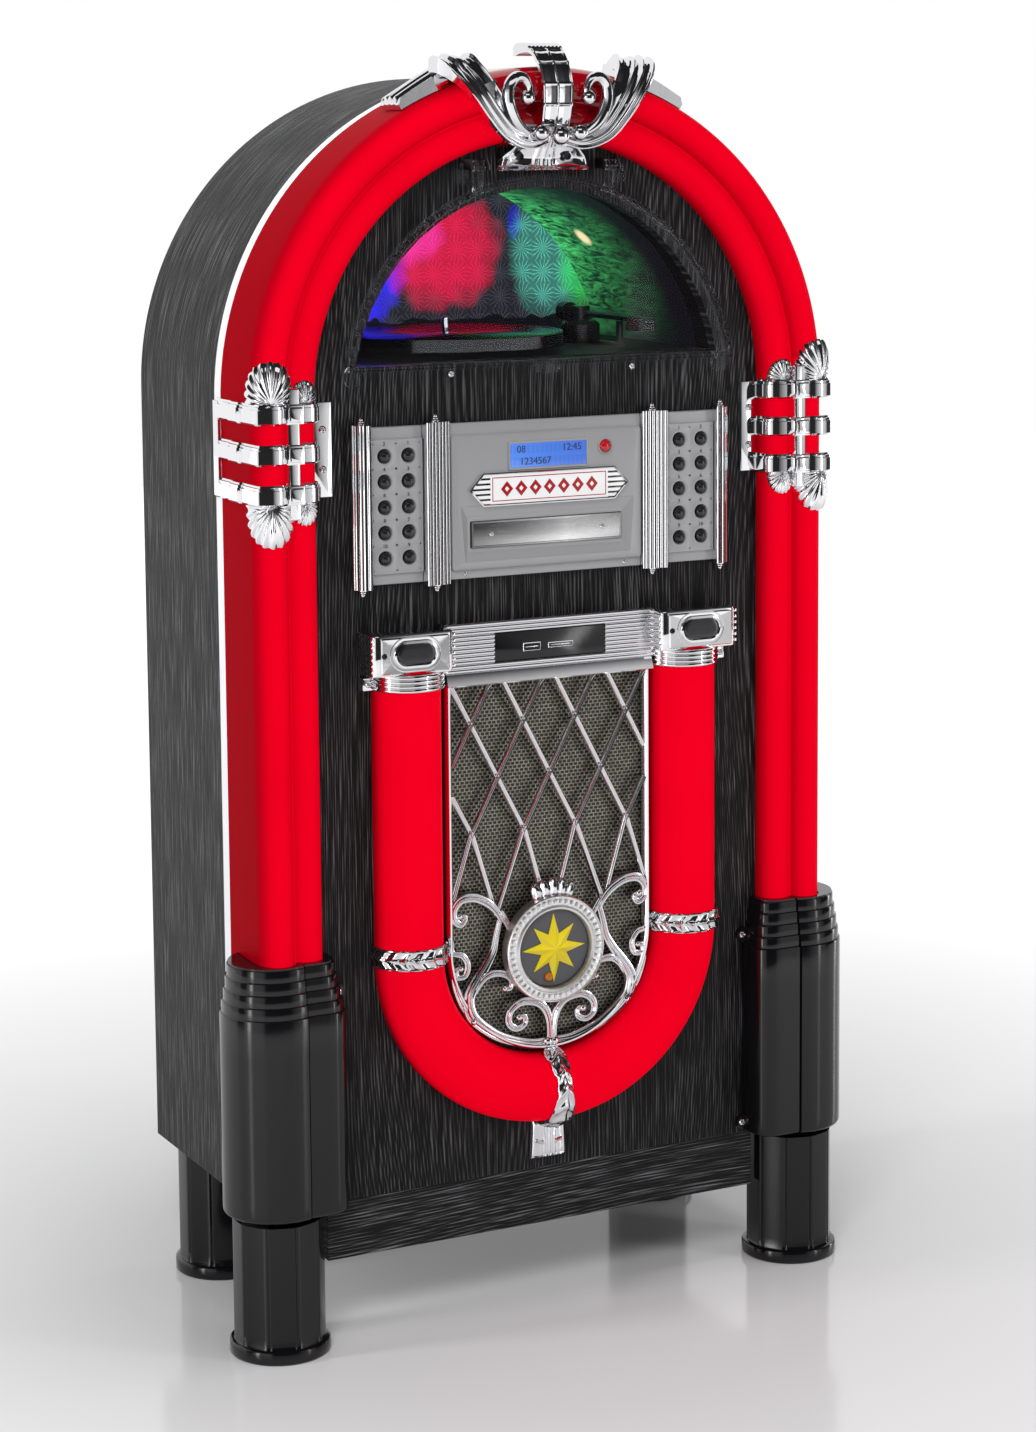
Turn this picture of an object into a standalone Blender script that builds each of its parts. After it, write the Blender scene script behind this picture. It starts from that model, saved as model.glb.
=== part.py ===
"""Arch-top jukebox with a lit tube, a record player behind a glazed door, a disc drawer and a key console.

Metres, +Z up, the front faces -Y. Shapes are laid out with y = 0 on the front of the cabinet's front panel,
and one empty carries them all, so that the origin ends up on the floor below the middle of the object.
"""

import math

import bmesh
import bpy
from mathutils import Matrix, Vector
from mathutils.geometry import intersect_line_line_2d, intersect_line_sphere_2d

for old in list(bpy.data.objects):
    bpy.data.objects.remove(old, do_unlink=True)

# Shared clearances.
GAP = 0.0003
RUN = 0.0005
OVERRUN = 0.002
SINK = 0.001

# Cabinet.
HALF_WIDTH = 0.2575
ARCH_Z = 0.768
CROWN_RISE = 0.0245
HEIGHT = ARCH_Z + HALF_WIDTH + CROWN_RISE
CABINET_BOTTOM = 0.115
CABINET_BACK = 0.240
WRAP_THICKNESS = 0.012
WRAP_FRONT = 0.066
WRAP_REBATE = 0.0043
PANEL_THICKNESS = 0.012
RAIL_BOTTOM = 0.067
RAIL_INSET = 0.0570
RAIL_HALF_WIDTH = HALF_WIDTH - RAIL_INSET
FLOOR_BOARD_THICKNESS = 0.012
REAR_COVER_THICKNESS = 0.005
REAR_COVER_INSET = 0.007
REAR_SLOT_HEIGHT = 0.004
REAR_SLOT_PITCH = 0.012
REAR_SLOT_HALF_LENGTH = 0.075
REAR_SLOT_Z = 0.60
REAR_SLOTS = 9
INLET_X = 0.15
INLET_Z = 0.165
INLET_HALF_WIDTH = 0.0145
INLET_HALF_HEIGHT = 0.0105
INLET_RIM = 0.004
INLET_DEPTH = 0.018

# White rim and lit tube round the arch.
RIM_DEPTH = 0.014
RIM_PROUD = 0.0022
TUBE_WALL = 0.0025
TUBE_WIDTH = 0.0530
LOBE_OUTER_WIDTH = 0.0263
LOBE_INNER_EDGE = HALF_WIDTH - TUBE_WIDTH
LOBE_GROOVE = HALF_WIDTH - LOBE_OUTER_WIDTH
LOBE_GROOVE_Y = -0.0115
LOBE_INNER_HEIGHT = 0.016
LOBE_INNER_Y = -0.003
LOBE_OUTER_HEIGHT = 0.020
LOBE_OUTER_Y = -0.005
TUBE_PROUD = 0.0025
TUBE_LEG_BOTTOM = 0.293
ARCH_STEPS = 28
LOBE_STEPS = 4

# Feet and the shrouds over the front ones.
FOOT_RADIUS = 0.0372
FOOT_RING_RADIUS = 0.0410
FOOT_RING_HEIGHT = 0.011
FOOT_ROUND = 0.002
FOOT_GROOVE_DEPTH = 0.0010
FOOT_GROOVES = 10
FOOT_FRONT_INSET = 0.0155
FOOT_FRONT_X = HALF_WIDTH - FOOT_FRONT_INSET
FOOT_FRONT_Y = 0.005
FOOT_FRONT_TOP = 0.195
FOOT_BACK_INSET = 0.0450
FOOT_BACK_X = HALF_WIDTH - FOOT_BACK_INSET
FOOT_BACK_Y = 0.204
SHROUD_BOTTOM = 0.117
SHROUD_DROP = 0.010
SHROUD_TOP = TUBE_LEG_BOTTOM - SHROUD_DROP
SHROUD_WALL = 0.0028
SHROUD_LOBE_INSET = 0.0140
SHROUD_LOBE_X = HALF_WIDTH - SHROUD_LOBE_INSET
SHROUD_LOBE_Y = 0.005
SHROUD_LOBE_RADIUS = 0.0430
SHROUD_SEAM_INSET = 0.0275
SHROUD_WIDTH = 0.0663
SHROUD_SEAM_X = HALF_WIDTH - SHROUD_SEAM_INSET
SHROUD_INNER_EDGE = HALF_WIDTH - SHROUD_WIDTH
SHROUD_INNER_FRONT = -0.0342
SHROUD_INNER_ROUND = 0.0160
SHROUD_EDGE_ROUND = 0.004
COLLAR_STEP_HEIGHT = 0.0098
COLLAR_STEP_IN = 0.0016
COLLAR_STEPS = 4
COLLAR_CLEARANCE = 0.0018
LUG_RADIUS = 0.0062
LUG_THICKNESS = 0.0030
LUG_RISE = 0.0085
LUG_UPPER_Z = SHROUD_TOP + LUG_RISE
LUG_LOWER_Z = 0.1250
LUG_REACH = 0.0035

# Clamps at the spring line.
CLAMP_Z = 0.7305
CLAMP_BAND_PITCH = 0.0315
CLAMP_BAND_HEIGHT = 0.0162
CLAMP_BAND_THICKNESS = 0.0048
CLAMP_RIDGE = 0.0014
CLAMP_POST_HALF_WIDTH = 0.0055
CLAMP_POST_RISE = 0.052
CLAMP_BOSS_HALF = 0.0068
CLAMP_BOSS_PROUD = 0.0080
CLAMP_FLANGE_REACH = 0.0165
CLAMP_FLANGE_THICKNESS = 0.0022
CLAMP_SIDE_LEG = 0.006
CLAMP_SIDE_BACK = 0.062
SHELL_OUTER_WIDE = 0.0235
SHELL_OUTER_HIGH = 0.0330
SHELL_INNER_WIDE = 0.0125
SHELL_INNER_HIGH = 0.0175
SHELL_THICKNESS = 0.0035
SHELL_FLUTE = 0.0011
SHELL_FLUTES = 7

# Window door and its compartment.
WINDOW_Z = 0.766
WINDOW_SURROUND = 0.0270
WINDOW_RADIUS = LOBE_INNER_EDGE - WINDOW_SURROUND
WINDOW_BOTTOM = 0.790
WINDOW_FRAME_WIDTH = 0.0045
WINDOW_FRAME_DEPTH = 0.0125
WINDOW_PANE_THICKNESS = 0.0022
WINDOW_PANE_Y = -0.0105
WINDOW_LIP = 0.010
HINGE_X = 0.0600
HINGE_HALF_WIDTH = 0.0055
HINGE_EAR_THICKNESS = 0.0030
HINGE_RISE = 0.0080
HINGE_Z = WINDOW_Z + WINDOW_RADIUS + HINGE_RISE
HINGE_Y = -0.0095
HINGE_RADIUS = 0.0042
LATCH_HALF_WIDTH = 0.010
LATCH_DROP = 0.0045
LATCH_THICKNESS = 0.003
WELL_CLEARANCE = 0.0055
WELL_RADIUS = WINDOW_RADIUS - WELL_CLEARANCE
WELL_WALL = 0.0025
WELL_BACK = 0.2240
DECK_TOP = 0.7960
DECK_THICKNESS = 0.010
DECK_CLEARANCE = 0.0045
DECK_HALF_WIDTH = WELL_RADIUS - DECK_CLEARANCE

# Record player.
PLATTER_X = -0.0300
PLATTER_Y = 0.1130
PLATTER_RADIUS = 0.0980
PLATTER_BOTTOM = 0.8010
PLATTER_TOP = 0.8105
PLATTER_LIP = 0.0015
PLATTER_HUB_RADIUS = 0.0045
SPINDLE_RADIUS = 0.0030
SPINDLE_TOP = 0.8240
MOTOR_RADIUS = 0.0190
MOTOR_HEIGHT = 0.0300
ARM_X = 0.1130
ARM_Y = 0.1450
ARM_BASE_RADIUS = 0.0165
ARM_BASE_HEIGHT = 0.0180
ARM_PIVOT_RADIUS = 0.0080
ARM_PIVOT_HEIGHT = 0.0120
ARM_LENGTH = 0.1060
ARM_TAIL = 0.0240
ARM_TUBE_RADIUS = 0.0028
ARM_HEAD_LENGTH = 0.0240
ARM_HEAD_HALF_WIDTH = 0.0070
ARM_HEAD_HEIGHT = 0.0062
ARM_WEIGHT_RADIUS = 0.0080
ARM_WEIGHT_LENGTH = 0.0120
ARM_REST_REACH = 0.0700
ARM_REST_RADIUS = 0.0030

# Key console.
CONSOLE_TOP = 0.7460
CONSOLE_BOTTOM = 0.6195
CONSOLE_THICKNESS = 0.0102
CONSOLE_CHAMFER = 0.0015
CONSOLE_JOIN = 0.0995
TRIM_INNER_X = 0.0995
TRIM_OUTER_X = 0.1648
TRIM_HALF_WIDTH = 0.0070
TRIM_INNER_HALF_WIDTH = 0.0110
TRIM_PROUD = 0.0062
TRIM_RIBS = 3
TRIM_TOP = 0.7485
TRIM_BOTTOM = 0.6170
TRIM_TIP_RADIUS = 0.0032
TRIM_TIP_REACH = 0.0022
KEY_PANEL_INNER = 0.1112
KEY_PANEL_OUTER = 0.1720
KEY_PANEL_THICKNESS = 0.0085
KEY_X = 0.1350
KEY_PITCH_X = 0.0210
KEY_PITCH_Z = 0.0205
KEY_ROWS = 5
KEY_COLUMNS = 2
KEY_ROW_Z = 0.6820
KEY_RADIUS = 0.0049
KEY_PROUD = 0.0016
KEY_LENGTH = 0.0075
KEY_DISH = 0.0006
KEY_SIDES = 10
LCD_HALF_WIDTH = 0.0350
LCD_Z = 0.7178
LCD_HALF_HEIGHT = 0.0098
LCD_THICKNESS = 0.0016
LCD_POCKET = 0.0024
SENSOR_X = 0.0526
SENSOR_Z = 0.7218
SENSOR_RADIUS = 0.0056
SENSOR_DOME = 0.0016
BADGE_Z = 0.6915
BADGE_HALF_WIDTH = 0.0715
BADGE_HALF_HEIGHT = 0.0135
BADGE_POINT = 0.0135
BADGE_THICKNESS = 0.0022
TRAY_Z = 0.6550
TRAY_RECESS_TOP_HALF = 0.0765
TRAY_RECESS_BOTTOM_HALF = 0.0745
TRAY_RECESS_HALF_HEIGHT = 0.0185
TRAY_RECESS_DEPTH = 0.0035

# Disc drawer.
TRAY_FRONT_HALF_WIDTH = 0.0690
TRAY_FRONT_HALF_HEIGHT = 0.0106
TRAY_FRONT_THICKNESS = 0.0045
TRAY_FRONT_Y = -0.0095
TRAY_HALF_WIDTH = 0.0645
TRAY_HALF_HEIGHT = 0.0055
TRAY_LENGTH = 0.1500
TRAY_DISC_RADIUS = 0.0610
TRAY_DISC_DEPTH = 0.0030
TRAY_SLOT_HALF_WIDTH = 0.0140
DRIVE_HALF_WIDTH = 0.0735
DRIVE_HALF_HEIGHT = 0.0200
DRIVE_LENGTH = 0.1750
DRIVE_WALL = 0.0012

# Head bar over the grille, with two switch boxes.
BOX_X = 0.1312
BOX_HALF_WIDTH = 0.0362
BOX_TOP = 0.5825
BOX_BOTTOM = 0.5350
BOX_FRONT = -0.0335
BOX_FACE_HALF_WIDTH = 0.0300
BOX_FACE_BOTTOM = 0.5490
BOX_ROUND = 0.0030
BAR_HALF_WIDTH = 0.0965
BAR_TOP = 0.5840
BAR_FRONT = -0.0125
BAR_RIBS = 9
BAR_RIB_DEPTH = 0.0014
BAR_PLATE_HALF_WIDTH = 0.0510
BAR_PLATE_Z = 0.5620
BAR_PLATE_HALF_HEIGHT = 0.0120
BAR_PLATE_DEPTH = 0.0020
PILL_Z = 0.5665
PILL_HALF_WIDTH = 0.0165
PILL_HALF_HEIGHT = 0.0080
PILL_THICKNESS = 0.0060
PILL_PROUD = 0.0018
PILL_TRAVEL = 0.0015
PILL_FRAME = 0.0032
PILL_FRAME_PROUD = 0.0016

# U-shaped tube, grille and what sits behind them.
U_X = 0.1276
U_Z = 0.3140
U_RADIUS = 0.0285
U_AXIS_Y = -0.0050
U_TOP = 0.5335
GRILLE_HALF_WIDTH = 0.0935
GRILLE_TOP = 0.5330
GRILLE_FRONT = -0.0120
BAR_RADIUS = 0.0021
LATTICE_PITCH = 0.0480
LATTICE_STEP = 0.0455
LATTICE_Z = 0.4540
LATTICE_LOW = 0.3380
LATTICE_LINES = 6
RAIL_RADIUS = 0.0028
SCROLL_RADIUS = 0.0036
LIP_HEIGHT = 0.0090
LIP_THICKNESS = 0.0030
BAND_HEIGHT = 0.0105
BAND_THICKNESS = 0.0030
BAND_RISE = 0.0065
CLASP_HALF_WIDTH = 0.0085
CLASP_THICKNESS = 0.0050
CLASP_END_HALF_WIDTH = 0.0160
CLASP_END_BOTTOM = 0.1250
CLASP_END_TOP = 0.1600
CLASP_END_THICKNESS = 0.0060
MESH_THICKNESS = 0.0010
MESH_PITCH = 0.0255
MESH_WIRE = 0.0030
MESH_BORDER = 0.0040
MESH_EDGE = 0.0030
MEDAL_Z = 0.3065
MEDAL_RADIUS = 0.0450
MEDAL_FACE_RADIUS = 0.0335
MEDAL_BACK = -0.0085
MEDAL_FRONT = -0.0225
MEDAL_FACE = -0.0150
MEDAL_SEAT = 0.0040
MEDAL_SIDES = 28
STAR_RADIUS = 0.0290
STAR_WAIST_SHARE = 0.46
STAR_SHORT_SHARE = 0.82
STAR_HEIGHT = 0.0060
SPEAKER_Z = 0.4200
SPEAKER_RADIUS = 0.0620
SPEAKER_OPENING = 0.0560
SPEAKER_DEPTH = 0.0560
SPEAKER_MAGNET_RADIUS = 0.0350
SPEAKER_MAGNET_THICKNESS = 0.0160
SPEAKER_RIM = 0.0040
SPEAKER_CONE_WALL = 0.0015
BOARD_HALF_WIDTH = 0.0800
BOARD_Y = 0.1300
BOARD_HALF_DEPTH = 0.0500
BOARD_THICKNESS = 0.0016
BOARD_STANDOFF = 0.0080
BOARD_POST_RADIUS = 0.0040
HEATSINK_HEIGHT = 0.0300
HEATSINK_FIN = 0.0020
HEATSINK_FINS = 5
HEATSINK_PITCH = 0.0060

# Crown and the dark lens under it.
LENS_GAP = 0.0003
LENS_WALL = 0.0022
LENS_STEPS = 3
STRAP_THICKNESS = 0.0042
STRAP_HALF_WIDTH = 0.0150
CROWN_BAND_HALF_WIDTH = 0.0145
CROWN_BAND_THICKNESS = 0.0048
VOLUTE_RADIUS = 0.0046
BALL_RADIUS = 0.0070
BALL_X = 0.0165
BALL_Y = -0.0385
BALL_DEPTH = 0.0660
BALL_Z = HEIGHT - BALL_DEPTH
SKIRT_HALF_WIDTH = 0.0415
SKIRT_DEPTH = 0.1025
SKIRT_HEIGHT = 0.0325
SKIRT_BOTTOM = HEIGHT - SKIRT_DEPTH
SKIRT_TOP = SKIRT_BOTTOM + SKIRT_HEIGHT
SKIRT_THICKNESS = 0.0042
SKIRT_FOOT_Y = -SKIRT_THICKNESS - GAP
WING_END_SHARE = 1.5
WING_START_SHARE = 0.8
WING_STEP_SHARE = 0.01
WING_ROOT = 0.0170
WING_THICKNESS = 0.0085
WING_BACK = 0.0260

ROOT = bpy.data.objects.new("frame", None)
ROOT.location.y = -(BALL_Y - BALL_RADIUS + FOOT_BACK_Y + FOOT_RING_RADIUS) / 2
bpy.context.scene.collection.objects.link(ROOT)


# Materials.


def look(name, colour, roughness, metallic):
    material = bpy.data.materials.new(name)
    material.use_nodes = True
    shader = material.node_tree.nodes["Principled BSDF"]
    shader.inputs["Base Color"].default_value = (*colour, 1)
    shader.inputs["Roughness"].default_value = roughness
    shader.inputs["Metallic"].default_value = metallic
    material.diffuse_color = (*colour, 1)
    return material


WOOD = look("black_wood_foil", (0.020, 0.020, 0.022), 0.45, 0.0)
RED = look("lit_red_plastic", (0.80, 0.010, 0.010), 0.35, 0.0)
DARK_RED = look("dark_red_lens", (0.25, 0.005, 0.010), 0.10, 0.0)
CHROME = look("chrome_plating", (0.80, 0.80, 0.82), 0.08, 1.0)
SILVER = look("silver_plastic", (0.50, 0.50, 0.51), 0.40, 0.3)
BLACK = look("black_plastic", (0.012, 0.012, 0.013), 0.20, 0.0)
WHITE = look("white_plastic", (0.85, 0.85, 0.85), 0.40, 0.0)
CLEAR = look("smoked_clear_plastic", (0.10, 0.10, 0.11), 0.05, 0.0)
BLUE = look("display_window", (0.10, 0.25, 0.70), 0.15, 0.0)
STEEL = look("grey_steel", (0.45, 0.45, 0.44), 0.35, 0.8)
GREEN = look("green_board", (0.02, 0.15, 0.05), 0.50, 0.0)
PAPER = look("black_cone", (0.03, 0.03, 0.03), 0.80, 0.0)


# Mesh helpers.


def skin(bm, rings, closed=False):
    """Joins rings with equal counts of points into a closed surface, with flat ends unless it is a loop."""
    loops = [[bm.verts.new(point) for point in ring] for ring in rings]
    pairs = list(zip(loops, loops[1:]))
    if closed:
        pairs.append((loops[-1], loops[0]))
    for first, second in pairs:
        for i, corner in enumerate(first):
            j = (i + 1) % len(first)
            bm.faces.new((corner, first[j], second[j], second[i]))
    if not closed:
        bm.faces.new(loops[0][::-1])
        bm.faces.new(loops[-1])
    return bm


def make(name, bm, material, origin=(0, 0, 0), sharp=40):
    """Turns a mesh into an object under the frame empty, with its origin at the given point."""
    bmesh.ops.translate(bm, verts=bm.verts, vec=-Vector(origin))
    bmesh.ops.recalc_face_normals(bm, faces=bm.faces)
    mesh = bpy.data.meshes.new(name)
    bm.to_mesh(mesh)
    bm.free()
    mesh.materials.append(material)
    mesh.shade_smooth()
    mesh.set_sharp_from_angle(angle=math.radians(sharp))
    thing = bpy.data.objects.new(name, mesh)
    bpy.context.scene.collection.objects.link(thing)
    thing.parent = ROOT
    thing.location = origin
    return thing


def combine(thing, bm, operation, origin=(0, 0, 0)):
    """Adds one Boolean step to an object, with its helper shape kept out of the picture."""
    count = len(thing.modifiers)
    helper = make(f"{thing.name}.helper{count}", bm, thing.data.materials[0], origin)
    helper.hide_render = True
    helper.display_type = "WIRE"
    step = thing.modifiers.new(f"{operation.lower()}{count}", "BOOLEAN")
    step.operation = operation
    step.solver = "EXACT"
    step.use_self = operation == "UNION"
    step.object = helper
    return thing


def cut(thing, bm, origin=(0, 0, 0)):
    return combine(thing, bm, "DIFFERENCE", origin)


def join(thing, bm, origin=(0, 0, 0)):
    return combine(thing, bm, "UNION", origin)


def box(bm, x, y, z):
    """Adds a block from its three spans."""
    ring = [(x[0], y[0]), (x[1], y[0]), (x[1], y[1]), (x[0], y[1])]
    return skin(bm, [[(a, b, level) for a, b in ring] for level in z])


def prism(bm, outline, y):
    """Adds an outline of (x, z) points drawn out along Y."""
    return skin(bm, [[(x, level, z) for x, z in outline] for level in y])


def column(bm, outline, z):
    """Adds an outline of (x, y) points drawn out along Z."""
    return skin(bm, [[(x, y, level) for x, y in outline] for level in z])


def turned(bm, centre, profile, sides, axis="Z", closed=False):
    """Adds a turned body from (radius, height) points along an axis through the centre."""
    rings = []
    for radius, height in profile:
        ring = []
        for i in range(sides):
            angle = math.tau * (i + 0.5) / sides
            u, v = radius * math.cos(angle), radius * math.sin(angle)
            shift = {"Z": (u, v, height), "Y": (u, height, v), "X": (height, u, v)}[axis]
            ring.append(Vector(centre) + Vector(shift))
        rings.append(ring)
    return skin(bm, rings, closed)


def ball(bm, centre, radius, sides=10):
    steps = sides // 2
    angles = [math.pi * (i + 0.5) / steps for i in range(steps)]
    profile = [(radius * math.sin(a), -radius * math.cos(a)) for a in angles]
    return turned(bm, centre, profile, sides)


def arc(centre, radii, start, end, steps):
    """Points on an ellipse between two angles in degrees."""
    points = []
    for i in range(steps + 1):
        angle = math.radians(start + (end - start) * i / steps)
        points.append((centre[0] + radii[0] * math.cos(angle), centre[1] + radii[1] * math.sin(angle)))
    return points


def rounded(half_width, half_height, radius, centre=(0, 0), steps=3):
    """A rectangle with round corners, as outline points."""
    points = []
    for turn, (sx, sz) in enumerate(((1, 1), (-1, 1), (-1, -1), (1, -1))):
        corner = (centre[0] + sx * (half_width - radius), centre[1] + sz * (half_height - radius))
        points += arc(corner, (radius, radius), 90 * turn, 90 * turn + 90, steps)
    return points


def run_length(points):
    lengths = [0.0]
    for a, b in zip(points, points[1:]):
        lengths.append(lengths[-1] + math.dist(a, b))
    return lengths


def place_on(points, lengths, s, distance):
    """The point at length s along a run of points, moved out from it by a distance."""
    s = min(max(s, 0), lengths[-1])
    i = max(k for k in range(len(points) - 1) if lengths[k] <= s)
    a, b = Vector(points[i]), Vector(points[i + 1])
    along = (b - a).normalized()
    spot = a + along * (s - lengths[i])
    return spot.x + along.y * distance, spot.y - along.x * distance


def smooth_path(points, steps):
    """Points on a curve that passes through the given ones."""
    given = [Vector(p) for p in points]
    ends = [2 * given[0] - given[1], *given, 2 * given[-1] - given[-2]]
    path = []
    for a, b, c, d in zip(ends, ends[1:], ends[2:], ends[3:]):
        for i in range(steps):
            t = i / steps
            path.append(
                ((-a + 3 * b - 3 * c + d) * t**3 + (2 * a - 5 * b + 4 * c - d) * t**2 + (c - a) * t) / 2 + b
            )
    return path + [given[-1]]


def rod(bm, path, radius, sides=6, end_share=1.0, flat_share=1.0):
    """Adds a round bar along a path. It tapers to a share of its radius and may be flattened across the front."""
    rings = []
    side = None
    for i, point in enumerate(path):
        along = (Vector(path[min(i + 1, len(path) - 1)]) - Vector(path[max(i - 1, 0)])).normalized()
        if side is None:
            across = Vector((0, 0, 1)) if abs(along.y) > abs(along.z) else Vector((0, 1, 0))
            side = along.cross(across).normalized()
        side = (side - along * side.dot(along)).normalized()
        up = along.cross(side)
        size = radius * (1 + (end_share - 1) * i / (len(path) - 1))
        ring = []
        for k in range(sides):
            angle = math.tau * (k + 0.5) / sides
            ring.append(Vector(point) + size * (side * math.cos(angle) + up * math.sin(angle) * flat_share))
        rings.append(ring)
    return skin(bm, rings)


# Outlines that several pieces share.


def arch_outline(radius, bottom, steps=ARCH_STEPS, centre=ARCH_Z):
    """A door shape: straight sides up to the arch centre and half a circle above."""
    return [(radius, bottom), *arc((0, centre), (radius, radius), 0, 180, steps), (-radius, bottom)]


def arch_rings(profile, bottom, steps=ARCH_STEPS):
    """Carries a closed profile of (radius, y) points up one side, over the arch and down the other."""
    rings = [[(r, y, bottom) for r, y in profile]]
    for i in range(steps + 1):
        rings.append([on_arch(r, y, i) for r, y in profile])
    rings.append([(-r, y, bottom) for r, y in profile])
    return rings


def on_arch(r, y, turn):
    """A point on the faceted arch, some steps round from its right spring point."""
    low = min(int(turn), ARCH_STEPS - 1)
    ends = []
    for i in (low, low + 1):
        angle = math.pi * i / ARCH_STEPS
        ends.append(Vector((r * math.cos(angle), y, ARCH_Z + r * math.sin(angle))))
    return ends[0].lerp(ends[1], turn - low)


def up_side(side, r, y, z):
    """A point beside the arch: straight up to the spring line, then bent round with the arch."""
    if z <= ARCH_Z:
        return Vector((side * r, y, z))
    turn = (z - ARCH_Z) / LOBE_GROOVE * ARCH_STEPS / math.pi
    spot = on_arch(r, y, turn)
    return Vector((side * spot.x, spot.y, spot.z))


def lobe(edge, way, y, height, steps):
    """One lobe's outside in (radius, y), from its own edge to the groove: part of half an ellipse."""
    rise = (y - LOBE_GROOVE_Y) / height
    half = abs(LOBE_GROOVE - edge) / (1 + math.sqrt(1 - rise * rise))
    end = math.pi - math.asin(rise)
    angles = [end * i / steps for i in range(steps + 1)]
    return [(edge + way * half * (1 - math.cos(a)), y - height * math.sin(a)) for a in angles]


def moved(points, distance):
    """A run of (radius, y) points moved sideways to its outside, with mitred corners."""
    run = [Vector(p) for p in points]
    normals = []
    for start, end in zip(run, run[1:]):
        along = (end - start).normalized()
        normals.append(Vector((along.y, -along.x)))
    placed = []
    for i, point in enumerate(run):
        first, last = normals[max(i - 1, 0)], normals[min(i, len(normals) - 1)]
        out = (first + last).normalized()
        placed.append(point + out * (distance / out.dot(first)))
    return placed


def cut_at_meeting(inner, outer):
    """Two runs that cross in the groove, each ended where they meet."""
    for i in range(len(inner) - 2, 0, -1):
        for j in range(len(outer) - 2):
            spot = intersect_line_line_2d(inner[i], inner[i + 1], outer[j], outer[j + 1])
            if spot:
                return inner[: i + 1] + [spot] + outer[j + 1 :]
    return inner[:-1] + outer


def hug(distance=0, back=WRAP_FRONT - RIM_DEPTH - GAP, steps=LOBE_STEPS):
    """The lit tube's outline in (radius, y), moved out by a distance: lobe, groove, large lobe, flat side."""
    rim = HALF_WIDTH + TUBE_PROUD
    inner = [(LOBE_INNER_EDGE, -GAP), *lobe(LOBE_INNER_EDGE, 1, LOBE_INNER_Y, LOBE_INNER_HEIGHT, steps)]
    outer = [*lobe(rim, -1, LOBE_OUTER_Y, LOBE_OUTER_HEIGHT, steps)[::-1], (rim, back)]
    if distance == 0:
        return [Vector(p) for p in inner[:-1] + outer]
    inner, outer = moved(inner, distance), moved(outer, distance)
    if distance < 0:
        return inner + outer
    return cut_at_meeting(inner, outer)


def window_outline(radius, bottom, steps=20):
    """A circle cut off straight below, as outline points from the right corner over the top."""
    low = math.degrees(math.asin((bottom - WINDOW_Z) / radius))
    return arc((0, WINDOW_Z), (radius, radius), low, 180 - low, steps)


# Cabinet.


def cabinet_shell():
    """Side walls and curved roof bent from one board, with a rebate in front for the tube and the rim."""
    inside = HALF_WIDTH - WRAP_THICKNESS
    step = HALF_WIDTH - WRAP_REBATE
    front = PANEL_THICKNESS + GAP
    profile = [(inside, front), (step, front), (step, WRAP_FRONT + GAP)]
    profile += [(HALF_WIDTH, WRAP_FRONT + GAP), (HALF_WIDTH, CABINET_BACK), (inside, CABINET_BACK)]
    return make("cabinet_shell", skin(bmesh.new(), arch_rings(profile, CABINET_BOTTOM)), WOOD)


def bottom_board():
    half = HALF_WIDTH - WRAP_THICKNESS - GAP
    span_z = (CABINET_BOTTOM, CABINET_BOTTOM + FLOOR_BOARD_THICKNESS)
    bm = box(bmesh.new(), (-half, half), (PANEL_THICKNESS + GAP, CABINET_BACK), span_z)
    return make("bottom_board", bm, WOOD)


def front_baffle():
    """Front panel with the openings for the window, the disc drawer and the speaker, and the door's hinge ears."""
    outline = arch_outline(HALF_WIDTH - WRAP_REBATE, CABINET_BOTTOM + GAP)
    panel = make("front_baffle", prism(bmesh.new(), outline, (0, PANEL_THICKNESS)), WOOD)
    through = (-OVERRUN, PANEL_THICKNESS + OVERRUN)
    opening = window_outline(WINDOW_RADIUS - WINDOW_LIP, WINDOW_BOTTOM + WINDOW_LIP / 2)
    cutter = prism(bmesh.new(), opening, through)
    drive = (DRIVE_HALF_WIDTH - OVERRUN, DRIVE_HALF_HEIGHT - OVERRUN / 2)
    box(cutter, (-drive[0], drive[0]), through, (TRAY_Z - drive[1], TRAY_Z + drive[1]))
    hole = [(SPEAKER_OPENING, through[0]), (SPEAKER_OPENING, through[1])]
    turned(cutter, (0, 0, SPEAKER_Z), hole, 32, "Y")
    cut(panel, cutter)
    ears = bmesh.new()
    near = HINGE_HALF_WIDTH + GAP
    for side in (-1, 1):
        for inner in (-near - HINGE_EAR_THICKNESS, near):
            x = side * HINGE_X + inner
            outline = hinge_ear_outline()
            skin(ears, [[(level, y, z) for y, z in outline] for level in (x, x + HINGE_EAR_THICKNESS)])
    return join(panel, ears)


def hinge_ear_outline():
    top = HINGE_Z + HINGE_RADIUS + SINK
    low = HINGE_Z - HINGE_RADIUS + SINK
    front = HINGE_Y - HINGE_RADIUS
    return [(SINK, low), (SINK, top), (front + HINGE_RADIUS, top), (front, HINGE_Z), (front, low)]


def bottom_rail():
    span_z = (RAIL_BOTTOM, CABINET_BOTTOM)
    bm = box(bmesh.new(), (-RAIL_HALF_WIDTH, RAIL_HALF_WIDTH), (0, PANEL_THICKNESS), span_z)
    return make("bottom_rail", bm, WOOD)


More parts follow.
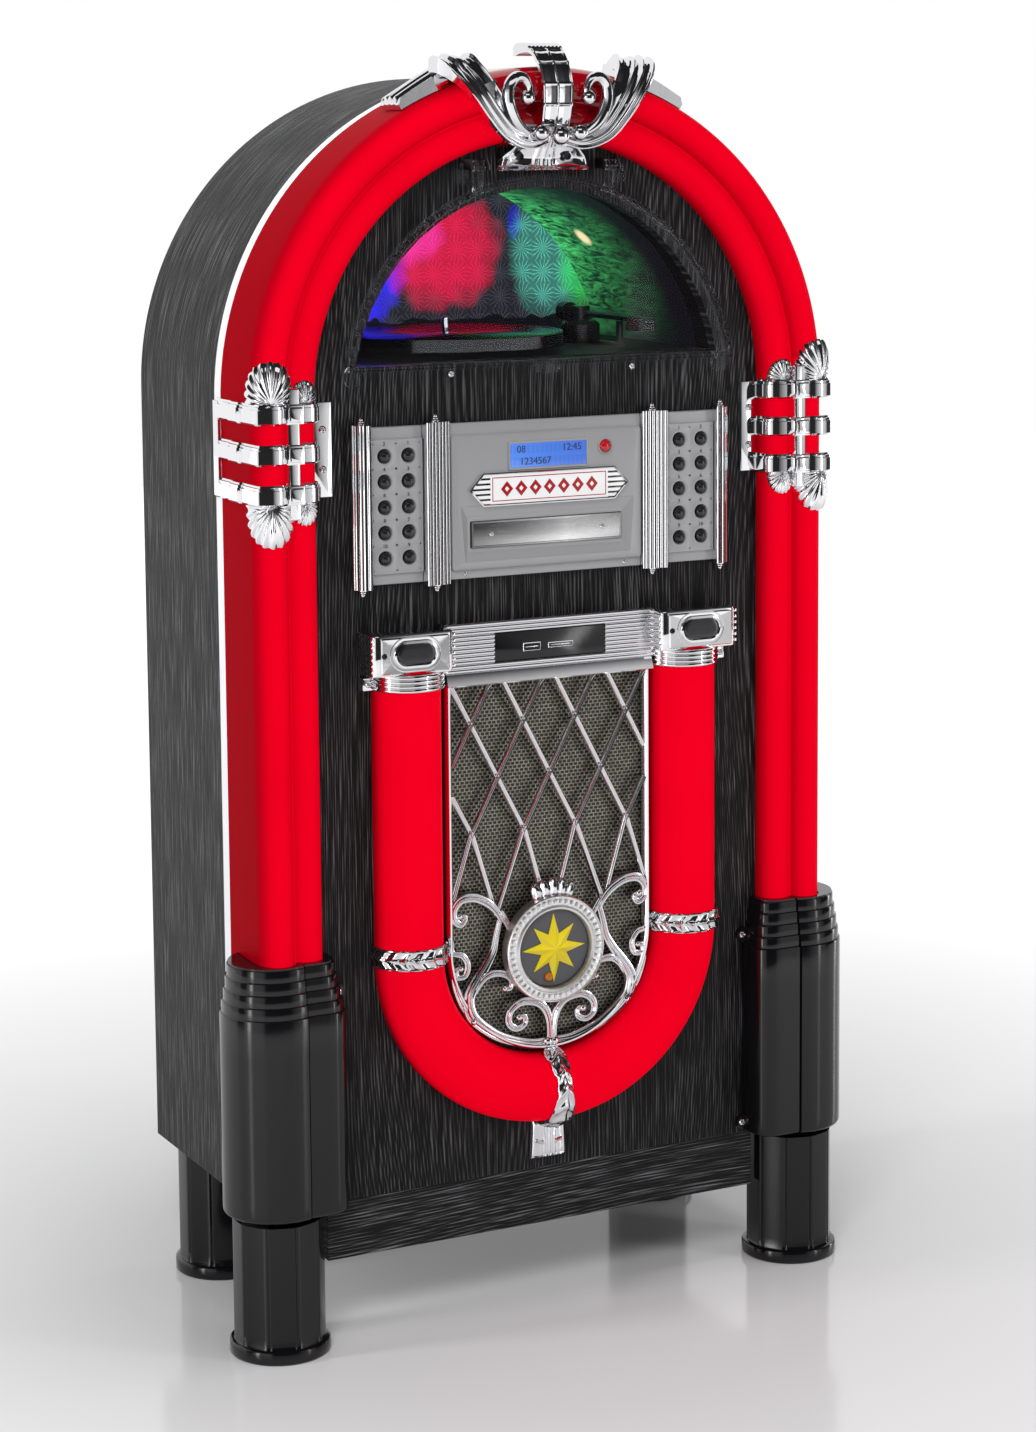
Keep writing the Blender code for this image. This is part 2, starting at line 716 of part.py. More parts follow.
def rear_cover():
    """Back plate inside the shell, with rows of air slots and the socket for a mains lead."""
    inside = HALF_WIDTH - WRAP_THICKNESS - GAP
    low = CABINET_BOTTOM + FLOOR_BOARD_THICKNESS + GAP
    back = CABINET_BACK - REAR_COVER_INSET
    front = back - REAR_COVER_THICKNESS
    cover = make("rear_cover", prism(bmesh.new(), arch_outline(inside, low), (front, back)), PAPER)
    slots = bmesh.new()
    through = (front - OVERRUN, back + OVERRUN)
    for row in range(REAR_SLOTS):
        z = REAR_SLOT_Z + REAR_SLOT_PITCH * row
        outline = rounded(REAR_SLOT_HALF_LENGTH, REAR_SLOT_HEIGHT / 2, REAR_SLOT_HEIGHT / 4, (0, z), 1)
        prism(slots, outline, through)
    wide, high = INLET_HALF_WIDTH, INLET_HALF_HEIGHT
    box(slots, (INLET_X - wide, INLET_X + wide), through, (INLET_Z - high, INLET_Z + high))
    cut(cover, slots)
    socket = make_socket(front, back)
    return join(cover, socket)


def make_socket(front, back):
    """A cup round the inlet hole, with a plain block in it."""
    bm = bmesh.new()
    wide, high = INLET_HALF_WIDTH, INLET_HALF_HEIGHT
    rim = (wide + INLET_RIM, high + INLET_RIM)
    levels = ((*rim, front + SINK), (*rim, front - INLET_DEPTH))
    rings = []
    for half, tall, y in levels:
        rings.append(rectangle_ring(half, tall, y))
    floor = front - INLET_DEPTH + INLET_RIM
    rings.append(rectangle_ring(wide, high, floor))
    rings.append(rectangle_ring(wide, high, front + SINK))
    outer = rings[:2]
    inner = rings[2:]
    skin_cup(bm, outer, inner)
    return bm


def rectangle_ring(half, tall, y):
    corners = ((-half, -tall), (half, -tall), (half, tall), (-half, tall))
    return [(INLET_X + x, y, INLET_Z + z) for x, z in corners]


def skin_cup(bm, outer, inner):
    """Closes a cup from the outer rings, from mouth to base, and the inner rings, from floor to mouth."""
    rings = [outer[0], outer[1], inner[0], inner[1]]
    loops = [[bm.verts.new(point) for point in ring] for ring in rings]
    walls = ((loops[0], loops[1]), (loops[2], loops[3]), (loops[3], loops[0]))
    for first, second in walls:
        for i, corner in enumerate(first):
            j = (i + 1) % len(first)
            bm.faces.new((corner, first[j], second[j], second[i]))
    bm.faces.new(loops[1])
    bm.faces.new(loops[2])


def rim_trim():
    """White strip between the lit tube and the wood."""
    inside = HALF_WIDTH - WRAP_REBATE + GAP
    outside = HALF_WIDTH + RIM_PROUD
    front, back = WRAP_FRONT - RIM_DEPTH, WRAP_FRONT
    profile = [(inside, front), (outside, front), (outside, back), (inside, back)]
    return make("rim_trim", skin(bmesh.new(), arch_rings(profile, TUBE_LEG_BOTTOM)), WHITE)


def arch_tube():
    profile = hug() + hug(-TUBE_WALL)[::-1]
    return make("arch_tube", skin(bmesh.new(), arch_rings(profile, TUBE_LEG_BOTTOM)), RED)


# Feet.


def foot_ring(x, y, radius, z, groove=0.0):
    points = []
    sides = FOOT_GROOVES * 3
    for i in range(sides):
        angle = math.tau * i / sides + math.pi / 2
        size = radius - (groove if i % 3 == 0 else 0)
        points.append((x + size * math.cos(angle), y + size * math.sin(angle), z))
    return points


def foot(name, x, y, top):
    """A fluted column on a plain ring."""
    rings = [
        foot_ring(x, y, FOOT_RING_RADIUS - FOOT_ROUND / 2, 0),
        foot_ring(x, y, FOOT_RING_RADIUS, FOOT_ROUND / 2),
        foot_ring(x, y, FOOT_RING_RADIUS, FOOT_RING_HEIGHT - FOOT_ROUND),
        foot_ring(x, y, FOOT_RADIUS + FOOT_ROUND / 2, FOOT_RING_HEIGHT),
        foot_ring(x, y, FOOT_RADIUS, FOOT_RING_HEIGHT + FOOT_ROUND, FOOT_GROOVE_DEPTH),
        foot_ring(x, y, FOOT_RADIUS, top, FOOT_GROOVE_DEPTH),
    ]
    return make(name, skin(bmesh.new(), rings), BLACK, (x, y, 0))


def corner_cutter(side, low, high):
    """The cabinet's front corner with a little air round it, as a shape to cut away."""
    reach = HALF_WIDTH + TUBE_PROUD + GAP
    return box(bmesh.new(), sorted((0, side * reach)), (-GAP, CABINET_BACK), (low, high))


def front_foot(name, side):
    thing = foot(name, side * FOOT_FRONT_X, FOOT_FRONT_Y, FOOT_FRONT_TOP)
    low = CABINET_BOTTOM - GAP
    return cut(thing, corner_cutter(side, low, FOOT_FRONT_TOP + OVERRUN))


def shroud_outline(inset):
    """The shroud's outside seen from above, in (x, y): a flat inner lobe, a seam and the big outer lobe."""
    radius = SHROUD_LOBE_RADIUS - inset
    edge = SHROUD_INNER_EDGE + inset
    front = SHROUD_INNER_FRONT + inset
    round_in = SHROUD_INNER_ROUND
    points = [(edge, -GAP)]
    points += arc((edge + round_in, front + round_in), (round_in, round_in), 180, 270, 3)
    points.append((SHROUD_SEAM_X - SHROUD_WALL / 2, front))
    seam = math.degrees(math.acos((SHROUD_LOBE_X - SHROUD_SEAM_X) / radius))
    centre = (SHROUD_LOBE_X, SHROUD_LOBE_Y)
    points += arc(centre, (radius, radius), 180 + seam, 360, 6)
    stop = HALF_WIDTH + TUBE_PROUD + GAP
    end = math.degrees(math.acos((stop - SHROUD_LOBE_X) / radius))
    return points + arc(centre, (radius, radius), 0, end, 3)[1:]


def shroud_section(side, inset, wall, z):
    outside = shroud_outline(inset)
    inside = shroud_outline(inset + wall)
    return [(side * x, y, z) for x, y in outside + inside[::-1]]


def shroud_levels():
    """Height, inset and wall of each ring, from the rounded lower edge to the top of the stepped collar."""
    wall = SHROUD_WALL
    levels = [(SHROUD_BOTTOM, wall / 2, wall / 2), (SHROUD_BOTTOM + SHROUD_EDGE_ROUND, 0, wall)]
    levels.append((SHROUD_TOP, 0, wall))
    for step in range(COLLAR_STEPS):
        z = SHROUD_TOP + COLLAR_STEP_HEIGHT * step
        inset = COLLAR_STEP_IN * (step + 1)
        levels += [(z + SINK, inset, wall), (z + COLLAR_STEP_HEIGHT, inset, wall)]
    return levels


def shroud_lid(side, z):
    """Ring that closes the collar's flat top in to the tube."""
    inset = COLLAR_STEP_IN * COLLAR_STEPS
    outside = shroud_outline(inset)
    edge = shroud_outline(inset + SHROUD_WALL)
    run = hug(COLLAR_CLEARANCE, edge[-1][1])
    lengths = run_length(run)
    count = len(edge) - 1
    inside = [place_on(run, lengths, lengths[-1] * i / count, 0) for i in range(count)] + [edge[-1]]
    return [(side * x, y, z) for x, y in outside + inside[::-1]]


def foot_shroud(name, side):
    rings = [shroud_section(side, inset, wall, z) for z, inset, wall in shroud_levels()]
    top = SHROUD_TOP + COLLAR_STEP_HEIGHT * COLLAR_STEPS
    rings += [shroud_lid(side, top + SINK / 4), shroud_lid(side, top + SHROUD_WALL / 2)]
    thing = make(name, skin(bmesh.new(), rings), BLACK)
    lugs = bmesh.new()
    for z in (LUG_UPPER_Z, LUG_LOWER_Z):
        x = side * SHROUD_INNER_EDGE
        outline = arc((x, z), (LUG_RADIUS, LUG_RADIUS), 90, 90 + side * 180, 8)
        inner = x + side * LUG_REACH
        prism(lugs, [*outline, (inner, z - LUG_RADIUS), (inner, z + LUG_RADIUS)], (-GAP - LUG_THICKNESS, -GAP))
    return join(thing, lugs)


# Clamps at the spring line.


def lobe_top(points, lengths, low, high):
    """Length along the outline at which y is least between two radii."""
    best = min((y, s) for (r, y), s in zip(points, lengths) if low <= r <= high)
    return best[1]


def shell(bm, side, z, up, s, wide, high):
    """A fluted half shell that follows the tube: rays of ridges spread from the middle of its straight edge."""
    points = hug(GAP)
    lengths = run_length(points)
    rows, spokes = 2, SHELL_FLUTES * 2
    outer, inner = [], []
    for k in range(spokes + 1):
        turn = math.pi * k / spokes
        flute = SHELL_FLUTE * (1 if k % 2 else -1)
        for store, bottom in ((outer, False), (inner, True)):
            row = []
            for j in range(rows + 1):
                share = j / rows
                lift = SHELL_THICKNESS * (1 - 0.55 * share**2) + flute * share
                distance = -SINK if bottom else lift
                x, y = place_on(points, lengths, s + wide * share * math.cos(turn), distance)
                row.append(up_side(side, x, y, z + up * high * share * math.sin(turn)))
            store.append(row)
    return close_fan(bm, outer, inner)


def close_fan(bm, outer, inner):
    """Closes a fan of spokes, each a row of points from the hub outwards, on its top and its underside."""
    hubs = [bm.verts.new(grid[0][0]) for grid in (outer, inner)]
    grids = []
    for hub, grid in zip(hubs, (outer, inner)):
        grids.append([[hub, *(bm.verts.new(p) for p in row[1:])] for row in grid])
    for grid in grids:
        for first, second in zip(grid, grid[1:]):
            bm.faces.new((first[0], first[1], second[1]))
            for j in range(1, len(first) - 1):
                bm.faces.new((first[j], first[j + 1], second[j + 1], second[j]))
    top, under = grids
    for a, b, c, d in zip(top, top[1:], under, under[1:]):
        bm.faces.new((a[-1], b[-1], d[-1], c[-1]))
    for edge in (0, -1):
        for j in range(len(top[edge]) - 1):
            bm.faces.new((top[edge][j], top[edge][j + 1], under[edge][j + 1], under[edge][j]))
    return bm


def clamp_band(bm, side, z):
    base = hug(GAP + CLAMP_BAND_THICKNESS - CLAMP_RIDGE, CLAMP_SIDE_BACK)
    crest = moved(base, CLAMP_RIDGE)
    inside = hug(-SINK / 2, CLAMP_SIDE_BACK)
    half = CLAMP_BAND_HEIGHT / 2
    rings = []
    for level, outside in ((-half, base), (-half * 2 / 3, crest), (half * 2 / 3, crest), (half, base)):
        rings.append([(side * x, y, z + level) for x, y in outside + inside[::-1]])
    return skin(bm, rings)


def tube_cutter():
    """The tube as a filled body, a hair larger, that shapes the underside of what lies on it."""
    outline = hug(GAP, CLAMP_SIDE_BACK + OVERRUN)
    return skin(bmesh.new(), arch_rings([*outline, (outline[0].x, outline[-1].y)], TUBE_LEG_BOTTOM))


def clamp(name, side):
    """Three bands round the tube, tied by a post in its groove and plates at both edges, with four shells."""
    thing = make(name, clamp_band(bmesh.new(), side, CLAMP_Z), CHROME)
    extra = bmesh.new()
    for step in (-1, 1):
        clamp_band(extra, side, CLAMP_Z + step * CLAMP_BAND_PITCH)
    post = (side * LOBE_GROOVE - CLAMP_POST_HALF_WIDTH, side * LOBE_GROOVE + CLAMP_POST_HALF_WIDTH)
    groove = LOBE_OUTER_Y - LOBE_OUTER_HEIGHT - CLAMP_BAND_THICKNESS / 2
    rise = (CLAMP_Z - CLAMP_POST_RISE, CLAMP_Z + CLAMP_POST_RISE)
    box(extra, post, (groove - CLAMP_BAND_THICKNESS, groove), rise)
    for step in (-1, 0, 1):
        z = CLAMP_Z + step * CLAMP_BAND_PITCH
        boss = (side * LOBE_GROOVE - CLAMP_BOSS_HALF, side * LOBE_GROOVE + CLAMP_BOSS_HALF)
        box(extra, boss, (groove - CLAMP_BOSS_PROUD, groove), (z - CLAMP_BOSS_HALF, z + CLAMP_BOSS_HALF))
    clamp_plates(extra, side)
    clamp_shells(extra, side)
    return cut(join(thing, extra), tube_cutter())


def clamp_plates(bm, side):
    reach = CLAMP_BAND_PITCH + CLAMP_BAND_HEIGHT / 2 - SINK
    inner = LOBE_INNER_EDGE - GAP
    flange = sorted((side * (inner - CLAMP_FLANGE_REACH), side * inner))
    box(bm, flange, (-2 * GAP - CLAMP_FLANGE_THICKNESS, -2 * GAP), (CLAMP_Z - reach, CLAMP_Z + reach))
    outer = HALF_WIDTH + TUBE_PROUD + GAP
    leg = sorted((side * outer, side * (outer + CLAMP_FLANGE_THICKNESS)))
    box(bm, leg, (CLAMP_SIDE_BACK - CLAMP_SIDE_LEG, CLAMP_SIDE_BACK), (CLAMP_Z - reach, CLAMP_Z + reach))


def clamp_shells(bm, side):
    points = hug(GAP)
    lengths = run_length(points)
    inner = lobe_top(points, lengths, LOBE_INNER_EDGE, LOBE_GROOVE)
    outer = lobe_top(points, lengths, LOBE_GROOVE, HALF_WIDTH + TUBE_PROUD)
    start = CLAMP_BAND_PITCH + CLAMP_BAND_HEIGHT / 2 - SINK
    for up in (-1, 1):
        shell(bm, side, CLAMP_Z + up * start, up, inner, SHELL_INNER_WIDE, SHELL_INNER_HIGH)
        middle = outer + SHELL_OUTER_WIDE / 4
        shell(bm, side, CLAMP_Z + up * start, up, middle, SHELL_OUTER_WIDE, SHELL_OUTER_HIGH)


# Window door and the compartment behind it.


def window_frame():
    """The door's rim, with a knuckle at each hinge and a finger tab below. It turns about the hinge axis."""
    hinge = (0, HINGE_Y, HINGE_Z)
    front = -GAP - WINDOW_FRAME_DEPTH
    outside = window_outline(WINDOW_RADIUS, WINDOW_BOTTOM)
    frame = make("window_frame", prism(bmesh.new(), outside, (front, -GAP)), CHROME, hinge)
    inner = window_outline(WINDOW_RADIUS - WINDOW_FRAME_WIDTH, WINDOW_BOTTOM + WINDOW_FRAME_WIDTH)
    cut(frame, prism(bmesh.new(), inner, (front - OVERRUN, OVERRUN)), hinge)
    extra = bmesh.new()
    for side in (-1, 1):
        x = side * HINGE_X
        span = [(HINGE_RADIUS, x - HINGE_HALF_WIDTH), (HINGE_RADIUS, x + HINGE_HALF_WIDTH)]
        turned(extra, (0, HINGE_Y, HINGE_Z), span, 12, "X")
        rise = math.sqrt((WINDOW_RADIUS - WINDOW_FRAME_WIDTH) ** 2 - (HINGE_X - HINGE_HALF_WIDTH) ** 2)
        low = WINDOW_Z + rise + GAP
        arm = (HINGE_Y - HINGE_RADIUS / 2, HINGE_Y + HINGE_RADIUS / 2)
        box(extra, (x - HINGE_HALF_WIDTH, x + HINGE_HALF_WIDTH), arm, (low, HINGE_Z))
    tab_top = WINDOW_BOTTOM + WINDOW_FRAME_WIDTH / 2
    tab = (front - LATCH_THICKNESS, front + LATCH_THICKNESS)
    box(extra, (-LATCH_HALF_WIDTH, LATCH_HALF_WIDTH), tab, (WINDOW_BOTTOM - LATCH_DROP, tab_top))
    return join(frame, extra, hinge)


def window_pane():
    hinge = (0, HINGE_Y, HINGE_Z)
    radius = WINDOW_RADIUS - WINDOW_FRAME_WIDTH - GAP
    outline = window_outline(radius, WINDOW_BOTTOM + WINDOW_FRAME_WIDTH + GAP)
    span = (WINDOW_PANE_Y, WINDOW_PANE_Y + WINDOW_PANE_THICKNESS)
    return make("window_pane", prism(bmesh.new(), outline, span), CLEAR, hinge)


def turntable_well():
    """Arched tunnel behind the window, closed at the back."""
    base = DECK_TOP - DECK_THICKNESS
    front = PANEL_THICKNESS + GAP
    outside = window_outline(WELL_RADIUS + WELL_WALL, base)
    well = make("turntable_well", prism(bmesh.new(), outside, (front, WELL_BACK)), PAPER)
    inside = window_outline(WELL_RADIUS, base - OVERRUN)
    return cut(well, prism(bmesh.new(), inside, (front - OVERRUN, WELL_BACK - WELL_WALL)))


def turntable_deck():
    """Floor of the compartment, with the hole for the platter's shaft."""
    base = DECK_TOP - DECK_THICKNESS
    span_y = (PANEL_THICKNESS + GAP, WELL_BACK - WELL_WALL - GAP)
    bm = box(bmesh.new(), (-DECK_HALF_WIDTH, DECK_HALF_WIDTH), span_y, (base, DECK_TOP))
    deck = make("turntable_deck", bm, BLACK)
    hole = [(PLATTER_HUB_RADIUS + RUN, base - OVERRUN), (PLATTER_HUB_RADIUS + RUN, DECK_TOP + OVERRUN)]
    return cut(deck, turned(bmesh.new(), (PLATTER_X, PLATTER_Y, 0), hole, 20))


def platter():
    """Dish with a raised lip, a mat recess, a spindle above and a shaft below."""
    shaft_end = DECK_TOP - DECK_THICKNESS + GAP
    profile = [
        (PLATTER_HUB_RADIUS, shaft_end),
        (PLATTER_HUB_RADIUS, PLATTER_BOTTOM),
        (PLATTER_RADIUS, PLATTER_BOTTOM),
        (PLATTER_RADIUS, PLATTER_TOP - PLATTER_LIP / 2),
        (PLATTER_RADIUS - PLATTER_LIP, PLATTER_TOP),
        (PLATTER_RADIUS - 3 * PLATTER_LIP, PLATTER_TOP - PLATTER_LIP),
        (SPINDLE_RADIUS, PLATTER_TOP - PLATTER_LIP),
        (SPINDLE_RADIUS, SPINDLE_TOP - SPINDLE_RADIUS),
        (SPINDLE_RADIUS / 2, SPINDLE_TOP),
    ]
    centre = (PLATTER_X, PLATTER_Y, 0)
    return make("platter", turned(bmesh.new(), centre, profile, 28), BLACK, centre)


def platter_motor():
    top = DECK_TOP - DECK_THICKNESS - GAP
    profile = [(MOTOR_RADIUS, top - MOTOR_HEIGHT), (MOTOR_RADIUS, top)]
    return make("platter_motor", turned(bmesh.new(), (PLATTER_X, PLATTER_Y, 0), profile, 24), STEEL)


def tonearm():
    """Counterweight, tube and headshell, bent inwards, on a turning pillar."""
    pivot = (ARM_X, ARM_Y, 0)
    base = DECK_TOP + ARM_BASE_HEIGHT + GAP
    pillar = [(ARM_PIVOT_RADIUS, base), (ARM_PIVOT_RADIUS, base + ARM_PIVOT_HEIGHT)]
    arm = make("tonearm", turned(bmesh.new(), (ARM_X, ARM_Y, 0), pillar, 16), STEEL, pivot)
    extra = bmesh.new()
    axis = base + ARM_PIVOT_HEIGHT / 2
    tip = (ARM_X, ARM_Y - ARM_LENGTH, axis)
    rod(extra, [(ARM_X, ARM_Y + ARM_TAIL, axis), (ARM_X, ARM_Y, axis), tip], ARM_TUBE_RADIUS, 8)
    half = ARM_WEIGHT_LENGTH / 2
    weight = [(ARM_WEIGHT_RADIUS, ARM_TAIL - half), (ARM_WEIGHT_RADIUS, ARM_TAIL + half)]
    turned(extra, (ARM_X, ARM_Y, axis), weight, 16, "Y")
    head_y = (ARM_Y - ARM_LENGTH - ARM_HEAD_LENGTH / 2, ARM_Y - ARM_LENGTH + ARM_HEAD_LENGTH / 2)
    low = axis - ARM_TUBE_RADIUS - ARM_HEAD_HEIGHT
    box(extra, (ARM_X - ARM_HEAD_HALF_WIDTH, ARM_X + ARM_HEAD_HALF_WIDTH), head_y, (low, axis))
    return join(arm, extra, pivot)


def tonearm_base():
    """Round foot of the arm and the post that the arm lies over when it rests."""
    top = DECK_TOP + ARM_BASE_HEIGHT
    foot_z = DECK_TOP + GAP
    profile = [(ARM_BASE_RADIUS, foot_z), (ARM_BASE_RADIUS, top - ARM_REST_RADIUS)]
    profile.append((ARM_BASE_RADIUS - ARM_REST_RADIUS, top))
    base = make("tonearm_base", turned(bmesh.new(), (ARM_X, ARM_Y, 0), profile, 24), BLACK)
    extra = bmesh.new()
    strap = (ARM_Y - ARM_REST_REACH - ARM_REST_RADIUS, ARM_Y)
    box(extra, (ARM_X - ARM_REST_RADIUS, ARM_X + ARM_REST_RADIUS), strap, (foot_z, foot_z + ARM_REST_RADIUS))
    axis = top + GAP + ARM_PIVOT_HEIGHT / 2
    post_top = axis - ARM_TUBE_RADIUS - GAP
    post = [(ARM_REST_RADIUS, foot_z + SINK), (ARM_REST_RADIUS, post_top)]
    turned(extra, (ARM_X, ARM_Y - ARM_REST_REACH, 0), post, 10)
    return join(base, extra)


# Key console.


def key_places(side):
    places = []
    for row in range(KEY_ROWS):
        for col in range(KEY_COLUMNS):
            x = side * (KEY_X + KEY_PITCH_X * (col - (KEY_COLUMNS - 1) / 2))
            places.append((x, KEY_ROW_Z + KEY_PITCH_Z * ((KEY_ROWS - 1) / 2 - row)))
    return places


def panel_prism(bm, x, z, thickness):
    """A plate on the front panel with its front edges bevelled."""
    edge = CONSOLE_CHAMFER
    rings = []
    for y, inset in ((-GAP, 0), (-thickness + edge, 0), (-thickness, edge)):
        corners = ((x[0] + inset, z[0] + inset), (x[1] - inset, z[0] + inset),
                   (x[1] - inset, z[1] - inset), (x[0] + inset, z[1] - inset))
        rings.append([(a, y, b) for a, b in corners])
    return skin(bm, rings)


def trim(bm, x, half_width, thickness):
    """Upright strip of three half-round ribs, with a bead and a lug at each end."""
    rib = half_width / TRIM_RIBS
    profile = [(x - half_width, -SINK - GAP)]
    for k in range(TRIM_RIBS):
        centre = x - half_width + rib * (2 * k + 1)
        profile += arc((centre, -thickness), (rib, -TRIM_PROUD), 180, 0, 4)[(1 if k else 0):]
    profile.append((x + half_width, -SINK - GAP))
    column(bm, profile, (TRIM_BOTTOM, TRIM_TOP))
    for z, way in ((TRIM_TOP, 1), (TRIM_BOTTOM, -1)):
        low = (z - way * SINK, z + way * TRIM_TIP_REACH)
        wide = half_width / 2
        box(bm, (x - wide, x + wide), (-thickness - TRIM_PROUD / 2, -SINK - GAP), sorted(low))
        ball(bm, (x, -thickness - TRIM_PROUD / 2, z + way * TRIM_TIP_REACH), TRIM_TIP_RADIUS, 8)


def key_console(name, side):
    """Key panel with its ten bores and the outer trim strip."""
    span_x = sorted((side * KEY_PANEL_INNER, side * KEY_PANEL_OUTER))
    span_z = (CONSOLE_BOTTOM, CONSOLE_TOP)
    plate = make(name, panel_prism(bmesh.new(), span_x, span_z, KEY_PANEL_THICKNESS), SILVER)
    strip = bmesh.new()
    trim(strip, side * TRIM_OUTER_X, TRIM_HALF_WIDTH, KEY_PANEL_THICKNESS - SINK)
    join(plate, strip)
    bores = bmesh.new()
    span = [(KEY_RADIUS + GAP, -KEY_PANEL_THICKNESS - OVERRUN), (KEY_RADIUS + GAP, OVERRUN)]
    for x, z in key_places(side):
        turned(bores, (x, 0, z), span, KEY_SIDES, "Y")
    return cut(plate, bores)


def key(name, x, z):
    """Round key with a dished face. Its origin lies on its own axis."""
    front = -KEY_PANEL_THICKNESS - KEY_PROUD
    back = front + KEY_LENGTH
    rim = KEY_RADIUS - KEY_DISH
    profile = [(KEY_RADIUS, back), (KEY_RADIUS, front), (rim / 2, front + KEY_DISH)]
    origin = (x, front, z)
    return make(name, turned(bmesh.new(), (x, 0, z), profile, KEY_SIDES, "Y"), BLACK, origin)


def console_center():
    """Middle panel: bevelled plate, two inner trims, the drawer's opening, the display pocket and the badge."""
    join_half = CONSOLE_JOIN
    plate = make(
        "console_center",
        panel_prism(bmesh.new(), (-join_half, join_half), (CONSOLE_BOTTOM, CONSOLE_TOP), CONSOLE_THICKNESS),
        SILVER,
    )
    strips = bmesh.new()
    for side in (-1, 1):
        trim(strips, side * TRIM_INNER_X, TRIM_INNER_HALF_WIDTH, CONSOLE_THICKNESS - SINK)
    badge(strips)
    join(plate, strips)
    cutters = bmesh.new()
    front = -CONSOLE_THICKNESS
    top, low = TRAY_RECESS_TOP_HALF, TRAY_RECESS_BOTTOM_HALF
    high = TRAY_RECESS_HALF_HEIGHT
    outline = [(-low, TRAY_Z - high), (low, TRAY_Z - high), (top, TRAY_Z + high), (-top, TRAY_Z + high)]
    prism(cutters, outline, (front - OVERRUN, front + TRAY_RECESS_DEPTH))
    opening = (TRAY_FRONT_HALF_WIDTH + RUN, TRAY_FRONT_HALF_HEIGHT + RUN)
    span_z = (TRAY_Z - opening[1], TRAY_Z + opening[1])
    box(cutters, (-opening[0], opening[0]), (front - OVERRUN, OVERRUN), span_z)
    cut(plate, cutters)
    pockets = bmesh.new()
    glass = (LCD_HALF_WIDTH + GAP, LCD_HALF_HEIGHT + GAP)
    span_z = (LCD_Z - glass[1], LCD_Z + glass[1])
    box(pockets, (-glass[0], glass[0]), (front - OVERRUN, front + LCD_POCKET), span_z)
    cut(plate, pockets)
    lens = bmesh.new()
    dome = [(SENSOR_RADIUS, front + SINK), (SENSOR_RADIUS, front - SENSOR_DOME / 2)]
    dome.append((SENSOR_RADIUS / 2, front - SENSOR_DOME))
    turned(lens, (SENSOR_X, 0, SENSOR_Z), dome, 16, "Y")
    return join(plate, lens)


def badge(bm):
    """Flat shield with pointed ends between the display and the drawer."""
    wide, high = BADGE_HALF_WIDTH, BADGE_HALF_HEIGHT
    inner = wide - BADGE_POINT
    outline = [(-wide, BADGE_Z), (-inner, BADGE_Z - high), (inner, BADGE_Z - high), (wide, BADGE_Z),
               (inner, BADGE_Z + high), (-inner, BADGE_Z + high)]
    front = -CONSOLE_THICKNESS
    prism(bm, outline, (front - BADGE_THICKNESS, front + SINK))


def lcd_window():
    front = -CONSOLE_THICKNESS + LCD_POCKET - GAP
    half, tall = LCD_HALF_WIDTH, LCD_HALF_HEIGHT
    bm = box(bmesh.new(), (-half, half), (front - LCD_THICKNESS, front), (LCD_Z - tall, LCD_Z + tall))
    return make("lcd_window", bm, BLUE)


# Disc drawer.


def cd_tray():
    """Drawer: a front plate, a flat tray and a round recess with a slot for the disc. It slides out along -Y."""
    origin = (0, TRAY_FRONT_Y, TRAY_Z)
    back = TRAY_FRONT_Y + TRAY_FRONT_THICKNESS
    plate = rounded(TRAY_FRONT_HALF_WIDTH, TRAY_FRONT_HALF_HEIGHT, RUN, (0, TRAY_Z), 1)
    tray = make("cd_tray", prism(bmesh.new(), plate, (TRAY_FRONT_Y, back)), STEEL, origin)
    sheet = bmesh.new()
    span_z = (TRAY_Z - TRAY_HALF_HEIGHT, TRAY_Z + TRAY_HALF_HEIGHT)
    box(sheet, (-TRAY_HALF_WIDTH, TRAY_HALF_WIDTH), (back - SINK, back + TRAY_LENGTH), span_z)
    join(tray, sheet, origin)
    middle = back + TRAY_HALF_WIDTH + SINK
    recess = bmesh.new()
    top = TRAY_Z + TRAY_HALF_HEIGHT
    dish = [(TRAY_DISC_RADIUS, top - TRAY_DISC_DEPTH), (TRAY_DISC_RADIUS, top + OVERRUN)]
    turned(recess, (0, middle, 0), dish, 40)
    cut(tray, recess, origin)
    slot = (middle, back + TRAY_LENGTH - TRAY_SLOT_HALF_WIDTH)
    wide = TRAY_SLOT_HALF_WIDTH
    span = (span_z[0] - OVERRUN, span_z[1] + OVERRUN)
    return cut(tray, box(bmesh.new(), (-wide, wide), slot, span), origin)


def cd_drive():
    """Sheet-metal case behind the panel, open in front for the drawer."""
    front = PANEL_THICKNESS + GAP
    half, tall = DRIVE_HALF_WIDTH, DRIVE_HALF_HEIGHT
    bm = box(bmesh.new(), (-half, half), (front, front + DRIVE_LENGTH), (TRAY_Z - tall, TRAY_Z + tall))
    drive = make("cd_drive", bm, STEEL)
    half, tall = TRAY_HALF_WIDTH + RUN, TRAY_HALF_HEIGHT + RUN
    inside = (front - OVERRUN, front + DRIVE_LENGTH - DRIVE_WALL)
    return cut(drive, box(bmesh.new(), (-half, half), inside, (TRAY_Z - tall, TRAY_Z + tall)))


# Head bar and switches.


def box_outline(front):
    """A switch box seen from above, in (x, y) about its middle: flat face, curved cheeks."""
    half, face = BOX_HALF_WIDTH, BOX_FACE_HALF_WIDTH
    cheek = half - face
    right = arc((face, front + cheek), (cheek, -cheek), 90, 0, 4)
    left = [(-x, y) for x, y in right[::-1]]
    return [(-half, -GAP), *left, *right, (half, -GAP)]


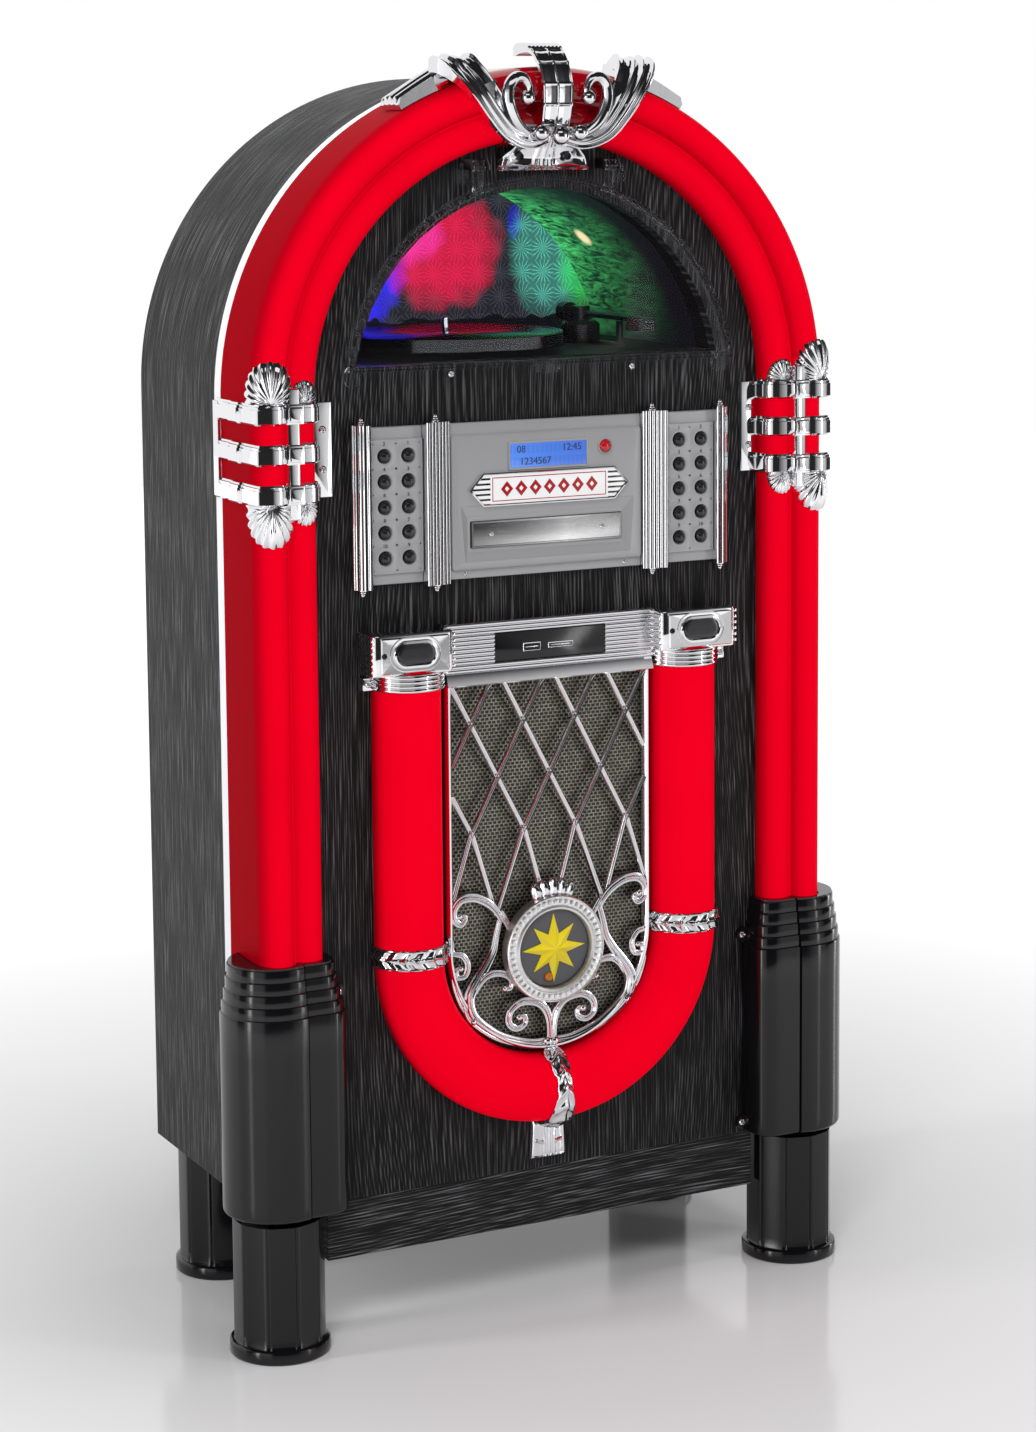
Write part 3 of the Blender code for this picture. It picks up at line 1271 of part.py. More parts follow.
def media_bar():
    """Chrome head bar: a ribbed middle with a plate recess, and a switch box at each end."""
    ribs = [(-GAP, BOX_BOTTOM)]
    pitch = (BAR_TOP - BOX_BOTTOM) / BAR_RIBS
    for k in range(BAR_RIBS):
        base = BOX_BOTTOM + pitch * k
        ribs.append((BAR_FRONT + BAR_RIB_DEPTH, base))
        ribs += [(BAR_FRONT, base + pitch / 4), (BAR_FRONT, base + pitch * 3 / 4)]
    ribs += [(BAR_FRONT + BAR_RIB_DEPTH, BAR_TOP), (-GAP, BAR_TOP)]
    rings = [[(x, y, z) for y, z in ribs] for x in (-BAR_HALF_WIDTH, BAR_HALF_WIDTH)]
    bar = make("media_bar", skin(bmesh.new(), rings), CHROME)
    boxes = bmesh.new()
    face_top = BOX_TOP - BOX_ROUND
    for side in (-1, 1):
        levels = [(BOX_BOTTOM, BOX_ROUND), (BOX_FACE_BOTTOM - BOX_ROUND, BOX_ROUND), (BOX_FACE_BOTTOM, 0)]
        levels += [(face_top, 0), (BOX_TOP, BOX_ROUND)]
        rings = []
        for z, back in levels:
            rings.append([(side * BOX_X + x, y, z) for x, y in box_outline(BOX_FRONT + back)])
        skin(boxes, rings)
    join(bar, boxes)
    frames = bmesh.new()
    for side in (-1, 1):
        prism(frames, pill_outline(side, PILL_FRAME), (BOX_FRONT - PILL_FRAME_PROUD, BOX_FRONT + SINK))
    join(bar, frames)
    return cut(bar, bar_cutters())


def pill_outline(side, grow):
    half, tall = PILL_HALF_WIDTH + grow, PILL_HALF_HEIGHT + grow
    return rounded(half, tall, tall - GAP, (side * BOX_X, PILL_Z), 3)


def bar_cutters():
    bm = bmesh.new()
    half, tall = BAR_PLATE_HALF_WIDTH, BAR_PLATE_HALF_HEIGHT
    span_y = (BAR_FRONT - OVERRUN, BAR_FRONT + BAR_PLATE_DEPTH)
    box(bm, (-half, half), span_y, (BAR_PLATE_Z - tall, BAR_PLATE_Z + tall))
    floor = BOX_FRONT - PILL_PROUD + PILL_THICKNESS + PILL_TRAVEL + RUN
    for side in (-1, 1):
        prism(bm, pill_outline(side, GAP), (BOX_FRONT - PILL_FRAME_PROUD - OVERRUN, floor))
    return bm


def switch_key(name, side):
    """Oval push key in the frame on its switch box."""
    front = BOX_FRONT - PILL_PROUD
    origin = (side * BOX_X, front, PILL_Z)
    rings = []
    for y, grow in ((front + PILL_THICKNESS, 0), (front + PILL_FRAME / 4, 0), (front, -PILL_FRAME / 3)):
        rings.append([(x, y, z) for x, z in pill_outline(side, grow)])
    return make(name, skin(bmesh.new(), rings), BLACK, origin)


# U-shaped tube, grille and sound.


def u_section(swell, steps=6):
    """Outside of the U tube in (distance from its middle line, y): half a circle on short straight sides."""
    radius = U_RADIUS + swell
    return [(-radius, -GAP), *arc((0, U_AXIS_Y), (radius, -radius), 180, 0, steps), (radius, -GAP)]


def u_rings(profile, top, steps=24):
    """Carries (distance, y) points down one leg, round the bend and up the other."""
    rings = [[(-U_X - d, y, top) for d, y in profile]]
    for i in range(steps + 1):
        angle = math.pi * (1 + i / steps)
        ring = []
        for d, y in profile:
            ring.append(((U_X + d) * math.cos(angle), y, U_Z + (U_X + d) * math.sin(angle)))
        rings.append(ring)
    rings.append([(U_X + d, y, top) for d, y in profile])
    return rings


def u_tube():
    profile = u_section(0) + u_section(-TUBE_WALL, 4)[::-1]
    return make("u_tube", skin(bmesh.new(), u_rings(profile, U_TOP)), RED)


def lattice_lines():
    """Ends of the crossing bars, clipped to the grille's frame."""
    slope = LATTICE_PITCH / 2 / LATTICE_STEP
    edge = GRILLE_HALF_WIDTH - RAIL_RADIUS
    lines = []
    for way in (-1, 1):
        for k in range(-LATTICE_LINES, LATTICE_LINES + 1):
            middle = k * LATTICE_PITCH
            ends = []
            for z in (LATTICE_LOW, GRILLE_TOP - LIP_HEIGHT / 2):
                ends.append((middle + way * slope * (z - LATTICE_Z), z))
            clipped = clip_line(ends, edge)
            if clipped:
                lines.append(stop_at_medal(clipped))
    return lines


def stop_at_medal(ends):
    """A bar that would run behind the medallion ends in its seat."""
    reach = MEDAL_RADIUS + RUN + BAR_RADIUS
    low, high = (Vector(end) for end in ends)
    spots = intersect_line_sphere_2d(low, high, Vector((0, MEDAL_Z)), reach)
    met = [spot for spot in spots if spot]
    return [max(met, key=lambda spot: spot.y), high] if met else ends


def clip_line(ends, edge):
    """The part of a slanted line between two upright edges, or nothing."""
    (xa, za), (xb, zb) = ends
    shares = sorted(((-edge - xa) / (xb - xa), (edge - xa) / (xb - xa)))
    low, high = max(shares[0], 0), min(shares[1], 1)
    if (high - low) * abs(zb - za) < LATTICE_STEP / 3:
        return None
    return [(xa + (xb - xa) * t, za + (zb - za) * t) for t in (low, high)]


# Scrollwork below the lattice, as shares of the grille's half width and of the height of its lower part.
RIM_SCROLL_SHARES = [
    (0.07, 0.02), (0.10, 0.20), (0.14, 0.34), (0.28, 0.42), (0.40, 0.37),
    (0.47, 0.27), (0.43, 0.18), (0.36, 0.20), (0.36, 0.26),
]
LEAF_SHARES = [
    (0.93, 0.44), (0.80, 0.53), (0.71, 0.72), (0.66, 0.90), (0.72, 1.10),
    (0.86, 1.16), (0.95, 1.06), (0.92, 0.96), (0.85, 0.99),
]
TWIG_SHARES = [(0.74, 0.56), (0.62, 0.58), (0.54, 0.54), (0.50, 0.46)]
TOP_TWIG_SHARES = [(0.66, 0.92), (0.58, 1.00), (0.48, 0.99), (0.42, 0.93)]


def scroll_path(shares, sign, lift=0.0):
    low = U_Z - U_X + U_RADIUS
    high = LATTICE_LOW - low
    middle = GRILLE_FRONT + SCROLL_RADIUS - lift
    points = [(sign * GRILLE_HALF_WIDTH * a, middle, low + high * b) for a, b in shares]
    return smooth_path(points, 2)


def grille():
    """Chrome casting: crossed bars in a frame, scrolls below, bands round the U tube and a clasp over its bend."""
    bar_y = GRILLE_FRONT + BAR_RADIUS
    first = bmesh.new()
    frame_rings = grille_frame(first)
    casting = make("grille", frame_rings, CHROME)
    bars = bmesh.new()
    for (xa, za), (xb, zb) in lattice_lines():
        level = bar_y + math.copysign(BAR_RADIUS / 8, (xb - xa) * (zb - za))
        rod(bars, [(xa, level, za), (xb, level, zb)], BAR_RADIUS, 4)
    join(casting, bars)
    scrolls = bmesh.new()
    for sign in (-1, 1):
        rod(scrolls, scroll_path(RIM_SCROLL_SHARES, sign), SCROLL_RADIUS, 5, 0.8)
        rod(scrolls, scroll_path(LEAF_SHARES, sign, SCROLL_RADIUS / 6), SCROLL_RADIUS, 5, 0.8)
        rod(scrolls, scroll_path(TWIG_SHARES, sign, SCROLL_RADIUS / 4), SCROLL_RADIUS * 0.8, 5, 0.7)
        rod(scrolls, scroll_path(TOP_TWIG_SHARES, sign, SCROLL_RADIUS / 3), SCROLL_RADIUS * 0.8, 5, 0.7)
    join(casting, scrolls)
    extra = bmesh.new()
    tube_bands(extra)
    clasp(extra)
    medal_seat(extra)
    return join(casting, extra)


def grille_frame(bm):
    """Frame that follows the inside of the U tube, closed above by a sloping lip."""
    half = GRILLE_HALF_WIDTH
    y = GRILLE_FRONT + RAIL_RADIUS
    path = [(-half, y, GRILLE_TOP)]
    for i in range(21):
        angle = math.pi * (1 + i / 20)
        path.append((half * math.cos(angle), y, U_Z + half * math.sin(angle)))
    path.append((half, y, GRILLE_TOP))
    rings = []
    for i, (x, _, z) in enumerate(path):
        before, after = path[max(i - 1, 0)], path[min(i + 1, len(path) - 1)]
        along = Vector((after[0] - before[0], 0, after[2] - before[2])).normalized()
        side = along.cross(Vector((0, 1, 0)))
        ring = []
        for across, level in ((-1, -1), (1, -1), (1, 1), (-1, 1)):
            back = -GAP - MESH_THICKNESS - 2 * GAP if level == 1 else GRILLE_FRONT
            ring.append(Vector((x, back, z)) + side * across * RAIL_RADIUS)
        rings.append(ring)
    skin(bm, rings)
    return bm


def tube_bands(bm):
    """Two cast bands round the U tube's legs, joined to the frame, and the lip under the head bar."""
    section = u_section(GAP + BAND_THICKNESS) + u_section(GAP)[::-1]
    low = U_Z + BAND_RISE
    for side in (-1, 1):
        rings = []
        for z in (low - BAND_HEIGHT / 2, low + BAND_HEIGHT / 2):
            rings.append([(side * U_X + d, y, z) for d, y in section])
        skin(bm, rings)
    back, front = -MESH_THICKNESS - 4 * GAP, GRILLE_FRONT - GAP
    top = GRILLE_TOP - GAP
    lip = [(back, top), (front, top), (front, top - LIP_THICKNESS)]
    lip += [(back - LIP_THICKNESS, top - LIP_HEIGHT), (back, top - LIP_HEIGHT)]
    skin(bm, [[(x, y, z) for y, z in lip] for x in (-GRILLE_HALF_WIDTH, GRILLE_HALF_WIDTH)])


def clasp(bm):
    """Strap over the U tube's bend, from the frame down to a flared end plate on the front panel."""
    outer = u_section(2 * RUN + CLASP_THICKNESS)
    inner = u_section(2 * RUN)
    section = [(U_Z - U_X - d, y) for d, y in outer] + [(U_Z - U_X - d, y) for d, y in inner[::-1]]
    rings = []
    for share in (-1, -0.5, 0.5, 1):
        lift = CLASP_THICKNESS / 3 if abs(share) < 1 else 0
        rings.append([(share * CLASP_HALF_WIDTH, y - (lift if i < len(outer) and y < -2 * GAP else 0), z)
                      for i, (z, y) in enumerate(section)])
    skin(bm, rings)
    half, top, low = CLASP_END_HALF_WIDTH, CLASP_END_TOP, CLASP_END_BOTTOM
    outline = [(-half, low), (0, low - CLASP_THICKNESS / 2), (half, low), (half, top), (-half, top)]
    tube_foot = U_Z - U_X - U_RADIUS - 2 * RUN
    outline = [(x, min(z, tube_foot)) for x, z in outline]
    prism(bm, outline, (-GAP - CLASP_END_THICKNESS, -GAP))


def medal_seat(bm):
    """Stepped ring that carries the medallion between the scrolls and the lattice."""
    inner, outer = MEDAL_RADIUS - MEDAL_SEAT, MEDAL_RADIUS + MEDAL_SEAT
    floor, back = MEDAL_BACK + GAP, MEDAL_BACK + MEDAL_SEAT
    step, front = MEDAL_RADIUS + RUN, GRILLE_FRONT - RUN
    ring = [(inner, floor), (step, floor), (step, front), (outer, front), (outer, back), (inner, back)]
    turned(bm, (0, 0, MEDAL_Z), ring, MEDAL_SIDES, "Y", closed=True)


def speaker_mesh():
    """Woven grille as a flat net: two rows of wires cut to the frame's inner shape, with a closed border."""
    back = -GAP
    front = back - MESH_THICKNESS
    half = GRILLE_HALF_WIDTH - MESH_EDGE
    border = u_plate_outline(half)
    net = make("speaker_mesh", prism(bmesh.new(), border, (front, back)), STEEL)
    inner_half = half - MESH_BORDER
    count_x = int(inner_half // MESH_PITCH)
    holes = bmesh.new()
    gap = MESH_PITCH - MESH_WIRE
    rows = int((GRILLE_TOP - MESH_EDGE - MESH_BORDER - (U_Z - inner_half)) // MESH_PITCH) + 1
    for j in range(rows):
        z = GRILLE_TOP - MESH_EDGE - MESH_BORDER - MESH_PITCH * (j + 1) + MESH_WIRE / 2
        for i in range(-count_x, count_x + 1):
            x = i * MESH_PITCH - gap / 2
            if x < -inner_half or x + gap > inner_half:
                continue
            low = U_Z - math.sqrt(max(inner_half**2 - max(abs(x), abs(x + gap)) ** 2, 0))
            floor = max(z, low)
            if z + gap - floor > gap / 3:
                box(holes, (x, x + gap), (front - OVERRUN, back + OVERRUN), (floor, z + gap))
    return cut(net, holes)


def u_plate_outline(half):
    top = GRILLE_TOP - MESH_EDGE
    return [(half, top), (-half, top), *arc((0, U_Z), (half, half), 180, 360, 24)]


def medallion():
    """Beaded ring round a flat face with a faceted star of eight points."""
    front, face = MEDAL_FRONT, MEDAL_FACE
    ring = MEDAL_RADIUS - MEDAL_FACE_RADIUS
    edge = ring / 4
    profile = [(MEDAL_RADIUS - edge, MEDAL_BACK), (MEDAL_RADIUS, MEDAL_BACK - edge), (MEDAL_RADIUS, front + edge),
               (MEDAL_RADIUS - edge, front), (MEDAL_FACE_RADIUS + edge, front), (MEDAL_FACE_RADIUS, front + edge),
               (MEDAL_FACE_RADIUS, face)]
    medal = make("medallion", turned(bmesh.new(), (0, 0, MEDAL_Z), profile, MEDAL_SIDES, "Y"), CHROME)
    star = bmesh.new()
    rim = []
    for k in range(16):
        angle = math.tau * k / 16 + math.pi / 2
        size = STAR_RADIUS * (STAR_WAIST_SHARE if k % 2 else (1 if k % 4 == 0 else STAR_SHORT_SHARE))
        rim.append((size * math.cos(angle), MEDAL_Z + size * math.sin(angle)))
    base = [star.verts.new((x, face + SINK, z)) for x, z in rim]
    edge = [star.verts.new((x, face - SINK, z)) for x, z in rim]
    peak = star.verts.new((0, face - STAR_HEIGHT, MEDAL_Z))
    star.faces.new(base)
    for k in range(16):
        j = (k + 1) % 16
        star.faces.new((base[k], base[j], edge[j], edge[k]))
        star.faces.new((edge[k], edge[j], peak))
    return join(medal, star)


def speaker():
    """Cone loudspeaker behind its opening: rim, basket, cone and magnet in one turned body."""
    front = PANEL_THICKNESS + GAP
    cone = SPEAKER_CONE_WALL
    magnet = front + SPEAKER_DEPTH - SPEAKER_MAGNET_THICKNESS
    waist = SPEAKER_MAGNET_RADIUS / 2
    profile = [
        (waist, magnet - SPEAKER_RIM), (SPEAKER_OPENING - SPEAKER_RIM, front + SPEAKER_RIM), (SPEAKER_OPENING, front),
        (SPEAKER_RADIUS, front), (SPEAKER_RADIUS, front + SPEAKER_RIM), (SPEAKER_OPENING, front + SPEAKER_RIM + cone),
        (SPEAKER_MAGNET_RADIUS, magnet), (SPEAKER_MAGNET_RADIUS, magnet + SPEAKER_MAGNET_THICKNESS),
    ]
    return make("speaker", turned(bmesh.new(), (0, 0, SPEAKER_Z), profile, 24, "Y"), PAPER)


def circuit_board():
    """Amplifier board on four posts, with a finned heat sink."""
    floor = CABINET_BOTTOM + FLOOR_BOARD_THICKNESS + GAP
    low = floor + BOARD_STANDOFF
    half = BOARD_HALF_WIDTH
    span_y = (BOARD_Y - BOARD_HALF_DEPTH, BOARD_Y + BOARD_HALF_DEPTH)
    board = make("circuit_board", box(bmesh.new(), (-half, half), span_y, (low, low + BOARD_THICKNESS)), GREEN)
    extra = bmesh.new()
    edge = 2 * BOARD_POST_RADIUS
    for x in (-half + edge, half - edge):
        for y in (span_y[0] + edge, span_y[1] - edge):
            turned(extra, (x, y, 0), [(BOARD_POST_RADIUS, floor), (BOARD_POST_RADIUS, low + SINK)], 10)
    base = low + BOARD_THICKNESS - SINK
    deep = (BOARD_Y - BOARD_HALF_DEPTH / 2, BOARD_Y + BOARD_HALF_DEPTH / 2)
    span = HEATSINK_PITCH * (HEATSINK_FINS - 1)
    box(extra, (-span / 2 - HEATSINK_FIN, span / 2 + HEATSINK_FIN), deep, (base, base + HEATSINK_FIN + SINK))
    join(board, extra)
    fins = bmesh.new()
    for k in range(HEATSINK_FINS):
        x = HEATSINK_PITCH * k - span / 2
        box(fins, (x - HEATSINK_FIN / 2, x + HEATSINK_FIN / 2), deep, (base + SINK, base + HEATSINK_HEIGHT))
    return join(board, fins)


# Crown.


def crown_lens():
    """Dark glossy cover over the top of the tube, which the crown straddles."""
    profile = hug(LENS_GAP + LENS_WALL) + hug(LENS_GAP)[::-1]
    rings = []
    for i in range(-LENS_STEPS, LENS_STEPS + 1):
        rings.append([on_arch(r, y, ARCH_STEPS / 2 + i) for r, y in profile])
    return make("crown_lens", skin(bmesh.new(), rings), DARK_RED)


def ribbon(bm, path, half_widths, thickness, ribs=1):
    """A strap along a path over the arch: its back faces the tube, and its front carries raised ribs."""
    rings = []
    for i, point in enumerate(path):
        along = (Vector(path[min(i + 1, len(path) - 1)]) - Vector(path[max(i - 1, 0)])).normalized()
        rise = point[2] - HEIGHT + 2 * SKIRT_HALF_WIDTH
        out = Vector((0, min(point[1] - WRAP_FRONT / 2, -GAP), max(rise, GAP)))
        out = (out - along * out.dot(along)).normalized()
        side = along.cross(out)
        wide = half_widths[0] + (half_widths[1] - half_widths[0]) * i / (len(path) - 1)
        ring = [Vector(point) + side * wide, Vector(point) - side * wide]
        for k in range(2 * ribs + 1):
            share = -1 + 2 * k / (2 * ribs)
            lift = thickness if k % 2 else thickness * 0.62
            ring.append(Vector(point) + side * wide * share + out * lift)
        rings.append(ring)
    return skin(bm, rings)


# The crown's lines, as shares: x of the skirt's half width, y of the ball's place, z of the crown's height.
STRAP_SHARES = [
    (0, 0.86, 0.26), (0, 0.93, 0.42), (0, 0.95, 0.56), (0, 0.88, 0.70), (0, 0.70, 0.82),
    (0, 0.40, 0.92), (0, 0.0, 0.959), (0, -0.45, 0.94), (0, -0.85, 0.90),
]
BAND_SHARES = [
    (0.20, 0.90, 0.29), (0.58, 0.95, 0.255), (0.98, 0.95, 0.31), (1.30, 0.95, 0.45), (1.58, 0.90, 0.61),
    (1.80, 0.72, 0.74), (1.94, 0.35, 0.815), (2.02, -0.15, 0.83), (2.05, -0.70, 0.81),
]
VOLUTE_SHARES = [
    (0.45, 1.0, 0.33), (0.72, 1.0, 0.37), (0.96, 1.0, 0.46), (1.06, 1.0, 0.57), (0.98, 1.0, 0.66),
    (0.82, 1.0, 0.70), (0.66, 1.0, 0.66), (0.62, 1.0, 0.58), (0.72, 1.0, 0.54),
]
SKIRT_SHARES = [(0, 1.0, 0), (0.3, 0.93, 0.06), (0.55, 0.72, 0.35), (0.78, 0.52, 0.70), (1, 0.42, 0.92)]


def crown_path(shares, sign, steps=2):
    high = HEIGHT - SKIRT_BOTTOM
    points = [(sign * a * SKIRT_HALF_WIDTH, b * BALL_Y, SKIRT_BOTTOM + high * c) for a, b, c in shares]
    return smooth_path(points, steps)


def crown():
    """Cast crown: a fan skirt, three balls, a tiled strap, two volutes, two flared bands and two wings."""
    casting = make("crown", crown_skirt(), CHROME)
    half_widths = (STRAP_HALF_WIDTH * 0.9, STRAP_HALF_WIDTH)
    strap = ribbon(bmesh.new(), crown_path(STRAP_SHARES, 1), half_widths, STRAP_THICKNESS, 2)
    join(casting, strap)
    extra = bmesh.new()
    for sign in (-1, 1):
        wide = CROWN_BAND_HALF_WIDTH
        ribbon(extra, crown_path(BAND_SHARES, sign), (wide * 0.6, wide), CROWN_BAND_THICKNESS, 2)
    join(casting, extra)
    curls = bmesh.new()
    for sign in (-1, 1):
        rod(curls, crown_path(VOLUTE_SHARES, sign), VOLUTE_RADIUS, 6, 0.85)
        ball(curls, (sign * BALL_X, BALL_Y, BALL_Z), BALL_RADIUS)
    ball(curls, (0, BALL_Y, BALL_Z - BALL_RADIUS / 2), BALL_RADIUS)
    join(casting, curls)
    wings = bmesh.new()
    for sign in (-1, 1):
        crown_wing(wings, sign)
    return join(casting, wings)


def crown_skirt():
    """Fluted fan that stands on the front panel and leans forward up to the balls."""
    flutes = 8
    rings = []
    for up, wide, forward in SKIRT_SHARES:
        z = SKIRT_BOTTOM + (SKIRT_TOP - SKIRT_BOTTOM) * up
        y = SKIRT_FOOT_Y + (BALL_Y - SKIRT_FOOT_Y) * forward
        front = []
        for k in range(flutes + 1):
            share = -1 + 2 * k / flutes
            bulge = SKIRT_THICKNESS / 4 * (1 if k % 2 else -1)
            front.append((SKIRT_HALF_WIDTH * wide * share, y + bulge, z))
        back = [(x, y + SKIRT_THICKNESS, z) for x in (SKIRT_HALF_WIDTH * wide, -SKIRT_HALF_WIDTH * wide)]
        rings.append([*front, *back])
    return skin(bmesh.new(), rings)


def crown_wing(bm, sign):
    """Long fluted strip along the outer edge of the tube. It rises to the band at its root and steps off the lens."""
    tube = HALF_WIDTH + TUBE_PROUD + GAP
    lens = tube + LENS_GAP + LENS_WALL
    step = LENS_STEPS * WING_STEP_SHARE
    off_lens = LENS_STEPS + step
    levels = ((LENS_STEPS * WING_START_SHARE, lens, WING_ROOT), (off_lens, lens, WING_ROOT),
              (off_lens + step, tube, WING_ROOT), (LENS_STEPS + 1, tube, WING_THICKNESS * 1.2),
              (LENS_STEPS * WING_END_SHARE, tube, WING_THICKNESS))
    rings = []
    for turn, low, high in levels:
        crest, valley = tube + high, tube + high * 0.85
        section = ((low, LOBE_OUTER_Y), (valley, LOBE_OUTER_Y), (crest, WING_BACK / 8), (valley, WING_BACK / 3),
                   (crest, WING_BACK / 2), (valley, WING_BACK * 0.75), (crest, WING_BACK), (low, WING_BACK))
        ring = []
        for r, y in section:
            spot = on_arch(r, y, ARCH_STEPS / 2 - turn)
            ring.append((sign * spot.x, spot.y, spot.z))
        rings.append(ring)
    return skin(bm, rings)


def build():
    cabinet_shell()
    bottom_board()
    front_baffle()
    bottom_rail()
    rear_cover()
    rim_trim()
    arch_tube()
    for name, side in (("left", -1), ("right", 1)):
        front_foot(f"foot_front_{name}", side)
        foot(f"foot_back_{name}", side * FOOT_BACK_X, FOOT_BACK_Y, CABINET_BOTTOM - GAP)
        foot_shroud(f"foot_shroud_{name}", side)
        clamp(f"clamp_{name}", side)
        key_console(f"console_{name}", side)
        for index, (x, z) in enumerate(key_places(side), 1):
            key(f"key_{name}_{index:02d}", x, z)
    window_frame()
    window_pane()
    turntable_well()
    turntable_deck()
    platter()
    platter_motor()
    tonearm()
    tonearm_base()
    console_center()
    lcd_window()
    cd_tray()
    cd_drive()
    media_bar()
    switch_key("switch_key_power", -1)
    switch_key("switch_key_light", 1)
    u_tube()
    grille()
    speaker_mesh()
    medallion()
    speaker()
    circuit_board()
    crown_lens()
    crown()


build()
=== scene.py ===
# %% [markdown]
# # A jukebox with a lit arch, made with numpy surfaces
# The solid model comes from the CAD step as a fixed frame. This lesson dresses it: it replaces the coarse solids
# with fine surfaces, and gives every piece a finish made of nodes. Each shape is a formula on a grid of two
# parameters, or a profile carried along a path, so that a reader can change one number and run the cell again.

# %% Load the frame
import math

import bmesh
import bpy
import numpy as np
from mathutils import Matrix, Vector


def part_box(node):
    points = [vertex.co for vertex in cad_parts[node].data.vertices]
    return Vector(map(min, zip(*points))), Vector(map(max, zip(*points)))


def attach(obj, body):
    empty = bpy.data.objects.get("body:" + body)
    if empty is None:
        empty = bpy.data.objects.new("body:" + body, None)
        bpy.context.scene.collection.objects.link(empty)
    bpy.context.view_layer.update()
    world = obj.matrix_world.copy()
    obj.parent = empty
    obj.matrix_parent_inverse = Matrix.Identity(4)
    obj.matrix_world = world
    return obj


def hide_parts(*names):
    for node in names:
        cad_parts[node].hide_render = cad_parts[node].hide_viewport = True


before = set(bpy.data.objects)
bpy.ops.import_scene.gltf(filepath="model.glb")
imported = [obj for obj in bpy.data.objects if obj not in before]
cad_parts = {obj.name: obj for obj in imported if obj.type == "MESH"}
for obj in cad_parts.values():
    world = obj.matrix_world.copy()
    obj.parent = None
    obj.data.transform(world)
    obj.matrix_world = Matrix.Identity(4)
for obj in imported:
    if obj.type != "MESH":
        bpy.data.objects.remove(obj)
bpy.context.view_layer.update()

PANEL = float(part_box("bottom_rail")[0][1])
SIDES = (("left", -1), ("right", 1))
print("front panel at y =", round(PANEL, 5), "nodes:", len(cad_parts))

# %% [markdown]
# ## Patches
# A patch is a grid of points with rows and columns. Closing its columns makes a tube, closing its rows makes a ring,
# and a face at either end makes it a solid. Several patches make one piece, as castings and moulded parts do.
# Two numbers travel with each point, across and along, so that a finish can follow the surface.

# %% Patch helpers
def patch(points, loop=True, ring=False, caps=True, across=None, along=None):
    """Grid of rows x columns x 3 to vertices and faces: face (i, j) joins point (i, j) to its three neighbours."""
    points = np.asarray(points, float)
    rows, cols = points.shape[:2]
    i = np.arange(rows if ring else rows - 1)[:, None]
    j = np.arange(cols if loop else cols - 1)[None, :]
    right, up = (j + 1) % cols, (i + 1) % rows * cols
    faces = np.stack([i * cols + j, i * cols + right, up + right, up + j], -1).reshape(-1, 4).tolist()
    if caps and loop and not ring:
        faces += [list(range(cols))[::-1], list(range((rows - 1) * cols, rows * cols))]
    u = np.linspace(0, 1, cols)[None, :] if across is None else across
    v = np.linspace(0, 1, rows)[:, None] if along is None else along
    return points.reshape(-1, 3), faces, *(np.broadcast_to(w, (rows, cols)).reshape(-1) for w in (u, v))


def link(thing):
    """Puts an object into the scene."""
    bpy.context.scene.collection.objects.link(thing)
    return thing


def piece(name, patches, material, body="cabinet", replaces=None, sharp=35.0):
    """Welds patches into one mesh, puts its zero depth on the front panel, and lets it ride on a body."""
    points, quads, across, along = zip(*patches)
    starts = np.cumsum([0] + [len(p) for p in points])
    faces = [[k + start for k in face] for start, some in zip(starts.tolist(), quads) for face in some]
    mesh = bpy.data.meshes.new(name)
    mesh.from_pydata((np.concatenate(points) + (0.0, PANEL, 0.0)).tolist(), [], faces)
    for label, values in (("across", across), ("along", along)):
        mesh.attributes.new(label, "FLOAT", "POINT").data.foreach_set("value", np.concatenate(values))
    bm = bmesh.new()
    bm.from_mesh(mesh)
    bmesh.ops.remove_doubles(bm, verts=bm.verts, dist=2e-6)
    bmesh.ops.dissolve_degenerate(bm, edges=bm.edges, dist=1e-7)
    bmesh.ops.recalc_face_normals(bm, faces=bm.faces)
    bm.to_mesh(mesh)
    bm.free()
    mesh.shade_smooth()
    mesh.set_sharp_from_angle(angle=math.radians(sharp))
    thing = link(bpy.data.objects.new(name, mesh))
    mesh.materials.append(material)
    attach(thing, body)
    if replaces:
        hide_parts(replaces)
    print(f"{name}: {len(mesh.polygons)} faces")


# %% [markdown]
# ## Profiles and paths
# Most of this object is a profile carried along a path: the lit arch, the bands, the scrolls. The profile is given
# in two local directions, one to the side and one outwards, and the path supplies both for each row.

# %% Lines and their lengths
def unit(v):
    """Each vector divided by its own length."""
    return v / np.maximum(np.linalg.norm(v, axis=-1, keepdims=True), 1e-12)


def whole_turn(count):
    """Equal angles round a circle: k tau / count."""
    return np.arange(count) * math.tau / count


def polar(radius, angle):
    """Points (r cos t, r sin t)."""
    return np.stack([radius * np.cos(angle), radius * np.sin(angle)], -1)


def upright(outline, y):
    """An outline in (x, z), set at depth y."""
    return np.stack([outline[:, 0], np.broadcast_to(y, len(outline)), outline[:, 1]], -1)


def laid(plan, z):
    """A plan in (x, y), set at height z."""
    return np.stack([plan[:, 0], plan[:, 1], np.broadcast_to(z, len(plan))], -1)


def bell(value, place, width):
    """Bell curve exp(-((value - place) / width)^2)."""
    return np.exp(-(((value - place) / width) ** 2))


def pair(side, a, b):
    """Two limits in x, mirrored to the given side and put in order."""
    return sorted((side * a, side * b))


def around(middle, half):
    """Two limits at the same distance from a middle."""
    return middle - half, middle + half


def lengths(line):
    """Length of a line up to each of its points: the running sum of its steps."""
    return np.concatenate([[0], np.cumsum(np.hypot(*np.diff(line, axis=0).T))])


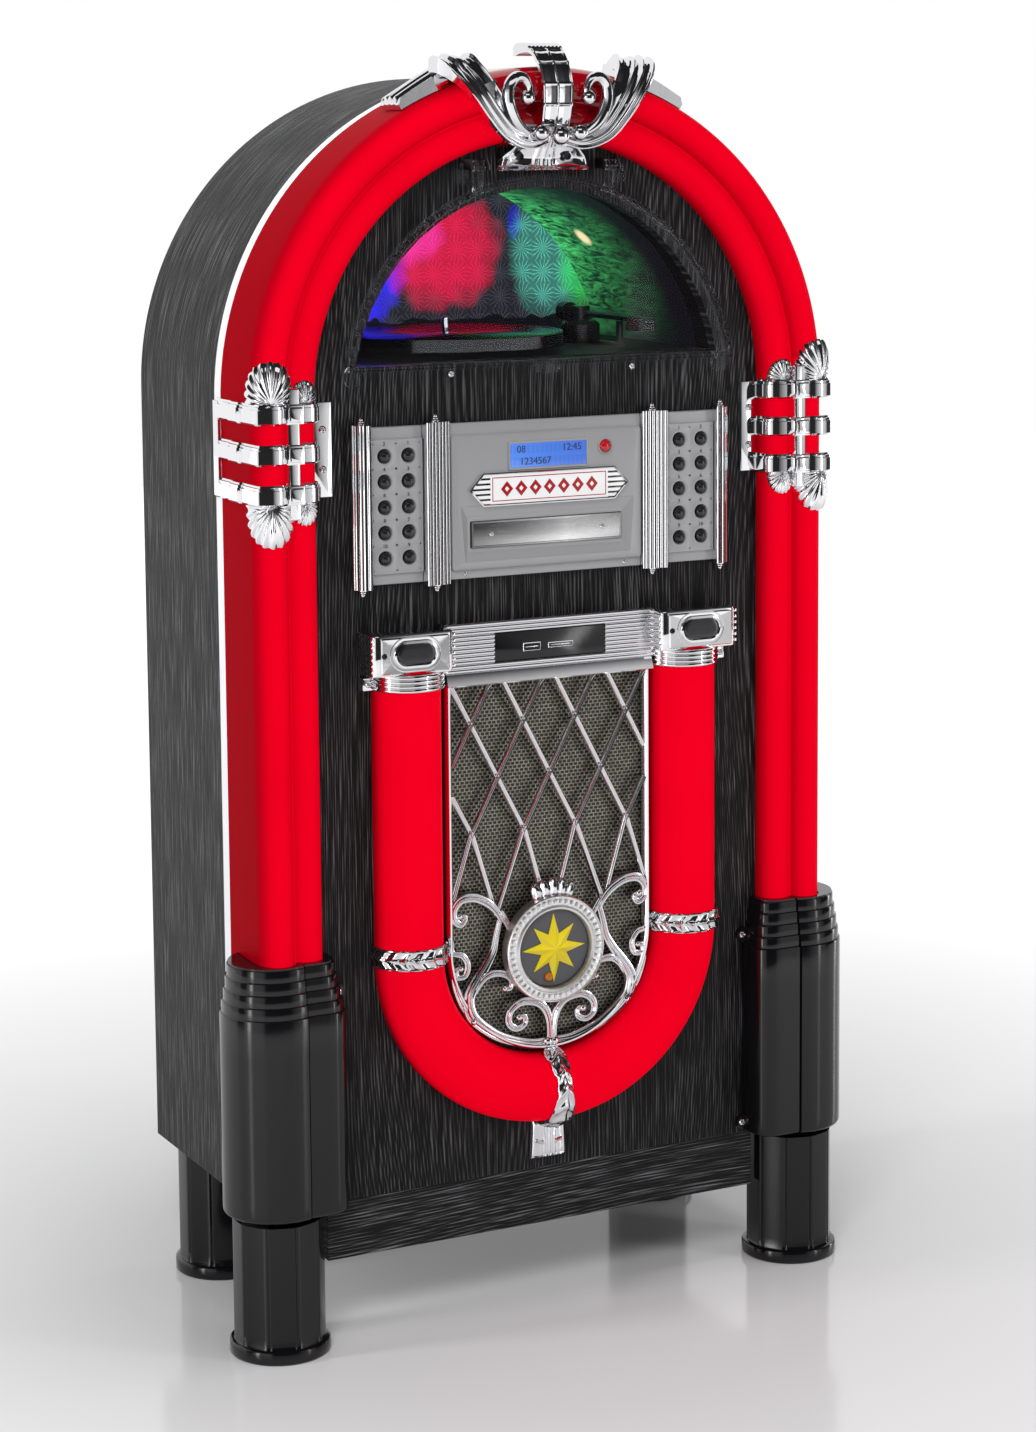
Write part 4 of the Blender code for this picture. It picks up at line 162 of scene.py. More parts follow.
def evenly(line, count):
    """The same line with equal steps."""
    line = np.asarray(line, float)
    total = lengths(line)
    s = np.linspace(0, total[-1], count)
    return np.stack([np.interp(s, total, line[:, 0]), np.interp(s, total, line[:, 1])], -1)


def smooth(points, count):
    """A curve through the given points: cubic pieces whose slopes are taken from the neighbours."""
    p = np.asarray(points, float)
    p = np.concatenate([2 * p[:1] - p[1:2], p, 2 * p[-1:] - p[-2:-1]])
    s = np.linspace(0, len(p) - 3, count)
    k = np.minimum(s.astype(int), len(p) - 4)
    t = (s - k)[:, None]
    a, b, c, d = p[k], p[k + 1], p[k + 2], p[k + 3]
    return b + 0.5 * ((c - a) * t + (2 * a - 5 * b + 4 * c - d) * t**2 + (3 * b - a - 3 * c + d) * t**3)


def frame_of(path, out):
    """Path, side and outward directions: out loses its part along the path, and side = along x out."""
    path = np.asarray(path, float)
    along = unit(np.gradient(path, axis=0))
    out = np.broadcast_to(np.asarray(out, float), path.shape)
    out = unit(out - along * np.sum(out * along, -1, keepdims=True))
    return path[:, None], np.cross(along, out)[:, None], out[:, None]


# %% Sweeps, turned shapes and plates
def sweep(profile, path, out, scale=1.0):
    """Point (i, j) = path i + side i * profile a j + out i * profile b j."""
    path, side, out = frame_of(path, out)
    size = np.broadcast_to(np.asarray(scale, float).reshape(-1, 1, 1), (len(path), 1, 1))
    profile = np.asarray(profile, float)[None] * size
    return patch(path + side * profile[..., :1] + out * profile[..., 1:])


def turned(profile, centre, axis="Z", sides=64):
    """Points (radius, height) turned about an axis: (r cos t, r sin t, h), with the axis as third direction."""
    profile = np.asarray(profile, float)
    t = whole_turn(sides)
    r, h = profile[None, :, 0], profile[None, :, 1]
    x, y = r * np.cos(t)[:, None], r * np.sin(t)[:, None]
    h = np.broadcast_to(h, x.shape)
    order = {"Z": (x, y, h), "Y": (x, h, y), "X": (h, x, y)}[axis]
    return patch(np.stack(order, -1) + np.asarray(centre, float), loop=False, ring=True)


def bead(radius, height, centre, axis="Y", count=13, sides=24):
    """Half an ellipse, (r sin a, -h cos a), turned into a ball."""
    a = np.linspace(0, math.pi, count)
    return turned(np.stack([radius * np.sin(a), -height * np.cos(a)], -1), centre, axis, sides)


def inset(outline, distance):
    """A closed outline moved inwards: each corner goes along the sum of its two edge normals, mitred."""
    p = np.asarray(outline, float)
    edge = unit(np.roll(p, -1, 0) - p)
    normal = np.stack([-edge[:, 1], edge[:, 0]], -1)
    normal *= np.sign(np.sum(p[:, 0] * np.roll(p[:, 1], -1) - p[:, 1] * np.roll(p[:, 0], -1)))
    both = normal + np.roll(normal, 1, 0)
    return p + both / np.maximum(np.sum(both * normal, -1, keepdims=True), 0.3) * distance


def plate(outline, back, front, round_by=0.0008, steps=3):
    """Outline in (x, z) from y = back to y = front, its front edge rounded by a quarter circle."""
    rings = [upright(np.asarray(outline, float), back)]
    for a in np.linspace(0, math.pi / 2, steps + 1):
        y = front + math.copysign(round_by, back - front) * (1 - math.sin(a))
        rings.append(upright(inset(outline, round_by * (1 - math.cos(a))), y))
    return patch(rings)


def rounded(half_x, half_z, radius, centre=(0.0, 0.0), steps=6):
    """Rectangle with quarter-circle corners, counter-clockwise, as (x, z)."""
    corners = []
    for turn, (sx, sz) in enumerate(((1, 1), (-1, 1), (-1, -1), (1, -1))):
        middle = np.array([sx * (half_x - radius), sz * (half_z - radius)])
        corners.append(middle + polar(radius, np.radians(90 * turn + np.linspace(0, 90, steps + 1))))
    return np.concatenate(corners) + np.asarray(centre, float)


def rectangle(x, z, radius=0.001, steps=8):
    """Rounded rectangle from two pairs of limits."""
    return rounded((x[1] - x[0]) / 2, (z[1] - z[0]) / 2, radius, ((x[0] + x[1]) / 2, (z[0] + z[1]) / 2), steps)


def block(x, y, z, round_by=0.0006):
    """A box from three pairs of limits, its front edges rounded."""
    radius = min(round_by, (x[1] - x[0]) / 2, (z[1] - z[0]) / 2) * 0.99
    return plate(rectangle(x, z, radius, 2), max(y), min(y), round_by, 2)


def ring_of(levels):
    """Closed solid from outlines at depths, the last joined to the first."""
    return patch([upright(outline, y) for outline, y in levels], ring=True)


def level(half, low, high, radius, y):
    """An outline for ring_of: a rectangle that is centred in x, at a depth."""
    return rectangle((-half, half), (low, high), radius), y


# %% [markdown]
# ## Finishes
# Each finish is a Principled shader with some detail in its roughness and its height. A field is the output of a
# node, and plain signs between fields add Math nodes, so a pattern reads like its formula. The small helpers add a
# noise on the object's own coordinates, a colour ramp, and a bump.

# %% Fields
class Field:
    """A node's output that takes part in arithmetic."""

    def __init__(self, finish, socket):
        self.finish, self.socket = finish, socket

    def do(self, operation, other=0.0):
        """One Math node on this field: the operation is named as in the node's own menu."""
        made = self.finish.tree.nodes.new("ShaderNodeMath")
        made.operation = operation
        for socket, value in zip(made.inputs, (self, other)):
            self.finish.feed(socket, value)
        return Field(self.finish, made.outputs[0])

    def __add__(self, other):
        return self.do("ADD", other)

    def __sub__(self, other):
        return self.do("SUBTRACT", other)

    def __mul__(self, other):
        return self.do("MULTIPLY", other)

    def __truediv__(self, other):
        return self.do("DIVIDE", other)

    def __pow__(self, other):
        return self.do("POWER", other)

    def __lt__(self, other):
        return self.do("LESS_THAN", other)

    def __gt__(self, other):
        return self.do("GREATER_THAN", other)

    def __abs__(self):
        return self.do("ABSOLUTE")


# %% Finish helpers
class Finish:
    """A material with a Principled shader and short ways to add nodes."""

    def __init__(self, name, colour, rough, metal=0.0, **sockets):
        self.material = bpy.data.materials.new(name)
        self.material.use_nodes = True
        self.tree = self.material.node_tree
        self.shader = next(n for n in self.tree.nodes if n.type == "BSDF_PRINCIPLED")
        self.set(Base_Color=colour, Roughness=rough, Metallic=metal, **sockets)

    def set(self, **sockets):
        """Gives sockets of the shader a value or a field."""
        for label, value in sockets.items():
            self.feed(self.shader.inputs[label.replace("_", " ")], value)

    def feed(self, socket, value):
        """Links a socket to a field or to another socket, or writes a plain value on it."""
        if isinstance(value, Field):
            value = value.socket
        if isinstance(value, bpy.types.NodeSocket):
            self.tree.links.new(value, socket)
        else:
            socket.default_value = (*value, 1.0) if socket.type == "RGBA" else value

    def node(self, kind, **values):
        """Adds a node: a value whose name is an input feeds it, any other is a setting."""
        made = self.tree.nodes.new(kind)
        for label, value in values.items():
            if label in made.inputs:
                self.feed(made.inputs[label], value)
            else:
                setattr(made, label, value)
        return made

    def field(self, output, kind, **values):
        """One output of a new node, as a field."""
        return Field(self, self.node(kind, **values).outputs[output])

    def place(self):
        """The object's own coordinates, in metres."""
        return self.field("Object", "ShaderNodeTexCoord")

    def xyz(self):
        """The three coordinates of the object."""
        apart = self.node("ShaderNodeSeparateXYZ", Vector=self.place())
        return [Field(self, out) for out in apart.outputs]

    def carried(self, label):
        """A number that the mesh carries at each point."""
        return self.field("Fac", "ShaderNodeAttribute", attribute_name=label)

    def stretched(self, scale):
        """The coordinates, each multiplied by its own scale."""
        return self.field("Vector", "ShaderNodeMapping", Vector=self.place(), Scale=scale)

    def noise(self, scale, detail=2.0, rough=0.5, warp=0.0, where=None):
        """Smooth noise between 0 and 1: scale is the number of its cells in a metre."""
        return self.field("Fac", "ShaderNodeTexNoise", Vector=where or self.place(), Scale=scale, Detail=detail,
                          Roughness=rough, Distortion=warp)

    def ramp(self, value, *stops):
        """Colour ramp with stops of (place, grey or colour)."""
        made = self.node("ShaderNodeValToRGB", Fac=value)
        points = made.color_ramp.elements
        while len(points) < len(stops):
            points.new(0.5)
        for point, (place, colour) in zip(points, stops):
            point.position = place
            point.color = (colour, colour, colour, 1) if isinstance(colour, (int, float)) else (*colour, 1)
        return Field(self, made.outputs["Color"])

    def mix(self, share, a, b):
        """Colour a where the share is 0 and colour b where it is 1."""
        made = self.node("ShaderNodeMix", data_type="RGBA")
        for label, value in (("Factor", share), ("A", a), ("B", b)):
            self.feed(made.inputs[label], value)
        return Field(self, made.outputs["Result"])

    def bump(self, height, depth, strength=1.0):
        """Tilts the normal as if a height of 1 stood out by the depth, in metres."""
        self.set(Normal=self.field("Normal", "ShaderNodeBump", Height=height, Distance=depth, Strength=strength))

    def worn(self, low, high, scale=60.0):
        """Roughness that wanders between two values, with a slow noise."""
        self.set(Roughness=self.noise(scale, 3.0) * (high - low) + low)
        return self.material


# %% [markdown]
# ## Wood-grain foil
# The cabinet is covered with a black foil that is embossed like open-pored ash. A slow noise bends fine lines into
# long arches, and a stretched noise breaks them into pores. The grain runs up the panel and the sides, and along the
# board under the door.

# %% Wood-grain foil
def wood_foil(name, axes, painted_light_level, figure):
    """Grain = sine of (across + slow noise), times stretched pores. axes gives both directions in metres."""
    # painted_light_level lightens copies of one foil: painted light, not a different foil.
    foil = Finish(name, (0.01, 0.01, 0.01), 0.4, Specular_IOR_Level=0.16)
    u, v = axes(foil)

    def spread(a, b, *settings):
        """Noise with a cells in a metre across the grain and b along it."""
        return foil.noise(1.0, *settings, where=foil.field(0, "ShaderNodeCombineXYZ", X=u * a, Y=v * b))

    bend = spread(6.0, 1.3, 1.0, 0.4) * (0.110 * figure)
    lines = ((u + bend) * 2050.0).do("SINE")
    deep = foil.ramp(lines * 0.075 + spread(700.0, 16.0, 3.0, 0.6), (0.47, 0.0), (0.55, 0.20), (0.68, 1.0))
    dark, pale, cloud = (0.0022 * painted_light_level,) * 3, (0.090 * painted_light_level, 0.090 * painted_light_level, 0.095 * painted_light_level), (0.008 * painted_light_level,) * 3
    foil.set(Base_Color=foil.mix(spread(30.0, 3.0) * 0.35, foil.mix(deep, dark, pale), cloud),
             Roughness=deep * -0.22 + 0.52)
    foil.bump(deep, 0.0007)
    return foil.material


# The one foil at three levels: 1.25 on the front, lighter on the sides as painted sheen, much lighter on the low
# board as painted light from the floor.
FRONT_FOIL = wood_foil("front_foil", lambda foil: foil.xyz()[::2], 1.25, 1.6)
SIDE_FOIL = wood_foil("side_foil", lambda foil: (foil.carried("across"), foil.carried("along")), 1.5, 0.25)
RAIL_FOIL = wood_foil("rail_foil", lambda foil: foil.xyz()[::-2], 2.2, 1.0)
print("foils: 3")

# %% [markdown]
# ## Chrome, plastics and the lit red tube
# Chromed plastic is a mirror with a faint ripple. The silver panel is paint with a fine metallic grain. The lit tube
# is a red diffuser with lamps behind it: it glows, most in the middle of each lobe, and the glow follows the number
# that each point carries across the profile. Its fall to the edges and into the groove is painted shade.

# %% Chrome and plastics
def chrome(name, grey=(0.80, 0.80, 0.82), rough=0.045, ripple=0.00003):
    """A metal mirror with a ripple, its roughness between 0.6 and 1.8 times the given one."""
    plated = Finish(name, grey, rough, 1.0)
    plated.bump(plated.noise(95.0), ripple, 0.7)
    return plated.worn(rough * 0.6, rough * 1.8, 40.0)


def plastic(name, colour, low, high, grain=900.0, depth=0.00003, **sockets):
    """A coloured plastic with a fine grain, its roughness between low and high."""
    moulded = Finish(name, colour, low, **sockets)
    moulded.bump(moulded.noise(grain), depth, 0.6)
    return moulded.worn(low, high)


CHROME = chrome("chrome", (0.86, 0.86, 0.88))
CAST_CHROME = chrome("cast_chrome", rough=0.06, ripple=0.00015)
SATIN_CHROME = chrome("satin_chrome", rough=0.20, ripple=0.00005)
PEARL = chrome("pearl_ring", (0.90, 0.90, 0.90), 0.34)
BLACK_GLOSS = plastic("black_gloss", (0.004, 0.004, 0.005), 0.08, 0.16, 160.0, 0.00004, Specular_IOR_Level=0.42)
BLACK_SATIN = plastic("black_satin", (0.010, 0.010, 0.011), 0.35, 0.55)
SILVER_PAINT = plastic("silver_paint", (0.33, 0.33, 0.34), 0.30, 0.42, 2600.0, 0.00002, metal=0.25,
                       Specular_IOR_Level=0.5)
WHITE_STRIP = plastic("white_strip", (0.80, 0.80, 0.82), 0.25, 0.40)
DARK_BOARD = plastic("dark_board", (0.012, 0.012, 0.012), 0.6, 0.8)
LENS_RED = plastic("lens_red", (0.24, 0.0, 0.004), 0.04, 0.08, 40.0, 0.0002, Coat_Weight=0.3, Specular_IOR_Level=0.5)


def lit_red(name, glow, *glow_and_edge_shade_stops):
    """Red diffuser: glow = ramp over the carried number across (low end: painted edge shade), times slow unevenness
    along.
    """
    tube = Finish(name, (0.22, 0.0, 0.004), 0.34, Specular_IOR_Level=0.004)
    glow_with_painted_edge_shade = tube.ramp(tube.carried("across"), *glow_and_edge_shade_stops) * (tube.noise(14.0, 1.0) * 0.22 + 0.89)
    tube.set(Emission_Color=tube.mix(glow_with_painted_edge_shade, (0.05, 0.0, 0.0), (1.0, 0.0, 0.016)), Emission_Strength=glow)
    tube.bump(tube.noise(30.0), 0.0002, 0.3)
    return tube.material


print("finishes:", len(bpy.data.materials))

# %% [markdown]
# ## Camera, ground and light
# The camera stands to the viewer's left of the front, a little above the middle, with a long lens. The background
# is white. A pale glossy ground carries the reflections of the feet, and fades into the background with distance.

# %% Camera
TARGET = Vector((-0.0222, PANEL, 0.6636))
AZIMUTH, ELEVATION, ROLL, DISTANCE = math.radians(-27.0), math.radians(6.922), math.radians(-0.4465), 2.5526
LENS_MM, FRAME_MM, HORIZON_SHIFT = 78.56, 36.0, (520.0 - 716.0) / 1432.0
level_way = math.cos(ELEVATION)
back = Vector((math.sin(AZIMUTH) * level_way, -math.cos(AZIMUTH) * level_way, math.sin(ELEVATION)))
lens = bpy.data.cameras.new("camera")
lens.sensor_fit, lens.sensor_height, lens.lens, lens.shift_y = "VERTICAL", FRAME_MM, LENS_MM, HORIZON_SHIFT
camera = link(bpy.data.objects.new("camera", lens))
turn = back.to_track_quat("Z", "Y").to_matrix() @ Matrix.Rotation(ROLL, 3, "Z")
camera.matrix_world = Matrix.Translation(TARGET + back * DISTANCE) @ turn.to_4x4()
bpy.context.scene.camera = camera
bpy.context.scene.view_settings.view_transform = "Standard"
print("camera at", [round(x, 3) for x in camera.matrix_world.translation])

# %% White surroundings
LIT_LEVEL, SEEN_LEVEL = 0.34, 1.0
world = bpy.context.scene.world = bpy.data.worlds.new("studio")
world.use_nodes = True
nodes, links = world.node_tree.nodes, world.node_tree.links
white = next(n for n in nodes if n.type == "BACKGROUND")
white.inputs["Color"].default_value = (1.0, 1.0, 1.0, 1.0)
rays = nodes.new("ShaderNodeLightPath")
seen = rays.outputs["Is Camera Ray"]
for other in ("Is Transmission Ray", "Is Glossy Ray"):
    either = nodes.new("ShaderNodeMath")
    either.operation = "MAXIMUM"
    links.new(seen, either.inputs[0])
    links.new(rays.outputs[other], either.inputs[1])
    seen = either.outputs[0]
strength = nodes.new("ShaderNodeMapRange")
strength.inputs["To Min"].default_value = LIT_LEVEL
strength.inputs["To Max"].default_value = SEEN_LEVEL
links.new(seen, strength.inputs["Value"])
links.new(strength.outputs[0], white.inputs["Strength"])
print("world: white, with less light than it shows")


# %% Ground, lamps and the studio wall
def staged(name, points, quads, material):
    """A mesh that belongs to the stage, not to the object."""
    mesh = bpy.data.meshes.new(name)
    mesh.from_pydata(points, [], quads)
    mesh.materials.append(material)
    thing = link(bpy.data.objects.new(name, mesh))
    return thing


def ground(size=6.0):
    """Flat square at z = 0, pale and glossy, that turns plain white away from the middle."""
    pale = Finish("ground_paint", (0.62, 0.62, 0.63), 0.12, Specular_IOR_Level=0.35)
    away = pale.field("Value", "ShaderNodeVectorMath", operation="LENGTH", Vector=pale.place())
    fade = pale.ramp(away * 0.5, (0.16, 0.0), (0.75, 1.0))
    pale.set(Emission_Color=(1.0, 1.0, 1.0), Emission_Strength=fade * 0.75,
             Base_Color=pale.mix(fade, (0.62, 0.62, 0.63), (0.25, 0.25, 0.25)),
             Roughness=pale.noise(6.0) * 0.06 + 0.10)
    corners = [(-size, -size, 0), (size, -size, 0), (size, size, 0), (-size, size, 0)]
    staged("ground", corners, [(0, 1, 2, 3)], pale.material)


def lamp(name, place, aim_z, size, energy):
    """Rectangular lamp that looks at a point over the middle."""
    light = bpy.data.lights.new(name, "AREA")
    light.shape, light.size, light.size_y = "RECTANGLE", size[0], size[1]
    light.energy = energy
    thing = link(bpy.data.objects.new(name, light))
    way = Vector(place) - Vector((0, 0, aim_z))
    thing.matrix_world = Matrix.Translation(place) @ way.to_track_quat("Z", "Y").to_matrix().to_4x4()
    thing.visible_camera = thing.visible_glossy = False


# The stops of the dome are (share of the turn from left to right, level), and (share of the height, level).
BANDS = ((0.17, 0.9), (0.215, 0.9), (0.225, 0.05), (0.262, 0.05), (0.272, 0.95), (0.345, 0.9), (0.375, 0.70),
         (0.388, 0.02), (0.535, 0.02), (0.560, 0.35), (0.600, 0.75), (0.650, 0.55), (0.668, 0.03), (0.735, 0.04),
         (0.745, 1.0), (0.775, 1.0), (0.790, 0.05), (0.83, 0.40))
STRIPS = ((0.286, 0.0), (0.290, 1.0), (0.304, 1.0), (0.308, 0.0), (0.606, 0.0), (0.609, 1.0), (0.618, 1.0),
          (0.621, 0.0), (0.745, 0.0), (0.749, 1.0), (0.760, 1.0), (0.764, 0.0))
DIMMER_UP = ((0.0, 1.0), (0.42, 1.0), (0.58, 0.12), (1.0, 0.0))


def studio(radius=3.4, columns=60, rows=24):
    """Part of a dome round the front that only mirrors see: bright fields by azimuth, dimmer upwards, a top box."""
    a = np.radians(np.linspace(-120, 120, columns + 1))[None, :]
    e = np.radians(np.linspace(-10, 86, rows + 1))[:, None]
    dome = [radius * np.sin(a) * np.cos(e), -radius * np.cos(a) * np.cos(e), 0.5 + radius * np.sin(e) + 0 * a]
    cloth = Finish("studio_cloth", (0.0, 0.0, 0.0), 1.0, Specular_IOR_Level=0.0)
    x, y, z = cloth.xyz()
    share = x.do("ARCTAN2", y * -1.0) / math.pi * 0.5 + 0.5
    high = z / radius
    lit = cloth.mix(cloth.ramp(high, *DIMMER_UP), (0.015, 0.015, 0.017), cloth.ramp(share, *BANDS))
    box = (cloth.ramp(share, (0.34, 0.0), (0.36, 1.0), (0.50, 1.0), (0.52, 0.0))
           * cloth.ramp(high, (0.72, 0.0), (0.75, 1.0), (0.90, 1.0), (0.93, 0.0)))
    strips = cloth.ramp(share, *STRIPS) * cloth.ramp(high, (0.30, 1.0), (0.45, 0.0))
    cloth.set(Emission_Color=cloth.mix(box, lit, (1.0, 1.0, 1.0)), Emission_Strength=strips * 7.0 + 1.0)
    points, quads = patch(np.stack(dome, -1), loop=False, caps=False)[:2]
    wall = staged("studio_wall", points.tolist(), quads, cloth.material)
    wall.visible_camera = wall.visible_diffuse = wall.visible_shadow = wall.visible_transmission = False


ground()
studio()
lamp("key", (-1.6, -2.2, 2.4), 0.6, (1.0, 1.0), 50.0)
lamp("fill", (2.0, -2.2, 1.6), 0.5, (0.5, 1.4), 16.0)
lamp("top", (0.2, -0.3, 3.0), 0.5, (1.4, 0.8), 30.0)
lamp("strip", (-2.6, 0.2, 1.6), 0.8, (0.4, 1.2), 26.0)
print("ground, wall and lamps in place")

# %% [markdown]
# ## The lit arch
# Its outline has a small lobe, a groove and a large lobe, which are parts of two ellipses that meet in the groove,
# and a flat side that wraps the cabinet's edge. The outline is given as radius and depth. It goes up one leg, over
# the half circle and down the other leg, so one function serves the tube, the rim and the cabinet's own board.

# %% Outline of the arch
ARCH_Z, RIM, GROOVE, TUBE_LOW, ON_PANEL = 0.768, 0.260, 0.2312, 0.293, -0.0003
LOBES = ((0.21896, 0.01446, 0.016, -0.003), (0.2452, 0.0148, 0.020, -0.005))


def lobes(swell=0.0, back_y=0.0515, count=26):
    """Two ellipses (centre + a cos t, y - b sin t), each kept on its own side of the groove, then the flat side."""
    t = np.linspace(np.pi, 0, count)
    (ci, ai, bi, yi), (co, ao, bo, yo) = LOBES
    inner = np.stack([ci + (ai + swell) * np.cos(t), yi - (bi + swell) * np.sin(t)], -1)
    outer = np.stack([co + (ao + swell) * np.cos(t), yo - (bo + swell) * np.sin(t)], -1)
    inner, outer = inner[inner[:, 0] < GROOVE - 0.0006], outer[outer[:, 0] > GROOVE + 0.0006]
    low = yo - (bo + swell) * math.sin(math.acos(max(-1.0, (GROOVE - co) / (ao + swell))))
    return np.concatenate([[(ci - ai - swell, ON_PANEL)], inner, [(GROOVE, low)], outer, [(RIM + swell, back_y)]])


def arched(profile, middle, angles, leg):
    """(r, y) to (r cos a, y, middle + r sin a) over the half circle, and to (+-r, y, z) along both legs."""
    profile = np.asarray(profile, float)
    cos = np.concatenate([-np.ones(len(leg)), np.cos(angles), np.ones(len(leg))])[:, None]
    sin = np.concatenate([np.zeros(len(leg)), np.sin(angles), np.zeros(len(leg))])[:, None]
    z = np.concatenate([leg, np.full(len(angles), middle), leg[::-1]])[:, None]
    r = profile[None, :, 0]
    return np.stack([cos * r, np.broadcast_to(profile[None, :, 1], (len(z), len(profile))), z + sin * r], -1)


def arch(profile, low):
    """The outline up a leg, over the arch and down, with the length along it for the finish."""
    angles, leg = np.radians(np.linspace(180, 0, 97)), np.linspace(low, ARCH_Z, 12, endpoint=False)
    grid = arched(profile, ARCH_Z, angles, leg)
    step = np.linalg.norm(np.diff(grid.mean(1), axis=0), axis=-1)
    return grid, np.concatenate([[0.0], np.cumsum(step)])[:, None]


def facing(profile):
    """How squarely each point of an outline faces the front: 1 on a crest, 0 on an upright side; it paints shade on
    the tubes.
    """
    d = np.gradient(np.asarray(profile, float), axis=0)
    return np.abs(d[:, 0]) / np.maximum(np.hypot(d[:, 0], d[:, 1]), 1e-9)


# %% Lit arch, dark cover, white rim and the bent board
LIT_RED = lit_red("lit_red", 0.66, (0.0, 0.10), (0.35, 0.34), (0.70, 0.80), (1.0, 1.0))
outline = lobes()
grid, along = arch(np.concatenate([outline, [(0.2578, 0.0515), (0.2578, ON_PANEL)]]), TUBE_LOW)
# Glow across the profile: full where it faces the front, painted shade where it turns upright at the edges and the
# groove.
glow = np.concatenate([facing(outline), [0.0, 0.0]])
piece("lit_arch", [patch(grid, across=glow, along=along)], LIT_RED, replaces="arch_tube")

cover = np.concatenate([lobes(0.0025, 0.050), lobes(0.0003, 0.050)[::-1]])
grid = arched(cover, ARCH_Z, np.radians(np.linspace(109.3, 70.7, 41)), np.zeros(0))
height = grid[..., 2] - ARCH_Z
radius = np.hypot(grid[..., 0], height)
turn = np.arctan2(grid[..., 0], height) * np.interp(radius, (0.2050, 0.2600), (0.56, 0.92))
grid[..., 0], grid[..., 2] = radius * np.sin(turn), ARCH_Z + radius * np.cos(turn)
piece("top_lens", [patch(grid)], LENS_RED, replaces="crown_lens")

strip = [(0.2577, 0.0520), (0.2590, 0.0518), (0.2597, 0.0524), (0.2597, 0.0652), (0.2590, 0.0658), (0.2577, 0.0656)]
piece("white_rim", [patch(arch(strip, TUBE_LOW)[0])], WHITE_STRIP, replaces="rim_trim")
board = np.array([(0.2455, 0.0123), (0.2532, 0.0123), (0.2532, 0.0663), (0.2570, 0.0663), (0.2575, 0.0668),
                  (0.2575, 0.12), (0.2575, 0.18), (0.2575, 0.2390), (0.2565, 0.2400), (0.2455, 0.2400)])
grid, along = arch(board, 0.115)
piece("bent_board", [patch(grid, across=board[:, 1], along=along)], SIDE_FOIL,
      replaces="cabinet_shell")

# %% [markdown]
# ## Panels that keep their solid shape
# The front panel, the board under it and the back are flat boards whose solids are already right, so they only get
# a finish: foil on the front and the low board, a dark board on the back. The grain of the front runs up, and that of
# the low board runs across.

# %% Boards
WELL_BLACK = plastic("well_black", (0.0015, 0.0015, 0.0018), 0.5, 0.7, Specular_IOR_Level=0.12)
DRESSED = ((FRONT_FOIL, "front_baffle"), (RAIL_FOIL, "bottom_rail"), (DARK_BOARD, "bottom_board", "rear_cover"),
           (BLACK_SATIN, "speaker", "circuit_board", "platter_motor", "cd_drive"),
           (WELL_BLACK, "turntable_well", "turntable_deck"), (BLACK_GLOSS, "tonearm", "tonearm_base"))
for material, *names in DRESSED:
    for name in names:
        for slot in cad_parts[name].material_slots:
            slot.link = "OBJECT"
            slot.material = material
print("boards dressed")

# %% [markdown]
# ## Feet and their shrouds
# A foot is a column with ten flat sides, parted by fine grooves, on a plain ring. Its radius is that of a regular
# ten-sided shape with a groove pressed in at each corner. The shroud is an outline in plan that wraps the cabinet's
# corner, carried up with a rounded lower edge and a collar of steps.

# %% Feet
def foot_grid(x, y, top, sides=160):
    """Radius = flat side / cos(angle to the side's middle), minus a narrow groove at each corner."""
    t = whole_turn(sides)
    part = math.tau / 10
    off = (t + part / 2) % part - part / 2
    corner = np.abs(np.abs(off) - part / 2)
    column = 0.0372 * math.cos(part / 2) ** 0.6 / np.cos(off) ** 0.8 - 0.0014 * bell(corner, 0, 0.028)
    ring = np.full(sides, 0.0410)
    rows = [(0.0, ring - 0.0016), (0.0006, ring - 0.0005), (0.0016, ring), (0.0094, ring), (0.0104, ring - 0.0005),
            (0.0110, ring - 0.0018), (0.0112, column + 0.0006), (0.0124, column)]
    rows += [(z, column) for z in np.linspace(0.02, top, 8)]
    return patch([laid(polar(r, t) + (x, y), z) for z, r in rows])


for end, x, y, top in (("front", 0.2420, 0.005, 0.112), ("back", 0.2125, 0.204, 0.1145)):
    for word, side in SIDES:
        node = f"foot_{end}_{word}"
        piece(node + "_column", [foot_grid(side * x, y, top)], BLACK_GLOSS, replaces=node)


# %% Screws
def screw(x, y, z, radius):
    """Pan head with a cross: its face sinks where either of two crossed bars of the recess lies."""
    t = whole_turn(32)
    rows = []
    for share, rise in ((0.0, 0.30), (0.2, 0.30), (0.32, 0.32), (0.36, 0.42), (0.7, 0.36), (0.92, 0.20), (1.0, 0.0)):
        arm = np.minimum(np.abs(np.cos(t)), np.abs(np.sin(t))) * share
        sunk = ((arm < 0.10) & (share < 0.62)) * 0.30
        rows.append(upright(polar(radius * share, t) + (x, z), y - radius * (rise * 1.2 - sunk)))
    return patch([*rows, upright(polar(radius, t) + (x, z), y + 0.0004)])


def screws(name, places, radius, material=SATIN_CHROME, body="cabinet"):
    """One screw at each place, numbered from 1."""
    for k, place in enumerate(places):
        piece(f"{name}_{k + 1}", [screw(*place, radius)], material, body)


# %% Shrouds
def shroud_outline(grow):
    """Plan outline in (x, y): a flat inner lobe with a round corner, a seam, and three quarters of a circle."""
    r, edge, low, turn = 0.0430 - grow, 0.1912 + grow, -0.0342 + grow, 0.016
    corner = polar(turn, np.radians(np.linspace(180, 270, 8))) + (edge + turn, low + turn)
    seam, stop = math.acos((0.2435 - 0.2300) / r), math.acos((0.2603 - 0.2435) / r)
    big_lobe = polar(r, np.linspace(math.pi + seam, math.tau + stop, 22)) + (0.2435, 0.005)
    flat = np.stack([np.linspace(edge + turn, 0.2286, 6)[1:], np.full(5, low)], -1)
    return np.concatenate([[(edge, ON_PANEL)], corner, flat, [(0.2296, low + 0.0022)], big_lobe])


